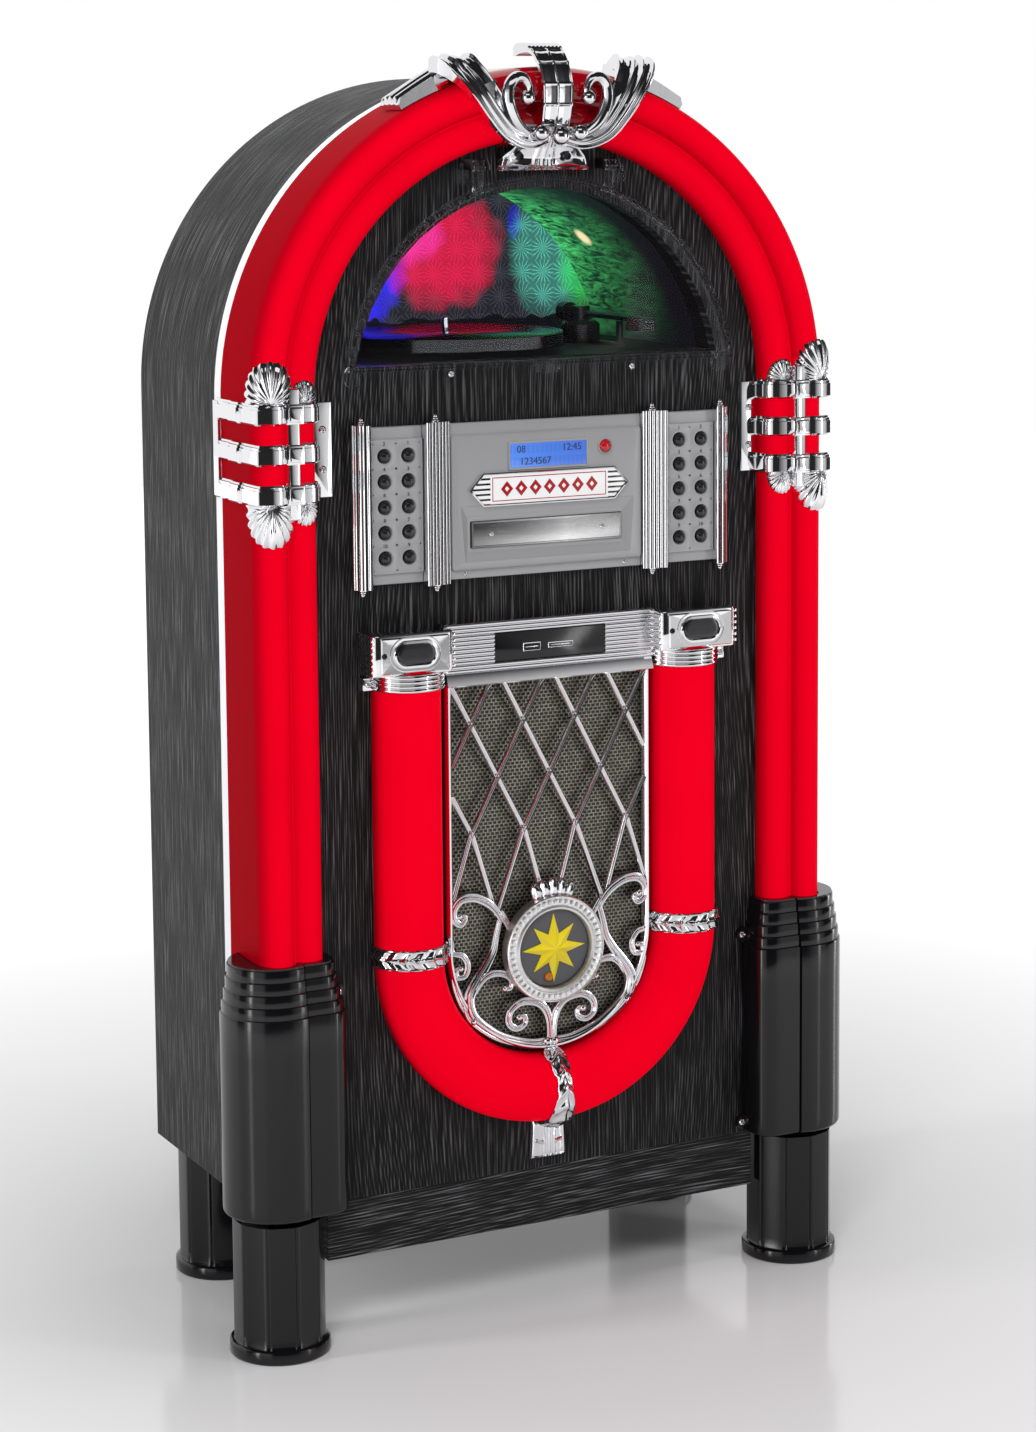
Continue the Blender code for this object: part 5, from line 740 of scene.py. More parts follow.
def shroud(name, node, side, wall=0.0028, step=0.0016, edge=0.0012):
    """Rows of the outline, wall inside it, from the rounded foot up over four collar steps to the lid."""
    rows = [(0.117 + 0.004 * (1 - math.cos(a)), 0.004 * (1 - math.sin(a))) for a in np.linspace(0, math.pi / 2, 6)]
    rows += [(z, 0.0) for z in np.linspace(0.13, 0.2815, 6)] + [(0.2826, 0.0003), (0.2832, 0.0012)]
    for k in range(4):
        z, grow = 0.283 + 0.0098 * k, step * (k + 1)
        rows += [(z + 0.0004, grow), (z + 0.0085, grow), (z + 0.0095, grow + 0.0004), (z + 0.0098, grow + edge)]
    rings = [(np.concatenate([shroud_outline(grow), shroud_outline(grow + wall)[::-1]]), z) for z, grow in rows]
    out = shroud_outline(step * 4 + edge)
    tube_side = evenly(lobes(0.0012, 0.035), len(out))
    tube_side[-1] = (0.2613, out[-1, 1])
    rings += [(np.concatenate([out, tube_side[::-1]]), z) for z in (0.3224, 0.3236)]
    parts = [patch([laid(ring * (side, 1), z) for ring, z in rings])]
    boss = [(0.0, ON_PANEL), (0.0058, ON_PANEL), (0.0062, -0.0007), (0.0062, -0.0033), (0.0, -0.0033)]
    heights = (0.2915, 0.1250)
    parts += [turned(boss, (side * 0.1905, 0, z), "Y", 32) for z in heights]
    piece(name, parts, BLACK_GLOSS, replaces=node)
    screws(f"{name}_screw", [(side * 0.1895, -0.0036, z) for z in heights], 0.0032, CHROME)


for word, side in SIDES:
    shroud(f"shroud_{word}", f"foot_shroud_{word}", side)

# %% [markdown]
# ## Clamps at the spring line
# Each clamp has three bands across both lobes, a post in the groove with square bosses, thin plates at both edges,
# and fluted shells above and below. A shell is a fan on the lobe: its flutes are a cosine of the angle round its
# hub, and it bulges like a dome.

# %% Clamps
BAND_PLAN = np.array([(0.2032, -0.0012), (0.2032, -0.0120), (0.2046, -0.0180), (0.2085, -0.0226), (0.2130, -0.0242),
                      (0.2240, -0.0244), (0.2275, -0.0205), (0.2312, -0.0190), (0.2350, -0.0232), (0.2385, -0.0292),
                      (0.2420, -0.0312), (0.2560, -0.0314), (0.2612, -0.0285), (0.2628, -0.0240), (0.2630, -0.0100),
                      (0.2630, 0.0060), (0.2652, 0.0068), (0.2652, 0.0250), (0.2630, 0.0258), (0.2630, 0.0600)])
BAND_ROWS = ((-0.0081, 0.0022), (-0.0066, 0.0), (0.0040, 0.0), (0.0044, 0.0010), (0.0062, 0.0010), (0.0066, 0.0022),
             (0.0081, 0.0028))
CLAMP_Z, BAND_STEP, SHELL_STEP = 0.7305, 0.0315, 0.0395
HUG = lobes(0.0003, 0.050, 60)
HUG_LENGTH, HUG_OUT = lengths(HUG), unit(np.stack([np.gradient(HUG[:, 1]), -np.gradient(HUG[:, 0])], -1))


def band(side, middle):
    """The plan outline over the lobes, carried up with a bevel below and two steps above."""
    out = unit(np.stack([-np.gradient(BAND_PLAN[:, 1]), np.gradient(BAND_PLAN[:, 0])], -1))
    inside = lobes(0.0004, 0.0600)[::-1]
    rings = [(np.concatenate([BAND_PLAN + out * back_by * 0.8, inside]), z) for z, back_by in BAND_ROWS]
    return patch([laid(ring * (side, 1), middle + z) for ring, z in rings])


def on_lobe(s, lift):
    """Point at length s along the lobes' outline, lifted along its normal."""
    return [np.interp(s, HUG_LENGTH, HUG[:, k]) + lift * np.interp(s, HUG_LENGTH, HUG_OUT[:, k]) for k in (0, 1)]


def crest(low, high):
    """Length along the outline at which a lobe is highest."""
    keep = np.where((HUG[:, 0] > low) & (HUG[:, 0] < high))[0]
    return HUG_LENGTH[keep[np.argmin(HUG[keep, 1])]]


def shell_fan(side, hub, z, up, wide, high, thick, flutes=12):
    """Fan of angle p and share q: s = hub + wide q cos p, z + high q sin p, lifted as a dome with cosine flutes."""
    p = np.linspace(0, math.pi, flutes * 12 + 1)[None, :]
    q = np.linspace(0.0, 1.0, 15)[:, None]
    wave = np.cos(p * flutes * 2)
    dome = thick * np.sqrt(np.maximum(1 - (np.abs(q - 0.42) / 0.62) ** 2.2, 0.02)) * (0.75 + 0.25 * np.sin(p))
    reach = q * (1 + 0.015 * wave * q)

    def layer(lift):
        """The fan's grid of points at a height over the lobe."""
        r, y = on_lobe(hub + wide * reach * np.cos(p), lift)
        return np.stack([side * r, y, z + up * high * reach * np.sin(p)], -1)

    top, under = layer(dome + 0.15 * wide * wave * q * q * (1.2 - q)), layer(-0.0006)
    walls = [patch(np.stack([top[:, edge], under[:, edge]], 1), loop=False, caps=False) for edge in (0, -1)]
    return [patch(np.concatenate([top, under[::-1]]), loop=False, ring=True), *walls]


def clamp(name, node, side):
    """Three bands, a post with bosses, two edge plates, and four shells with a button at the hub of each."""
    middle, heights = side * GROOVE, [CLAMP_Z + step * BAND_STEP for step in (-1, 0, 1)]
    parts = [band(side, z) for z in heights]
    parts.append(block(around(middle, 0.0052), (-0.0230, -0.0290), (0.6790, 0.7820), 0.0012))
    for z in heights:
        for half, depths, round_by in ((0.0078, (-0.0235, -0.0322), 0.0010), (0.0058, (-0.0320, -0.0345), 0.0012)):
            parts.append(block(around(middle, half), depths, around(z, half), round_by))
    parts.append(block(pair(side, 0.1878, 0.2046), (ON_PANEL, -0.0028), (0.6925, 0.7685), 0.0010))
    parts.append(block(pair(side, 0.2604, 0.2626), (0.062, 0.052), (0.6925, 0.7685), 0.0004))
    for up in (-1, 1):
        z = CLAMP_Z + up * SHELL_STEP
        for hub, wide, high, thick in ((crest(0.2045, GROOVE), 0.0130, 0.0175, 0.0042),
                                       (crest(GROOVE, RIM) + 0.004, 0.0225, 0.0330, 0.0078)):
            parts += shell_fan(side, hub, z, up, wide, high, thick)
            r, y = on_lobe(hub, thick * 0.4)
            button = [(0.0, 0.002), (high * 0.12, 0.0018), (high * 0.17, 0.0), (high * 0.17, -0.003)]
            parts.append(turned(button, (side * r, y, z + up * 0.004), "Y", 24))
    piece(name, parts, CHROME, replaces=node)
    screws(f"{name}_screw", [(side * 0.1960, -0.0028, z) for z in (0.7463, 0.7147)], 0.0032)


for word, side in SIDES:
    clamp(f"clamp_{word}_cast", f"clamp_{word}", side)

# %% [markdown]
# ## The window and what shows behind it
# The door is clear plastic: a rim along a circle cut off below, with a bevelled profile that catches two bright
# lines. Behind it the back wall carries a film of square tiles, each pressed with a star of fine rays. The light of
# coloured lamps on the film is painted into its glow, as soft patches of colour times the rays of each tile.

# %% Clear door
WINDOW_Z, WINDOW_LOW, WINDOW_R = 0.766, 0.790, 0.1775


def window_line(by):
    """Points of the circle above a straight lower edge, and that edge, both set in by some distance."""
    radius, bottom = WINDOW_R - by, WINDOW_LOW + by
    low = math.asin((bottom - WINDOW_Z) / radius)
    arc = polar(radius, np.linspace(low, math.pi - low, 72)) + (0, WINDOW_Z)
    x = np.linspace(arc[-1, 0], arc[0, 0], 40)[1:-1]
    return np.concatenate([arc, np.stack([x, np.full(38, bottom)], -1)])


def clear(name, tint, rough, ior):
    """A clear plastic that lets light through, slightly wavy."""
    glass = Finish(name, tint, rough, IOR=ior, Transmission_Weight=1.0, Specular_IOR_Level=0.6)
    glass.bump(glass.noise(55.0), 0.00008, 0.4)
    return glass.material


CLEAR_RIM = clear("clear_rim", (0.90, 0.91, 0.94), 0.01, 1.18)
CLEAR_PANE = clear("clear_pane", (0.93, 0.94, 0.97), 0.0, 1.12)
RIM_ROWS = ((-0.0004, 0.0), (-0.0098, 0.0), (-0.0115, 0.0006), (-0.0124, 0.0014), (-0.0118, 0.0021),
            (-0.0125, 0.0030), (-0.0118, 0.0040), (-0.0104, 0.0045), (-0.0004, 0.0045))
rim = [ring_of([(window_line(by), y) for y, by in RIM_ROWS])]
knuckle = [(0.0, -0.0055), (0.0036, -0.0055), (0.0042, -0.0049), (0.0042, 0.0049), (0.0036, 0.0055), (0.0, 0.0055)]
for side in (-1, 1):
    rim.append(turned(knuckle, (side * 0.060, -0.0095, 0.9515), "X", 32))
    rim.append(block(pair(side, 0.0550, 0.0650), (-0.0074, -0.0116), (0.9280, 0.9510), 0.0008))
rim.append(plate(rounded(0.010, 0.0035, 0.0015, (0, 0.7880)), -0.0098, -0.0155))
piece("door_rim", rim, CLEAR_RIM, "window_door", "window_frame")
pane = plate(window_line(0.0048), -0.0083, -0.0105, 0.0003, 2)
piece("door_pane", [pane], CLEAR_PANE, "window_door", "window_pane")


def disc(x, z, r):
    """Low round tab on the panel, its front edge broken."""
    profile = [(0.0, ON_PANEL), (r, ON_PANEL), (r, -0.0026), (r - 0.0006, -0.0032), (0.0, -0.0032)]
    return turned(profile, (x, 0, z), "Y", 48)


tabs = [disc(side * 0.083, 0.7855, 0.0045) for side in (-1, 1)]
cheek = np.array([(0.0665, 0.9370), (0.0750, 0.9370), (0.0750, 0.9490), (0.0715, 0.9560), (0.0665, 0.9560)])
tabs += [plate(cheek * (side, 1), -0.0004, -0.0065) for side in (-1, 1)]
piece("door_tabs", tabs, CLEAR_RIM)
corners = [disc(side * 0.168, 0.7860, 0.0085) for side in (-1, 1)]
piece("door_corners", corners, CLEAR_RIM, "window_door")
screws("tab_screw", [(side * 0.083, -0.0032, 0.7855) for side in (-1, 1)], 0.0026)

# %% Film of stars, with coloured lamp light painted on
# Each pool of painted lamp light is (colour, (x, z, half width, half height), share of it that shows between the
# rays).
FILM_PAINTED_LIGHT = (
    ((0.03, 0.02, 1.0), (-0.058, 0.872, 0.048, 0.065), 0.85), ((1.0, 0.0, 0.07), (0.022, 0.872, 0.055, 0.050), 0.50),
    ((1.0, 0.05, 0.50), (-0.006, 0.890, 0.030, 0.032), 0.40), ((0.20, 0.12, 1.0), (0.028, 0.932, 0.016, 0.012), 0.9),
    ((0.03, 0.03, 0.85), (0.106, 0.925, 0.007, 0.016), 0.3), ((0.02, 0.02, 0.60), (0.090, 0.895, 0.007, 0.016), 0.4),
    ((0.16, 0.95, 0.70), (0.122, 0.868, 0.036, 0.056), 0.16), ((0.03, 0.75, 0.10), (0.158, 0.868, 0.026, 0.050), 0.4),
    ((0.95, 0.42, 0.10), (0.146, 0.900, 0.006, 0.016), 0.10))
TILE, RAYS, FILM_LOW = 0.0205, 16.0, 0.7962


def star_film():
    """Tile rays: a cosine of many times the angle about the tile's middle; colour: painted lamp light in soft patches
    in x and z.
    """
    film = Finish("star_film", (0.004, 0.004, 0.005), 0.35, Specular_IOR_Level=0.2)
    x, _, z = film.xyz()
    u = ((x + 1.0) / TILE).do("FRACT") - 0.5
    v = ((z + 1.004) / TILE).do("FRACT") - 0.5
    rays = (v.do("ARCTAN2", u) * RAYS + film.noise(420.0) * 5.0).do("COSINE")
    spikes = rays.do("MAXIMUM", 0.0) ** 3.0
    thin = spikes * film.ramp((u * u + v * v).do("SQRT"), (0.0, 1.0), (0.18, 0.75), (0.62, 0.12))
    ragged = film.noise(60.0, 1.0)
    colour = film.mix(thin, (0.012, 0.012, 0.016), (0.10, 0.11, 0.15))
    for tone, (cx, cz, sx, sz), solid in FILM_PAINTED_LIGHT:
        dx, dz = (x - cx) / sx, (z - cz) / sz
        near = film.ramp((dx * dx + dz * dz + (ragged * 0.9 - 0.45)) * 0.5, (0.18, 1.0), (0.60, 0.0))
        colour = film.mix(near * (thin * (1.0 - solid) + solid), colour, tone)
    # Above a ragged line near z = 0.82 the film's glow is nearly black.
    dark_above_ragged_line = (ragged * 0.016 + z) > 0.8215
    film.set(Emission_Color=film.mix(dark_above_ragged_line, (0.002, 0.002, 0.004), colour), Emission_Strength=1.25)
    film.bump(spikes, 0.0004, 0.5)
    return film.material


wall = upright(polar(0.1712, np.linspace(0, math.pi, 60)) + (0, WINDOW_Z), 0.2210)
wall[:, 2] = np.maximum(wall[:, 2], FILM_LOW)
low, thick = wall * (1, 1, 0) + (0, 0, FILM_LOW), (0, 0.0012, 0)
film_grid = np.stack([low, wall, wall + thick, low + thick])
piece("film_wall", [patch(film_grid, loop=False, ring=True)], star_film())

# %% Green lamp light painted on the side of the compartment
glow = Finish("side_glow", (0.003, 0.003, 0.003), 0.5, Specular_IOR_Level=0.1)
deep, turn = glow.carried("across"), glow.carried("along")
# Painted light: green lamp light that fades with depth and towards both ends of the turn, broken into sparks, with a
# warm painted highlight spot.
sparks = glow.noise(1.0, 4.0, 0.7, 1.2, glow.stretched((140.0, 40.0, 190.0)))
fade = (glow.ramp(deep, (0.0, 1.0), (0.30, 0.45), (0.85, 0.0))
        * glow.ramp(turn, (0.0, 0.0), (0.38, 1.0), (0.55, 0.8), (0.80, 0.0)))
green = glow.mix(glow.ramp(sparks, (0.40, 0.0), (0.66, 1.0)), (0.0, 0.035, 0.010), (0.12, 1.0, 0.26))
painted_warm_spot = glow.ramp(((deep - 0.34) * 16.0) ** 2.0 + ((turn - 0.40) * 26.0) ** 2.0, (0.25, 1.0), (1.0, 0.0))
lit = glow.mix(painted_warm_spot, glow.mix(fade, (0.003, 0.002, 0.005), green), (1.0, 0.85, 0.45))
glow.set(Emission_Color=lit, Emission_Strength=1.0)
a, y = np.linspace(math.radians(6), math.radians(100), 40), np.linspace(0.2195, 0.0400, 14)
layers = [np.stack([upright(polar(r, a) + (0, WINDOW_Z), depth) for depth in y], 1) for r in (0.1700, 0.1708)]
sheet = np.concatenate([layers[0], layers[1][:, ::-1]], 1)
share = np.concatenate([np.linspace(0, 1, 14), np.linspace(1, 0, 14)])
piece("film_side", [patch(sheet, across=share)], glow.material)

# %% Turntable
r = np.concatenate([[0.0, 0.006], np.linspace(0.012, 0.0945, 60), [0.0958, 0.0968, 0.0975, 0.0975, 0.0965, 0.0]])
h = np.concatenate([[0.0122, 0.0122], 0.0110 + 0.00025 * np.cos(np.arange(60) * math.pi),
                    [0.0118, 0.0121, 0.0116, 0.002, 0.0012, 0.0012]])
VINYL = plastic("vinyl", (0.004, 0.004, 0.005), 0.12, 0.22, 300.0, 0.00003, Specular_IOR_Level=0.7)
platter_centre = (-0.030, 0.113, 0)
record = turned(np.stack([r, 0.7995 + h], -1), platter_centre, "Z", 160)
piece("platter_disc", [record], VINYL, "platter", "platter")
spindle = [(0.0, 0.8240), (0.0016, 0.8238), (0.0028, 0.8225), (0.0030, 0.8200), (0.0030, 0.8118), (0.0, 0.8118)]
piece("platter_pin", [turned(spindle, platter_centre, "Z", 32)], CHROME, "platter")

# %% [markdown]
# ## Console
# The middle panel is one ring of profiles: from its back edge over the raised front into the recess of the drawer.
# A key panel is made of equal cells. A cell runs from its square border to the round bore of its key, so that its
# points go from a square to a circle as the row number grows.

# %% Middle panel
hole = rectangle((-0.0697, 0.0697), (0.6440, 0.6660), 0.0006)
floor_line = rectangle((-0.0722, 0.0722), (0.6405, 0.6700))
mouth = rectangle((-0.0790, 0.0790), (0.6335, 0.6790), 0.0012)
mouth[:, 0] *= 1 - (mouth[:, 1] < 0.65) * 0.045
OUTER_ROWS = ((0.0845, 0.6290, 0.7340, 0.0030, -0.0118), (0.0868, 0.6272, 0.7360, 0.0030, -0.0104),
              (0.0876, 0.6262, 0.7372, 0.0030, -0.0070), (0.0884, 0.6200, 0.7452, 0.0010, -0.0064),
              (0.0884, 0.6195, 0.7460, 0.0010, -0.0058), (0.0884, 0.6195, 0.7460, 0.0010, ON_PANEL))
BEZEL_ROWS = ((0.0350, 0.7080, 0.7276, 0.0006, -0.0112), (0.0350, 0.7080, 0.7276, 0.0006, -0.0126),
              (0.0356, 0.7074, 0.7282, 0.0010, -0.0130), (0.0366, 0.7064, 0.7292, 0.0012, -0.0129),
              (0.0370, 0.7060, 0.7296, 0.0014, -0.0112))
inner = [(hole, ON_PANEL), (hole, -0.0080), (floor_line, -0.0084), (floor_line * (1.008, 1), -0.0086),
         (mouth, -0.0112), (mouth * (1.010, 1), -0.0118)]
EYE = (0.0526, 0, 0.7218)
collar = [(0.0054, -0.0112), (0.0056, -0.0128), (0.0062, -0.0131), (0.0068, -0.0126), (0.0070, -0.0112)]
panel = [ring_of(inner + [level(*row) for row in OUTER_ROWS]), ring_of([level(*row) for row in BEZEL_ROWS]),
         turned(collar, EYE, "Y", 48)]
piece("middle_panel", panel, SILVER_PAINT, replaces="console_center")
screws("panel_screw", [(side * 0.0735, -0.0064, 0.6236) for side in (-1, 1)], 0.0022)
DOME_RED = plastic("dome_red", (0.45, 0.004, 0.012), 0.05, 0.10, 200.0, 0.00002, Coat_Weight=0.5)
dome = [(0.0053 * math.sin(a), -0.0112 - 0.0036 * math.cos(a)) for a in np.linspace(0, math.pi / 2, 9)]
piece("eye_dome", [turned([*dome, (0.0053, -0.0102), (0.0, -0.0102)], EYE, "Y", 48)], DOME_RED)

# %% Display with plain digits
display = Finish("display_glass", (0.02, 0.05, 0.12), 0.08, Coat_Weight=0.4)
x, _, z = display.xyz()
col, line = ((x + 1.0) / 0.0041).do("FRACT"), ((z - 0.7080) / 0.0098).do("FRACT")
dots = (abs(col - 0.45) < 0.36) * (abs(line - 0.48) < 0.34)
blue = display.ramp(x * 14.0 + 0.5, (0.0, (0.10, 0.25, 0.85)), (0.5, (0.05, 0.17, 0.72)), (1.0, (0.03, 0.12, 0.60)))
display.set(Emission_Color=display.mix(dots * 0.16, blue, (0.01, 0.04, 0.20)), Emission_Strength=0.95)
pane = plate(rectangle((-0.0350, 0.0350), (0.7080, 0.7276), 0.0004), -0.0108, -0.0122, 0.0002)
piece("display_pane", [pane], display.material, replaces="lcd_window")


def digits(name, words, size, material, depth=0.0003):
    """Plain numerals as flat solids that stand on the front, each at its own place."""
    bm = bmesh.new()
    for text, x, y, z in words:
        font = bpy.data.curves.new(name, "FONT")
        font.body, font.size, font.extrude, font.align_x, font.align_y = text, size, depth / 2, "CENTER", "CENTER"
        thing = link(bpy.data.objects.new(name, font))
        bpy.context.view_layer.update()
        mesh = bpy.data.meshes.new_from_object(thing.evaluated_get(bpy.context.evaluated_depsgraph_get()))
        mesh.transform(Matrix.Translation((x, y + PANEL, z)) @ Matrix.Rotation(math.pi / 2, 4, "X"))
        bm.from_mesh(mesh)
        bpy.data.meshes.remove(mesh)
        bpy.data.objects.remove(thing)
    mesh = bpy.data.meshes.new(name)
    bm.to_mesh(mesh)
    bm.free()
    joined = link(bpy.data.objects.new(name, mesh))
    mesh.materials.clear()
    mesh.materials.append(material)
    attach(joined, "cabinet")


INK = plastic("dark_ink", (0.02, 0.03, 0.07), 0.4, 0.5)
digits("display_digits", [("08", -0.0250, -0.01235, 0.7226), ("12:45", 0.0215, -0.01235, 0.7226),
                          ("1234567", -0.0120, -0.01235, 0.7126)], 0.0082, INK)

# %% Badge
BADGE_Z = 0.6915
badge = Finish("badge_print", (0.80, 0.80, 0.80), 0.16, Specular_IOR_Level=0.6)
x, _, z = badge.xyz()
x, z = abs(x), z - BADGE_Z
az = abs(z)
stripe = abs(((z + 0.1025) / 0.0042).do("FRACT") - 0.5) < 0.20
paint = badge.mix(stripe * (x > 0.0540), (0.82, 0.82, 0.83), (0.012, 0.012, 0.012))
border = (x < 0.0523) * (az < 0.0098) - (x < 0.0515) * (az < 0.0090)
lozenge = abs(((x + 0.0065) / 0.013).do("FRACT") - 0.5) * 2.0 + az / 0.0075
shape = (lozenge < 0.86) * (x < 0.0460)
red = border.do("MAXIMUM", (lozenge > 0.30) * shape)
badge.set(Base_Color=badge.mix(red, paint, (0.36, 0.004, 0.010)))
badge.bump(shape, 0.0003, 0.4)
shield = np.array([(0.0715, 0.0), (0.0600, 0.0125), (-0.0600, 0.0125), (-0.0715, 0.0), (-0.0600, -0.0125),
                   (0.0600, -0.0125)]) + (0, BADGE_Z)
EDGE_ROWS = ((0.0004, -0.0112), (0.0004, -0.0142), (-0.0001, -0.0147), (-0.0010, -0.0143), (-0.0010, -0.0112))
piece("badge_edge", [ring_of([(inset(shield, by), y) for by, y in EDGE_ROWS])], CHROME)
piece("badge_plate", [plate(inset(shield, 0.0005), -0.0112, -0.0139, 0.0003)], badge.material)


# %% Trims with ribs
def rib_wave(share, ribs, depth):
    """A rectified sine: depth |sin(pi n s)|^0.6, which makes round ribs with sharp valleys."""
    return depth * np.abs(np.sin(math.pi * ribs * share)) ** 0.6


def ribbed(name, plan, ribs, side, tip_x, low=0.6172, high=0.7484):
    """A plan line with ribs laid over it, carried up, with a ringed bead at each end."""
    line = evenly(plan, ribs * 10 + 1)
    d = unit(np.gradient(line, axis=0))
    line += np.stack([d[:, 1], -d[:, 0]], -1) * rib_wave(np.linspace(0, 1, len(line)), ribs, 0.0009)[:, None]
    ring = np.concatenate([[(plan[0][0], ON_PANEL)], line, [(plan[-1][0], ON_PANEL)]]) * (side, 1)
    parts = [patch([laid(ring, z) for z in (low, low + 0.0008, high - 0.0008, high)])]
    for z, way in ((high, 1), (low, -1)):
        for rise, size, flat in ((0.0006, 0.0040, 0.62), (0.0026, 0.0030, 0.62), (0.0045, 0.0020, 1.0)):
            parts.append(bead(size, size * flat, (side * tip_x, -0.0068, z + way * rise), "Z", 11))
    piece(name, parts, CHROME)


INNER_TRIM = [(0.0886, -0.0098), (0.0900, -0.0112), (0.1090, -0.0148), (0.1108, -0.0138)]
OUTER_TRIM = [(0.1582, -0.0118), (0.1600, -0.0140), (0.1660, -0.0130), (0.1705, -0.0085), (0.1718, -0.0022)]
for word, side in SIDES:
    ribbed(f"trim_inner_{word}", INNER_TRIM, 7, side, 0.0995)
    ribbed(f"trim_outer_{word}", OUTER_TRIM, 5, side, 0.1648)

# %% Key panels and keys
KEY_X, KEY_Z, KEY_STEP, KEY_FACE = (0.1245, 0.1455), 0.6820, 0.0205, -0.0085
BORE_ROWS = ((0.0090, KEY_FACE), (0.0080, KEY_FACE - 0.0004), (0.0070, KEY_FACE - 0.0006),
             (0.0062, KEY_FACE - 0.0003), (0.0056, KEY_FACE + 0.0006), (0.0053, KEY_FACE + 0.0016), (0.0053, -0.0004))


def key_cell(x, z):
    """Square border to round bore, then a low ring round the bore."""
    t = whole_turn(48) + math.tau / 96
    circle = polar(1.0, t)
    square = circle / np.abs(circle).max(1, keepdims=True) * (0.0105, KEY_STEP / 2)
    rows = [(square, -0.0004), (square, KEY_FACE)] + [(circle * r, y) for r, y in BORE_ROWS]
    return ring_of([(outline + (x, z), y) for outline, y in rows])


def key_panel(name, node, side):
    """Ten cells in two columns, and a frame round them with a step down to its edge."""
    parts = [key_cell(side * x, KEY_Z + (k - 2) * KEY_STEP) for x in KEY_X for k in range(5)]
    inner = rectangle(pair(side, 0.1140, 0.1560), (0.63075, 0.73325), 0.00001, 1)
    near = rectangle(pair(side, 0.1118, 0.1576), (0.6285, 0.7360), 0.0004, 1)
    far = rectangle(pair(side, 0.1112, 0.1582), (0.6200, 0.7454), 0.0004, 1)
    far_in = inset(far, -0.0005)
    parts.append(ring_of([(inner, -0.0004), (inner, KEY_FACE), (near, KEY_FACE), (inset(near, -0.0003), -0.0080),
                          (inset(near, -0.0005), -0.0060), (far, -0.0054), (far_in, -0.0046), (far_in, -0.0004)]))
    piece(name, parts, SILVER_PAINT, replaces=node)


KEY_BLACK = plastic("key_black", (0.010, 0.010, 0.012), 0.10, 0.20, 500.0, 0.00002, Specular_IOR_Level=0.6)
cap = [(0.0, -0.0122), (0.0016, -0.0121), (0.0030, -0.0116), (0.0041, -0.0107), (0.0047, -0.0096),
       (0.0049, -0.0084), (0.0049, -0.0030), (0.0, -0.0030)]
numbers = []
for word, side in SIDES:
    key_panel(f"key_panel_{word}", f"console_{word}", side)
for word, side in SIDES:
    for count in range(1, 11):
        key = f"{word}_{count:02d}"
        low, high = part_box(f"key_{key}")
        x, z = (low[0] + high[0]) / 2, (low[2] + high[2]) / 2
        ball = turned(cap, (x, 0, z), "Y", 40)
        piece(f"key_cap_{key}", [ball], KEY_BLACK, f"key_{key}", f"key_{key}")
        numbers.append((str(count), x, -0.0086, z + 0.0098))
digits("key_numbers", numbers, 0.0042, BLACK_SATIN)

# %% Disc drawer
brushed = Finish("brushed_steel", (0.60, 0.60, 0.62), 0.22, 1.0)
streaks = brushed.noise(1.0, 3.0, where=brushed.stretched((18.0, 60.0, 2600.0)))
# A painted sheen: the base colour is a band of light across x, brightest a little right of the middle.
painted_sheen_band = brushed.ramp(brushed.xyz()[0] * 7.0 + 0.5, (0.0, 0.25), (0.35, 0.55), (0.62, 0.85), (1.0, 0.30))
brushed.set(Roughness=streaks * 0.16 + 0.16, Base_Color=painted_sheen_band)
brushed.bump(streaks, 0.00003, 0.5)
FRONT_ROWS = ((0.0675, 0.6460, 0.6640, 0.0005, -0.0092), (0.0678, 0.6457, 0.6643, 0.0005, -0.0098),
              (0.0688, 0.6446, 0.6654, 0.0008, -0.0098), (0.0690, 0.6444, 0.6656, 0.0008, -0.0092),
              (0.0690, 0.6444, 0.6656, 0.0008, -0.0052))
face = plate(rectangle((-0.0677, 0.0677), (0.6458, 0.6642), 0.0004), -0.0050, -0.0093, 0.0002)
parts = [ring_of([level(*row) for row in FRONT_ROWS]), face]
piece("drawer_front", parts, brushed.material, "disc_drawer", "cd_tray")
screws("drawer_screw", [(side * 0.0510, -0.0093, 0.6550) for side in (-1, 1)], 0.0022, body="disc_drawer")
circle = polar(1.0, whole_turn(96))
square = np.clip(circle * 0.12, (-0.0640, -0.0720), (0.0640, 0.0740))
TRAY_ROWS = ((square, 0.6500), (square, 0.6600), (square, 0.6604), (circle * 0.0615, 0.6604),
             (circle * 0.0610, 0.6600), (circle * 0.0605, 0.6580), (circle * 0.0420, 0.6578),
             (circle * 0.0415, 0.6566), (circle * 0.0120, 0.6566), (circle * 0.0115, 0.6500))
tray = patch([laid(plan + (0, 0.0672), z) for plan, z in TRAY_ROWS], ring=True)
piece("drawer_tray", [tray], BLACK_SATIN, "disc_drawer")

# %% [markdown]
# ## The U-shaped tube and the head bar over it
# The second tube has half a circle as its outline, and runs down, round a half circle and up. The head bar is
# extruded from a ribbed profile, a rectified sine again, and ends in two boxes that hold the oval keys.

# %% U tube
U_X, U_Z, U_R, U_Y = 0.1276, 0.3140, 0.0285, -0.005


def half_round(radius, count):
    """The front half of a circle in plan, with its ends carried back to the panel."""
    line = polar(radius, np.linspace(math.pi, math.tau, count)) + (0, U_Y)
    return np.concatenate([[(-radius, ON_PANEL)], line, [(radius, ON_PANEL)]])


U_RED = lit_red("u_red", 0.70, (0.0, 0.10), (0.16, 0.45), (0.45, 0.88), (1.0, 1.0))
outline = half_round(U_R, 29)
angles, leg = np.linspace(math.pi, math.tau, 73), np.linspace(0.5345, U_Z, 14, endpoint=False)
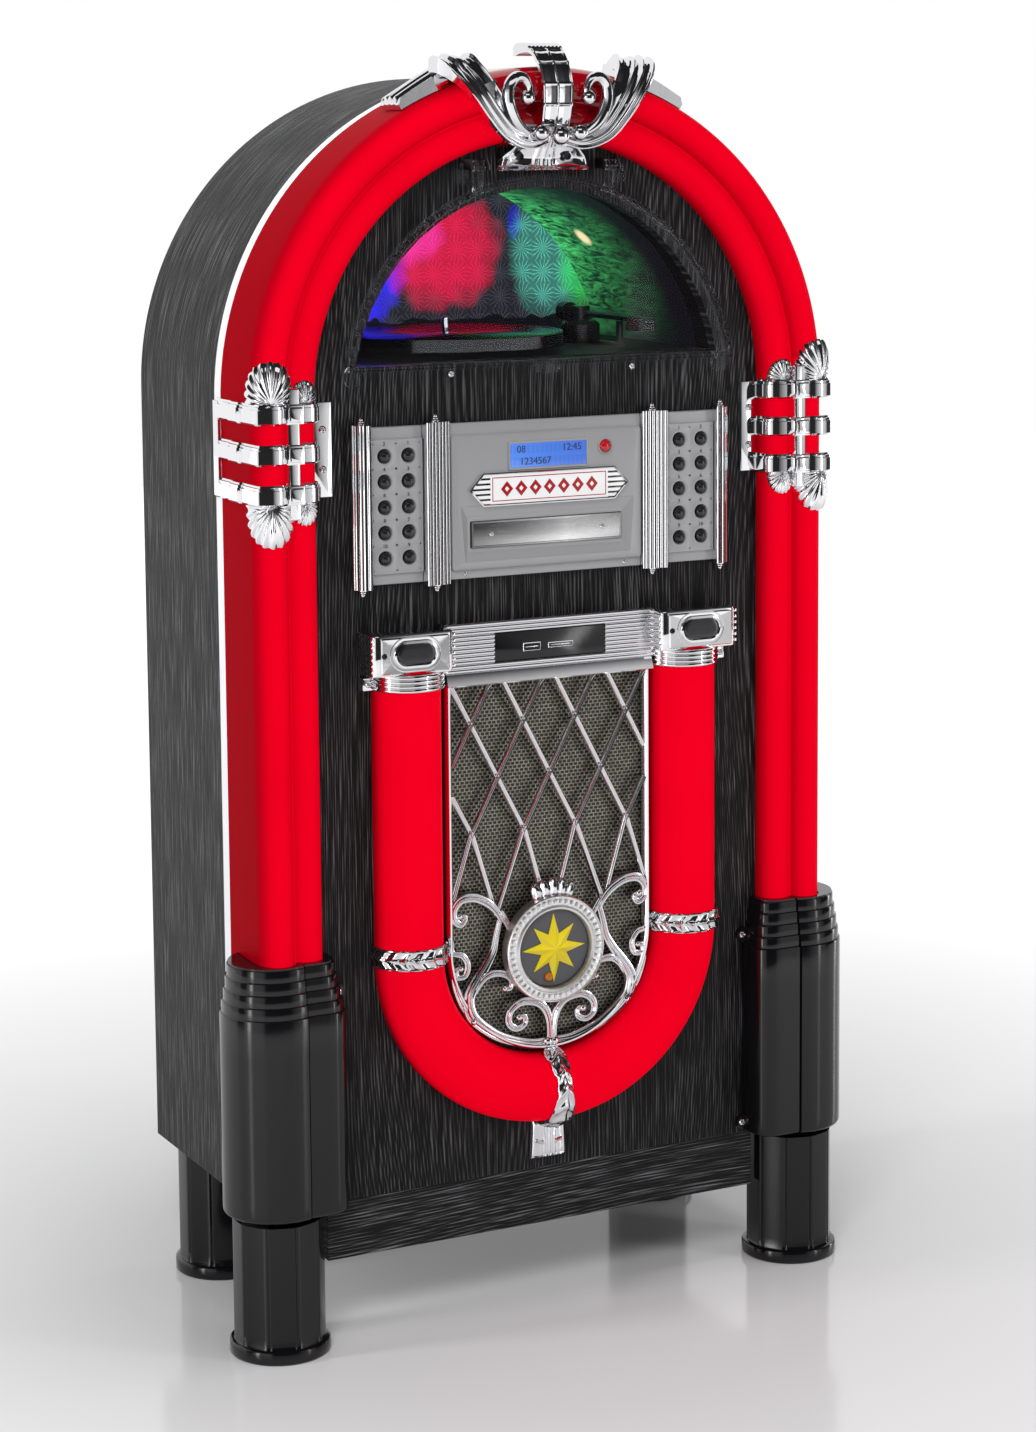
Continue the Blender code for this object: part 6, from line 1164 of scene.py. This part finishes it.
# The tube's glow falls towards its upright sides: painted shade.
tube = patch(arched(outline + (U_X, 0), U_Z, angles, leg), across=facing(outline))
piece("lit_u_tube", [tube], U_RED, replaces="u_tube")

# %% Head bar
BOX_X, PILL_Z = 0.1312, 0.5665
BOX_ROWS = ((0.5490, 0.0014, 0.0006), (0.5496, 0.0004, 0.0), (0.5506, 0.0, 0.0), (0.5808, 0.0, 0.0),
            (0.5820, 0.0006, 0.0002), (0.5825, 0.0018, 0.0008))


def ribs_along_x(x, z, ribs):
    """Ribs in z over a flat back, carried along x."""
    s = np.linspace(0, 1, ribs * 8 + 1)
    ribbed_line = np.stack([-0.0125 - rib_wave(s, ribs, 0.0014), z[0] + (z[1] - z[0]) * s], -1)
    ring = np.concatenate([[(ON_PANEL, z[0])], ribbed_line, [(ON_PANEL, z[1])]])
    return patch([np.stack([np.full(len(ring), v), ring[:, 0], ring[:, 1]], -1) for v in x])


def switch_box(side, half=0.0362, face=0.0300, cheek=0.0062):
    """Plan with round cheeks, set back at the ends of its height: the body, and a ribbed collar below it."""
    a = np.linspace(0, math.pi / 2, 8)
    right = np.stack([face + cheek * np.cos(a), cheek - cheek * np.sin(a)], -1)
    line = np.concatenate([right, right[::-1] * (-1, 1)])
    rings = []
    for z, back_by, pull in BOX_ROWS:
        end, moved = half - pull, line * ((half - pull) / half, 1) + (0, -0.0306 + back_by)
        rings.append(laid(np.concatenate([[(end, ON_PANEL)], moved, [(-end, ON_PANEL)]]) + (side * BOX_X, 0), z))
    parts, share = [patch(rings)], np.linspace(0, 1, 33)
    hug = half_round(U_R + 0.0003, 33)[::-1]
    collar = [(np.concatenate([half_round(U_R + 0.0022 + rib_wave(s, 4, 0.0012), 33), hug]), s) for s in share]
    parts.append(patch([laid(ring + (side * U_X, 0), 0.5350 + 0.0142 * s) for ring, s in collar]))
    for z in (0.5525 + 0.0050 * k for k in range(6)):
        for edge in (-1, 1):
            x = pair(edge, 0.0350 + edge * side * BOX_X, 0.0372 + edge * side * BOX_X)
            parts.append(block(x, (-0.006, -0.0290), (z, z + 0.0028)))
    return parts


def pills(side, *rows):
    """A solid from ovals that grow by some distance, at depths."""
    return [(rounded(0.0165 + grow, 0.0080 + grow, 0.0079 + grow, (side * BOX_X, PILL_Z), 12), y) for grow, y in rows]


bar = [ribs_along_x((-0.0965, 0.0965), (0.5740, 0.5840), 3), ribs_along_x((-0.0965, 0.0965), (0.5435, 0.5502), 2),
       ribs_along_x((-0.0965, -0.0512), (0.5502, 0.5740), 7), ribs_along_x((0.0512, 0.0965), (0.5502, 0.5740), 7)]
lip = [(ON_PANEL, 0.5435), (-0.0125, 0.5435), (-0.0134, 0.5430), (-0.0164, 0.5350), (-0.0166, 0.5336),
       (-0.0160, 0.5330), (-0.0140, 0.5330), (-0.0120, 0.5390), (ON_PANEL, 0.5390)]
bar.append(patch([[(x, y, z) for y, z in lip] for x in (-0.0950, 0.0950)]))
wave = [(0.0, 0.0014), (0.0012, 0.0012), (0.0019, 0.0), (0.0012, -0.0012), (0.0, -0.0014)]
for side in (-1, 1):
    bar += switch_box(side)
    face = rectangle(around(side * BOX_X, 0.0300), (0.5512, 0.5802), 0.0016, 12)
    bar.append(ring_of(pills(side, (0.0004, -0.0303), (0.0004, -0.0333))
                       + [(inset(face, 0.0008), -0.0335), (face, -0.0327), (face, -0.0303)]))
    bar.append(ring_of(pills(side, (0.0004, -0.0330), (0.0004, -0.0346), (0.0012, -0.0352), (0.0026, -0.0349),
                             (0.0034, -0.0334), (0.0034, -0.0330))))
    bar.append(ring_of(pills(side, (0.0052, -0.0330), (0.0052, -0.0338), (0.0060, -0.0338), (0.0060, -0.0330))))
    for z in (0.5440 + 0.0050 * k for k in range(8)):
        bar.append(turned(wave, (side * 0.0962, -0.0150, z + 0.0025), "Y", 16))
        bar.append(block(pair(side, 0.0938, 0.0968), (ON_PANEL, -0.0152), (z, z + 0.0032), 0.0010))
    bar.append(block(pair(side, 0.1560, 0.1676), (ON_PANEL, -0.0100), (0.5355, 0.5460), 0.0012))
piece("head_bar", bar, CHROME, replaces="media_bar")
cover = block((-0.0510, 0.0510), (-0.0100, -0.0128), (0.5504, 0.5738), 0.0005)
piece("head_plate", [cover], BLACK_GLOSS)
slots = []
for x, w, h in ((-0.0170, 0.0075, 0.0028), (0.0095, 0.0110, 0.0016)):
    near = rectangle(around(x, w), around(0.5605, h), 0.0004)
    far = rectangle(around(x, w + 0.0006), around(0.5605, h + 0.0006), 0.0006)
    slots.append(ring_of([(near, -0.0122), (near, -0.0131), (far, -0.0132), (far, -0.0122)]))
    slots.append(block(around(x, w * 0.8), (-0.0122, -0.0130), (0.5601, 0.5609), 0.0002))
piece("head_slots", slots, SATIN_CHROME)
for k, side in enumerate((-1, 1), 1):
    piece(f"box_screw_{k}", [screw(side * BOX_X - 0.0275, -0.0335, PILL_Z, 0.0024)], BLACK_SATIN)
    piece(f"corner_screw_{k}", [screw(side * 0.1625, -0.0100, 0.5408, 0.0028)], SATIN_CHROME)
for word, side in (("power", -1), ("light", 1)):
    rows = pills(side, (0.0, -0.0324), (0.0, -0.0345), (-0.0004, -0.0350), (-0.0014, -0.03525), (-0.0034, -0.0353),
                 (-0.0060, -0.0353))
    oval = patch([upright(outline, y) for outline, y in rows])
    piece(f"oval_{word}", [oval], KEY_BLACK, f"switch_{word}", f"switch_key_{word}")

# %% [markdown]
# ## The cast grille
# Crossed bars, each with two ridges, lie over a woven wire cloth, and end in scrolls. A scroll is a curve through a
# few points that carries a ridged profile, thicker in the middle. Ornament on the bands and on the clasp is relief:
# a height over a ribbon, given by cosines of the two numbers that run across and along it.

# %% Woven cloth
weave = Finish("woven_wire", (0.70, 0.66, 0.54), 0.30, 0.75)
x, _, z = weave.xyz()
row = (z + 1.0) / 0.0030
shift = row.do("FLOOR").do("MODULO", 2.0) * 0.5
au = abs(((x + 1.0) / 0.0042 + shift).do("FRACT") - 0.5)
av = abs(row.do("FRACT") - 0.5)
wire = (au > 0.385).do("MAXIMUM", av > 0.36)
tone = weave.mix(weave.noise(300.0), (0.02, 0.018, 0.014), (0.46, 0.43, 0.34))
weave.set(Base_Color=weave.mix(wire, (0.003, 0.003, 0.003), tone), Metallic=wire * 0.75)
weave.bump((au * 2.0).do("MAXIMUM", av * 1.4), 0.0005, 0.8)
sheet = polar(0.0905, np.linspace(math.pi, math.tau, 60)) + (0, U_Z)
sheet = plate(np.concatenate([[(0.0905, 0.5330), (-0.0905, 0.5330)], sheet]), -0.0004, -0.0012, 0.0002, 1)
piece("woven_cloth", [sheet], weave.material, replaces="speaker_mesh")

# %% Crossed bars, frame and scrolls
FORWARD, BAR_Y = (0.0, -1.0, 0.0), -0.0086


def mirrored(right_half, middle):
    """A symmetrical profile from its right half: the same points at negative x, then the middle one."""
    left = [(-a, b) for a, b in right_half]
    return np.array([*left, middle, *right_half[::-1]])


RIDGES = mirrored([(0.0025, 0.0), (0.0024, 0.0013), (0.0016, 0.0024), (0.0007, 0.0019)], (0.0, 0.0007))
LEAFY = mirrored([(1.0, 0.0), (0.97, 0.42), (0.84, 0.66), (0.66, 0.70), (0.52, 0.46), (0.40, 0.72), (0.20, 0.96),
                  (0.06, 0.80)], (0.0, 0.60))
LOW_BARS = ((0.0720, 0.4100, 0.0505, 0.3390), (0.0240, 0.4100, 0.0500, 0.3390), (0.0240, 0.4100, 0.0085, 0.3560),
            (0.0720, 0.4100, 0.0890, 0.3560))


def bar_between(x0, z0, x1, z1, y=BAR_Y):
    """The two ridges along a straight line from (x0, z0) to (x1, z1)."""
    path = np.stack([np.linspace(x0, x1, 3), np.full(3, y), np.linspace(z0, z1, 3)], -1)
    return sweep(RIDGES, path, FORWARD)


def lattice(pitch=0.0480, step=0.0455, z0=0.4540, low=0.4085, top=0.5350, edge=0.0895):
    """Lines x = k p +- (z - z0) p / 2 h, cut at the rails, at the top and at the medallion's seat."""
    z = np.linspace(low, top, 800)
    for way in (-1, 1):
        for k in range(-6, 7):
            x = k * pitch + way * pitch / 2 / step * (z - z0)
            i = np.where(np.abs(x) < edge)[0]
            if len(i) > 40:
                yield bar_between(x[i[0]], z[i[0]], x[i[-1]], z[i[-1]], BAR_Y - 0.0004 * way)
    for sign in (-1, 1):
        for x0, z0, x1, z1 in LOW_BARS:
            yield bar_between(sign * x0, z0, sign * x1, z1)


def scroll(points, sign, half, stops, lift, count=80):
    """Curve through points (x, z) in millimetres with a profile of three ridges; its half width follows the stops."""
    path = smooth([(sign * x / 1000, -0.0084 - lift, z / 1000) for x, z in points], count)
    scale = np.interp(np.linspace(0, 1, count), np.linspace(0, 1, len(stops)), stops)
    size = half * stops[-1]
    knob = bead(size * 1.25, size * 1.05, path[-1] + (0, -size * 0.5, 0))
    return [sweep(LEAFY * (half, min(half, 0.0042)), path, FORWARD, scale), knob]


# Each scroll is (points on the right side, half width, shares of it along the curve, lift).
SCROLLS = (
    ([(46, 337), (50, 322), (53, 309), (60, 297), (68, 286), (76, 272), (74, 258), (64, 247), (46, 235), (22, 227),
      (3, 226)], 0.0058, (0.45, 0.55, 0.7, 0.9, 1.0, 0.9, 0.75, 0.6), 0.0),
    ([(1, 229), (2, 243), (6, 254), (14, 261), (28, 263), (38, 257), (40, 247), (33, 241), (25, 244), (25, 250),
      (30, 250)], 0.0040, (0.9, 1.0, 0.95, 0.85, 0.7, 0.6), 0.0008),
    ([(45, 333), (50, 342), (58, 350), (70, 356), (82, 356), (89, 349), (89, 340), (83, 335), (79, 340), (84, 342)],
     0.0042, (0.6, 0.9, 1.0, 0.85, 0.7, 0.55), 0.0008),
    ([(91, 322), (90, 312), (82, 309), (77, 301), (79, 292), (86, 291), (87, 297), (83, 298)],
     0.0034, (0.5, 0.8, 0.9, 0.7, 0.6), 0.0004),
    ([(70, 276), (64, 285), (56, 290), (45, 289), (37, 283), (38, 276), (43, 276)],
     0.0034, (0.6, 1.0, 0.8, 0.6), 0.0006),
    ([(47, 341), (42, 334), (39, 328), (37, 321)], 0.0036, (0.9, 0.8, 0.6), 0.0002),
    ([(90, 300), (88, 284), (82, 268), (72, 252)], 0.0034, (0.5, 0.9, 1.0, 0.8), 0.0))
cast = list(lattice())
rail = polar(0.0920, np.linspace(math.pi, math.tau, 61)) + (0, U_Z)
rail = np.concatenate([[(-0.0920, 0.5330), (-0.0920, 0.42)], rail, [(0.0920, 0.42), (0.0920, 0.5330)]])
cast.append(sweep(polar(0.0030, whole_turn(14)) * (1, 1.7), upright(rail, -0.0068), FORWARD))
for sign in (-1, 1):
    for points, *rest in SCROLLS:
        cast += scroll(points, sign, *rest)


# %% Relief ribbons: bands, clasp and its end plate
def ribbon(path, out, half, lift, floor=0.0):
    """Closed strap: its front is path + side * half * u + out * lift(s, u), its back lies at a constant floor."""
    path, side, out = frame_of(path, out)
    u = np.linspace(-1, 1, lift.shape[1])
    wide = side * (np.broadcast_to(half, len(path))[:, None] * u)[..., None]
    top = path + wide + out * lift[..., None]
    base = path + wide[:, ::-1] + out * np.broadcast_to(floor, len(path))[:, None, None]
    return patch(np.concatenate([top, base[:, :: max(1, lift.shape[1] // 4)]], 1))


def shares(rows, cols):
    """Share of the way along, 0 to 1, as a column, and the place across, -1 to 1, as a row."""
    return np.linspace(0, 1, rows)[:, None], np.linspace(-1, 1, cols)[None, :]


def leaf_relief(s, u, leaves, depth):
    """Pairs of lobes that lean forward from a middle rib, as on cast foliage."""
    wave = np.cos(math.tau * (s * leaves - 0.55 * np.abs(u)))
    return depth * (0.5 + 0.5 * wave) ** 1.5 * (1 - np.abs(u) ** 4) + depth * 0.7 * bell(u, 0, 0.16)


for side in (-1, 1):
    plan = half_round(U_R + 0.0004, 120)
    out = plan - (0, U_Y)
    out[0], out[-1] = out[1], out[-2]
    s, u = shares(122, 33)
    lift = 0.0014 + 0.0010 * bell(np.abs(u), 0.90, 0.09) + leaf_relief(s, u, 9, 0.0018)
    cast.append(ribbon(laid(plan + (side * U_X, 0), 0.3165), laid(out, 0.0), 0.0086, lift))
t, (s, u) = np.linspace(0.05, math.pi, 140), shares(140, 33)
r = U_R + 0.0006
path = np.stack([0 * t, U_Y - r * np.sin(t), U_Z - U_X + r * np.cos(t)], -1)
half = 0.0098 - 0.0030 * bell(s[:, 0], 0.40, 0.16) + 0.0018 * np.clip((s[:, 0] - 0.55) / 0.3, 0, 1)
lift = 0.0022 + 0.0016 * np.sqrt(np.maximum(1 - u**2, 0)) + leaf_relief(s, u, 7, 0.0020)
cast.append(ribbon(path, np.stack([0 * t, -np.sin(t), np.cos(t)], -1), half, lift))
s, u = shares(90, 61)
away = np.abs(u)
tiles = bell(u, 0, 0.05) + bell(away, 0.30 + 0.35 * np.clip(0.45 - s, 0, 1) ** 1.2, 0.05)
tiles += bell(s, 0.62 - 0.10 * away, 0.03) * (away > 0.35) * (away < 0.80)
tiles += bell(away, 0.92, 0.05) + bell(s, 0.95, 0.025)
plump = np.sqrt(np.clip(1 - away**6, 0, 1)) * np.sqrt(np.clip(1 - np.abs(2 * s - 1) ** 8, 0, 1))
path = np.stack([np.zeros(90), np.full(90, ON_PANEL), np.linspace(0.1580, 0.1235, 90)], -1)
cast.append(ribbon(path, FORWARD, 0.0150 + 0.0016 * s[:, 0], 0.0046 * plump + 0.0015 * np.clip(tiles, 0, 1) * plump))
piece("grille_cast", cast, CAST_CHROME, replaces="grille")

# %% Medallion
MEDAL_Z, FACE_Y = 0.3065, -0.0150
RING_ROWS = ((0.0330, -0.0120), (0.0330, -0.0190), (0.0338, -0.0205), (0.0352, -0.0210), (0.0366, -0.0204),
             (0.0372, -0.0198), (0.0432, -0.0198), (0.0436, -0.0208), (0.0443, -0.0210), (0.0450, -0.0202),
             (0.0450, -0.0100), (0.0442, -0.0088), (0.0340, -0.0088))
medal = [ring_of([(polar(r, whole_turn(128)) + (0, MEDAL_Z), y) for r, y in RING_ROWS])]
stud = rounded(0.0021, 0.0019, 0.0007, (0.0402, 0.0), 2)
for c, s in polar(1.0, whole_turn(48)):
    medal.append(plate(stud @ ((c, s), (-s, c)) + (0, MEDAL_Z), -0.0192, -0.0216, 0.0005, 2))
piece("medal_ring", medal, PEARL, replaces="medallion")
petals = []
a, b = np.meshgrid(np.linspace(0, math.pi, 13), whole_turn(24), indexing="ij")
for k in range(-2, 3):
    x, z = polar(1.0, math.radians(90 - 9.0 * k))
    petal = np.stack([(0.0108 - 0.0009 * abs(k)) * np.cos(a), 0.0046 * np.sin(a) * np.cos(b),
                      0.0034 * np.sin(a) * np.sin(b) * (1 + 0.15 * np.cos(6 * b))], -1)
    base = (0.0490 * x, -0.0140, MEDAL_Z + 0.0490 * z)
    petals.append(patch(petal @ ((x, 0, z), (-z, 0, x), FORWARD) + base, caps=False))
piece("medal_crest", petals, CAST_CHROME)
MEDAL_GREY = plastic("medal_grey", (0.075, 0.075, 0.085), 0.30, 0.45)
dial = [(0.0, FACE_Y), (0.0322, FACE_Y), (0.0328, FACE_Y + 0.0006), (0.0328, -0.0095), (0.0, -0.0095)]
piece("medal_face", [turned(dial, (0, 0, MEDAL_Z), "Y", 96)], MEDAL_GREY)
k = np.arange(16)
size = np.where(k % 2 == 1, 0.0125, np.where(k % 4 == 0, 0.0290, 0.0262))
star = polar(size, math.tau * k / 16 + math.pi / 2)
valley = np.where(k % 2 == 1, 0.0012, 0.0009)
rows = ((1.0, FACE_Y + 0.0004), (1.0, FACE_Y - valley), (0.004, FACE_Y - 0.0062))
STAR = plastic("star_yellow", (0.78, 0.62, 0.02), 0.16, 0.26, 300.0, 0.00002, Specular_IOR_Level=0.5)
star = patch([upright(star * share + (0, MEDAL_Z), y) for share, y in rows])
piece("medal_star", [star], STAR, sharp=6.0)
AMBER = plastic("amber_drop", (0.45, 0.13, 0.005), 0.06, 0.12, 200.0, 0.00002, Coat_Weight=0.6)
a = np.linspace(0, math.pi, 17)
drop = np.stack([0.0038 * np.sin(a) * (1 - 0.2 * np.cos(a)), -0.0030 * np.cos(a)], -1)
piece("medal_drop", [turned(drop, (-0.0050, FACE_Y - 0.0012, 0.2822), "Y", 32)], AMBER)

# %% [markdown]
# ## The crown
# It straddles the dark cover at the top: a strap of tiles, two flared bands, two curling volutes, three balls, a
# fluted skirt that stands on the panel, and two long ribbed wings along the tube's outer edge. Every strap is the
# relief ribbon from above; only the path, the widths and the height formula change.

# %% Crown
BALL_Y, SKIRT_LOW, CROWN_HIGH, SKIRT_HALF = -0.0318, 0.9475, 0.1025, 0.0415
STRAP = [(0, 0.70, 0.27), (0, 0.84, 0.40), (0, 0.95, 0.55), (0, 0.93, 0.68), (0, 0.70, 0.82), (0, 0.40, 0.905),
         (0, 0.0, 0.928), (0, -0.35, 0.925)]
BAND = [(0.20, 0.74, 0.27), (0.58, 0.86, 0.245), (0.98, 0.95, 0.31), (1.30, 0.95, 0.45), (1.58, 0.90, 0.61),
        (1.80, 0.72, 0.74), (1.94, 0.35, 0.815), (2.0, -0.10, 0.825)]
VOLUTE = [(0.42, 0.80, 0.29), (0.66, 0.90, 0.30), (0.90, 1.0, 0.38), (1.06, 1.04, 0.52), (1.06, 1.04, 0.64),
          (0.92, 1.04, 0.715), (0.74, 1.04, 0.71), (0.62, 1.04, 0.63), (0.66, 1.04, 0.565)]
WEB = [(0.40, 0.92, 0.29), (0.76, 0.94, 0.31), (1.12, 0.94, 0.41), (1.30, 0.92, 0.55), (1.42, 0.88, 0.68)]


def crown_line(points, sign, count):
    """Path through shares of the crown's size, and its outward direction, away from the tube's middle."""
    points = [(sign * a * SKIRT_HALF, b * BALL_Y, SKIRT_LOW + CROWN_HIGH * c) for a, b, c in points]
    path = smooth(points, count)
    out = [np.zeros(count), np.minimum(path[:, 1] - 0.033, -0.0003), np.maximum(path[:, 2] - 0.967, 0.0003)]
    return path, np.stack(out, -1)


def rise(value, start, width):
    """0 before the start, 1 after the width, straight between."""
    return np.clip((value - start) / width, 0, 1)


s, u = shares(180, 65)
away, along = np.abs(u), s[:, 0]
cuts = sum(bell(s, p, 0.009) for p in (0.09, 0.25, 0.41, 0.57, 0.72)) + bell(away, 0, 0.05) + bell(away, 0.93, 0.05)
combed = 0.0010 + 0.0012 * np.abs(np.cos(math.pi * 4.5 * u)) + 0.0016 * rise(s, 0.73, 0.10)
height = 0.0030 + 0.0009 * np.clip(cuts, 0, 1) * (s < 0.74) + rise(s, 0.73, 0.02) * rise(1.0 - s, 0, 0.04) * combed
height -= 0.0006 * (1 - np.abs(away - 0.46) / 0.46).clip(0, 1) * (s < 0.72)
half = 0.0122 + 0.0030 * along + 0.0024 * rise(along, 0.70, 0.12)
crown = [ribbon(*crown_line(STRAP, 1, 180), half, height, -0.0035 * rise(along, 0.75, 0.2))]
for sign in (-1, 1):
    s, u = shares(160, 81)
    u, along, grow = sign * u, s[:, 0], np.clip(s * 1.25, 0, 1)
    ribs = bell(u, -0.95, 0.06) * 0.9 + bell(u, -0.12, 0.10) + bell(u, 0.38, 0.15) * 1.3 + bell(u, 0.90, 0.13) * 1.2
    scallop = rise(s, 0.74, 0.08) * rise(1.0 - s, 0, 0.05) * (0.4 + 0.6 * np.cos(math.pi * 3 * u) ** 2)
    height = 0.0030 + (0.0008 + 0.0016 * grow) * ribs - 0.0006 * bell(u, -0.55, 0.26) * grow + 0.0026 * scallop
    half = 0.0072 + 0.0085 * np.clip(along * 1.3, 0, 1)
    crown.append(ribbon(*crown_line(BAND, sign, 160), half, height, -0.0055 * rise(along, 0.55, 0.3)))
    crown.append(ribbon(*crown_line(WEB, sign, 60), 0.0062, np.full((60, 9), 0.0014)))
    path, t = crown_line(VOLUTE, sign, 110)[0], whole_turn(20)
    ring = np.stack([0.0046 * np.cos(t), 0.0050 * np.sin(t) * (1 + 0.10 * np.cos(4 * t))], -1)
    swell = 0.70 + 0.42 * np.sin(math.pi * np.clip(np.linspace(0, 1, 110) * 1.2, 0, 1)) ** 0.7
    crown += [sweep(ring, path, FORWARD, swell), bead(0.0062, 0.0060, path[-1], "Y", 15, 28)]
for x, z, r in ((-0.0176, 0.9775, 0.0068), (0.0176, 0.9775, 0.0068), (0.0, 0.9752, 0.0078)):
    crown.append(bead(r, r, (x, -0.0362, z), "Y", 21, 40))

# %% Skirt and wings
# The skirt's rows are (share of its height, share of its half width, share of the way forward).
SKIRT = np.array([(0, 1.0, 0), (0.3, 0.93, 0.06), (0.55, 0.72, 0.35), (0.78, 0.52, 0.70), (1, 0.42, 0.92)]).T
s, u = shares(40, 121)
x = SKIRT_HALF * np.interp(s, SKIRT[0], SKIRT[1]) * u
forward = -0.0060 - 0.0165 * np.interp(s, SKIRT[0], SKIRT[2])
fan, away = np.abs(x) / (0.0062 + 0.0060 * (1 - s)), np.abs(u)
flute = 0.0013 * np.cos(math.pi * 3.0 * np.clip(fan, 0, 1.0)) * (fan < 1) + 0.0016 * bell(away, 0.94, 0.07)
hollow = 0.0050 * bell(away, 0.62, 0.28) * (1 - s) * np.clip(s * 3, 0, 1)
back_y = forward + 0.0034 + 0 * x
front_y = np.minimum(forward - flute - 0.0020 * bell(s, 0, 0.07) + hollow, back_y - 0.0008)
z = SKIRT_LOW + 0.0325 * s + 0 * x
skirt = np.concatenate([np.stack([x, front_y, z], -1), np.stack([x, back_y, z], -1)[:, ::-1]], 1)
skirt[..., 1] = np.minimum(skirt[..., 1], ON_PANEL)
crown.append(patch(skirt))
WING_LOW, WING_Y = 0.2606, np.linspace(-0.0080, 0.0270, 49)
a, v = np.linspace(0, 1, 90)[:, None], np.linspace(0, 1, 49)[None, :]
lift = (0.0070 + 0.0090 * (1 - a) ** 1.3) * (0.70 + 0.30 * np.sin(math.pi * v)) + 0.0012 * np.cos(math.tau * 4 * v)
lift = np.maximum(lift, 0.0010) * np.clip((1.02 - a) / 0.08, 0.35, 1)
inner = WING_LOW + np.where(a < 0.36, 0.0026, 0.0003) + 0 * v
radius = np.concatenate([WING_LOW + 0.0026 + lift, inner], 1)
depth = np.broadcast_to(np.concatenate([WING_Y, WING_Y[::-1]]), radius.shape)
for sign in (-1, 1):
    angle = np.radians(90 - sign * (15.5 + 13.5 * a))
    crown.append(patch(np.stack([radius * np.cos(angle), depth, ARCH_Z + radius * np.sin(angle)], -1)))
piece("crown_cast", crown, CAST_CHROME, replaces="crown")
cup = [(0.0, 0.0006), (0.0022, 0.0006), (0.0024, -0.0008), (0.0030, -0.0010), (0.0032, 0.0004)]
for k, side in enumerate((-1, 1)):
    hole = turned(cup, (side * 0.0215, -0.0072, 0.9585), "Y", 32)
    piece(f"skirt_screw_{k + 1}", [hole], BLACK_SATIN)
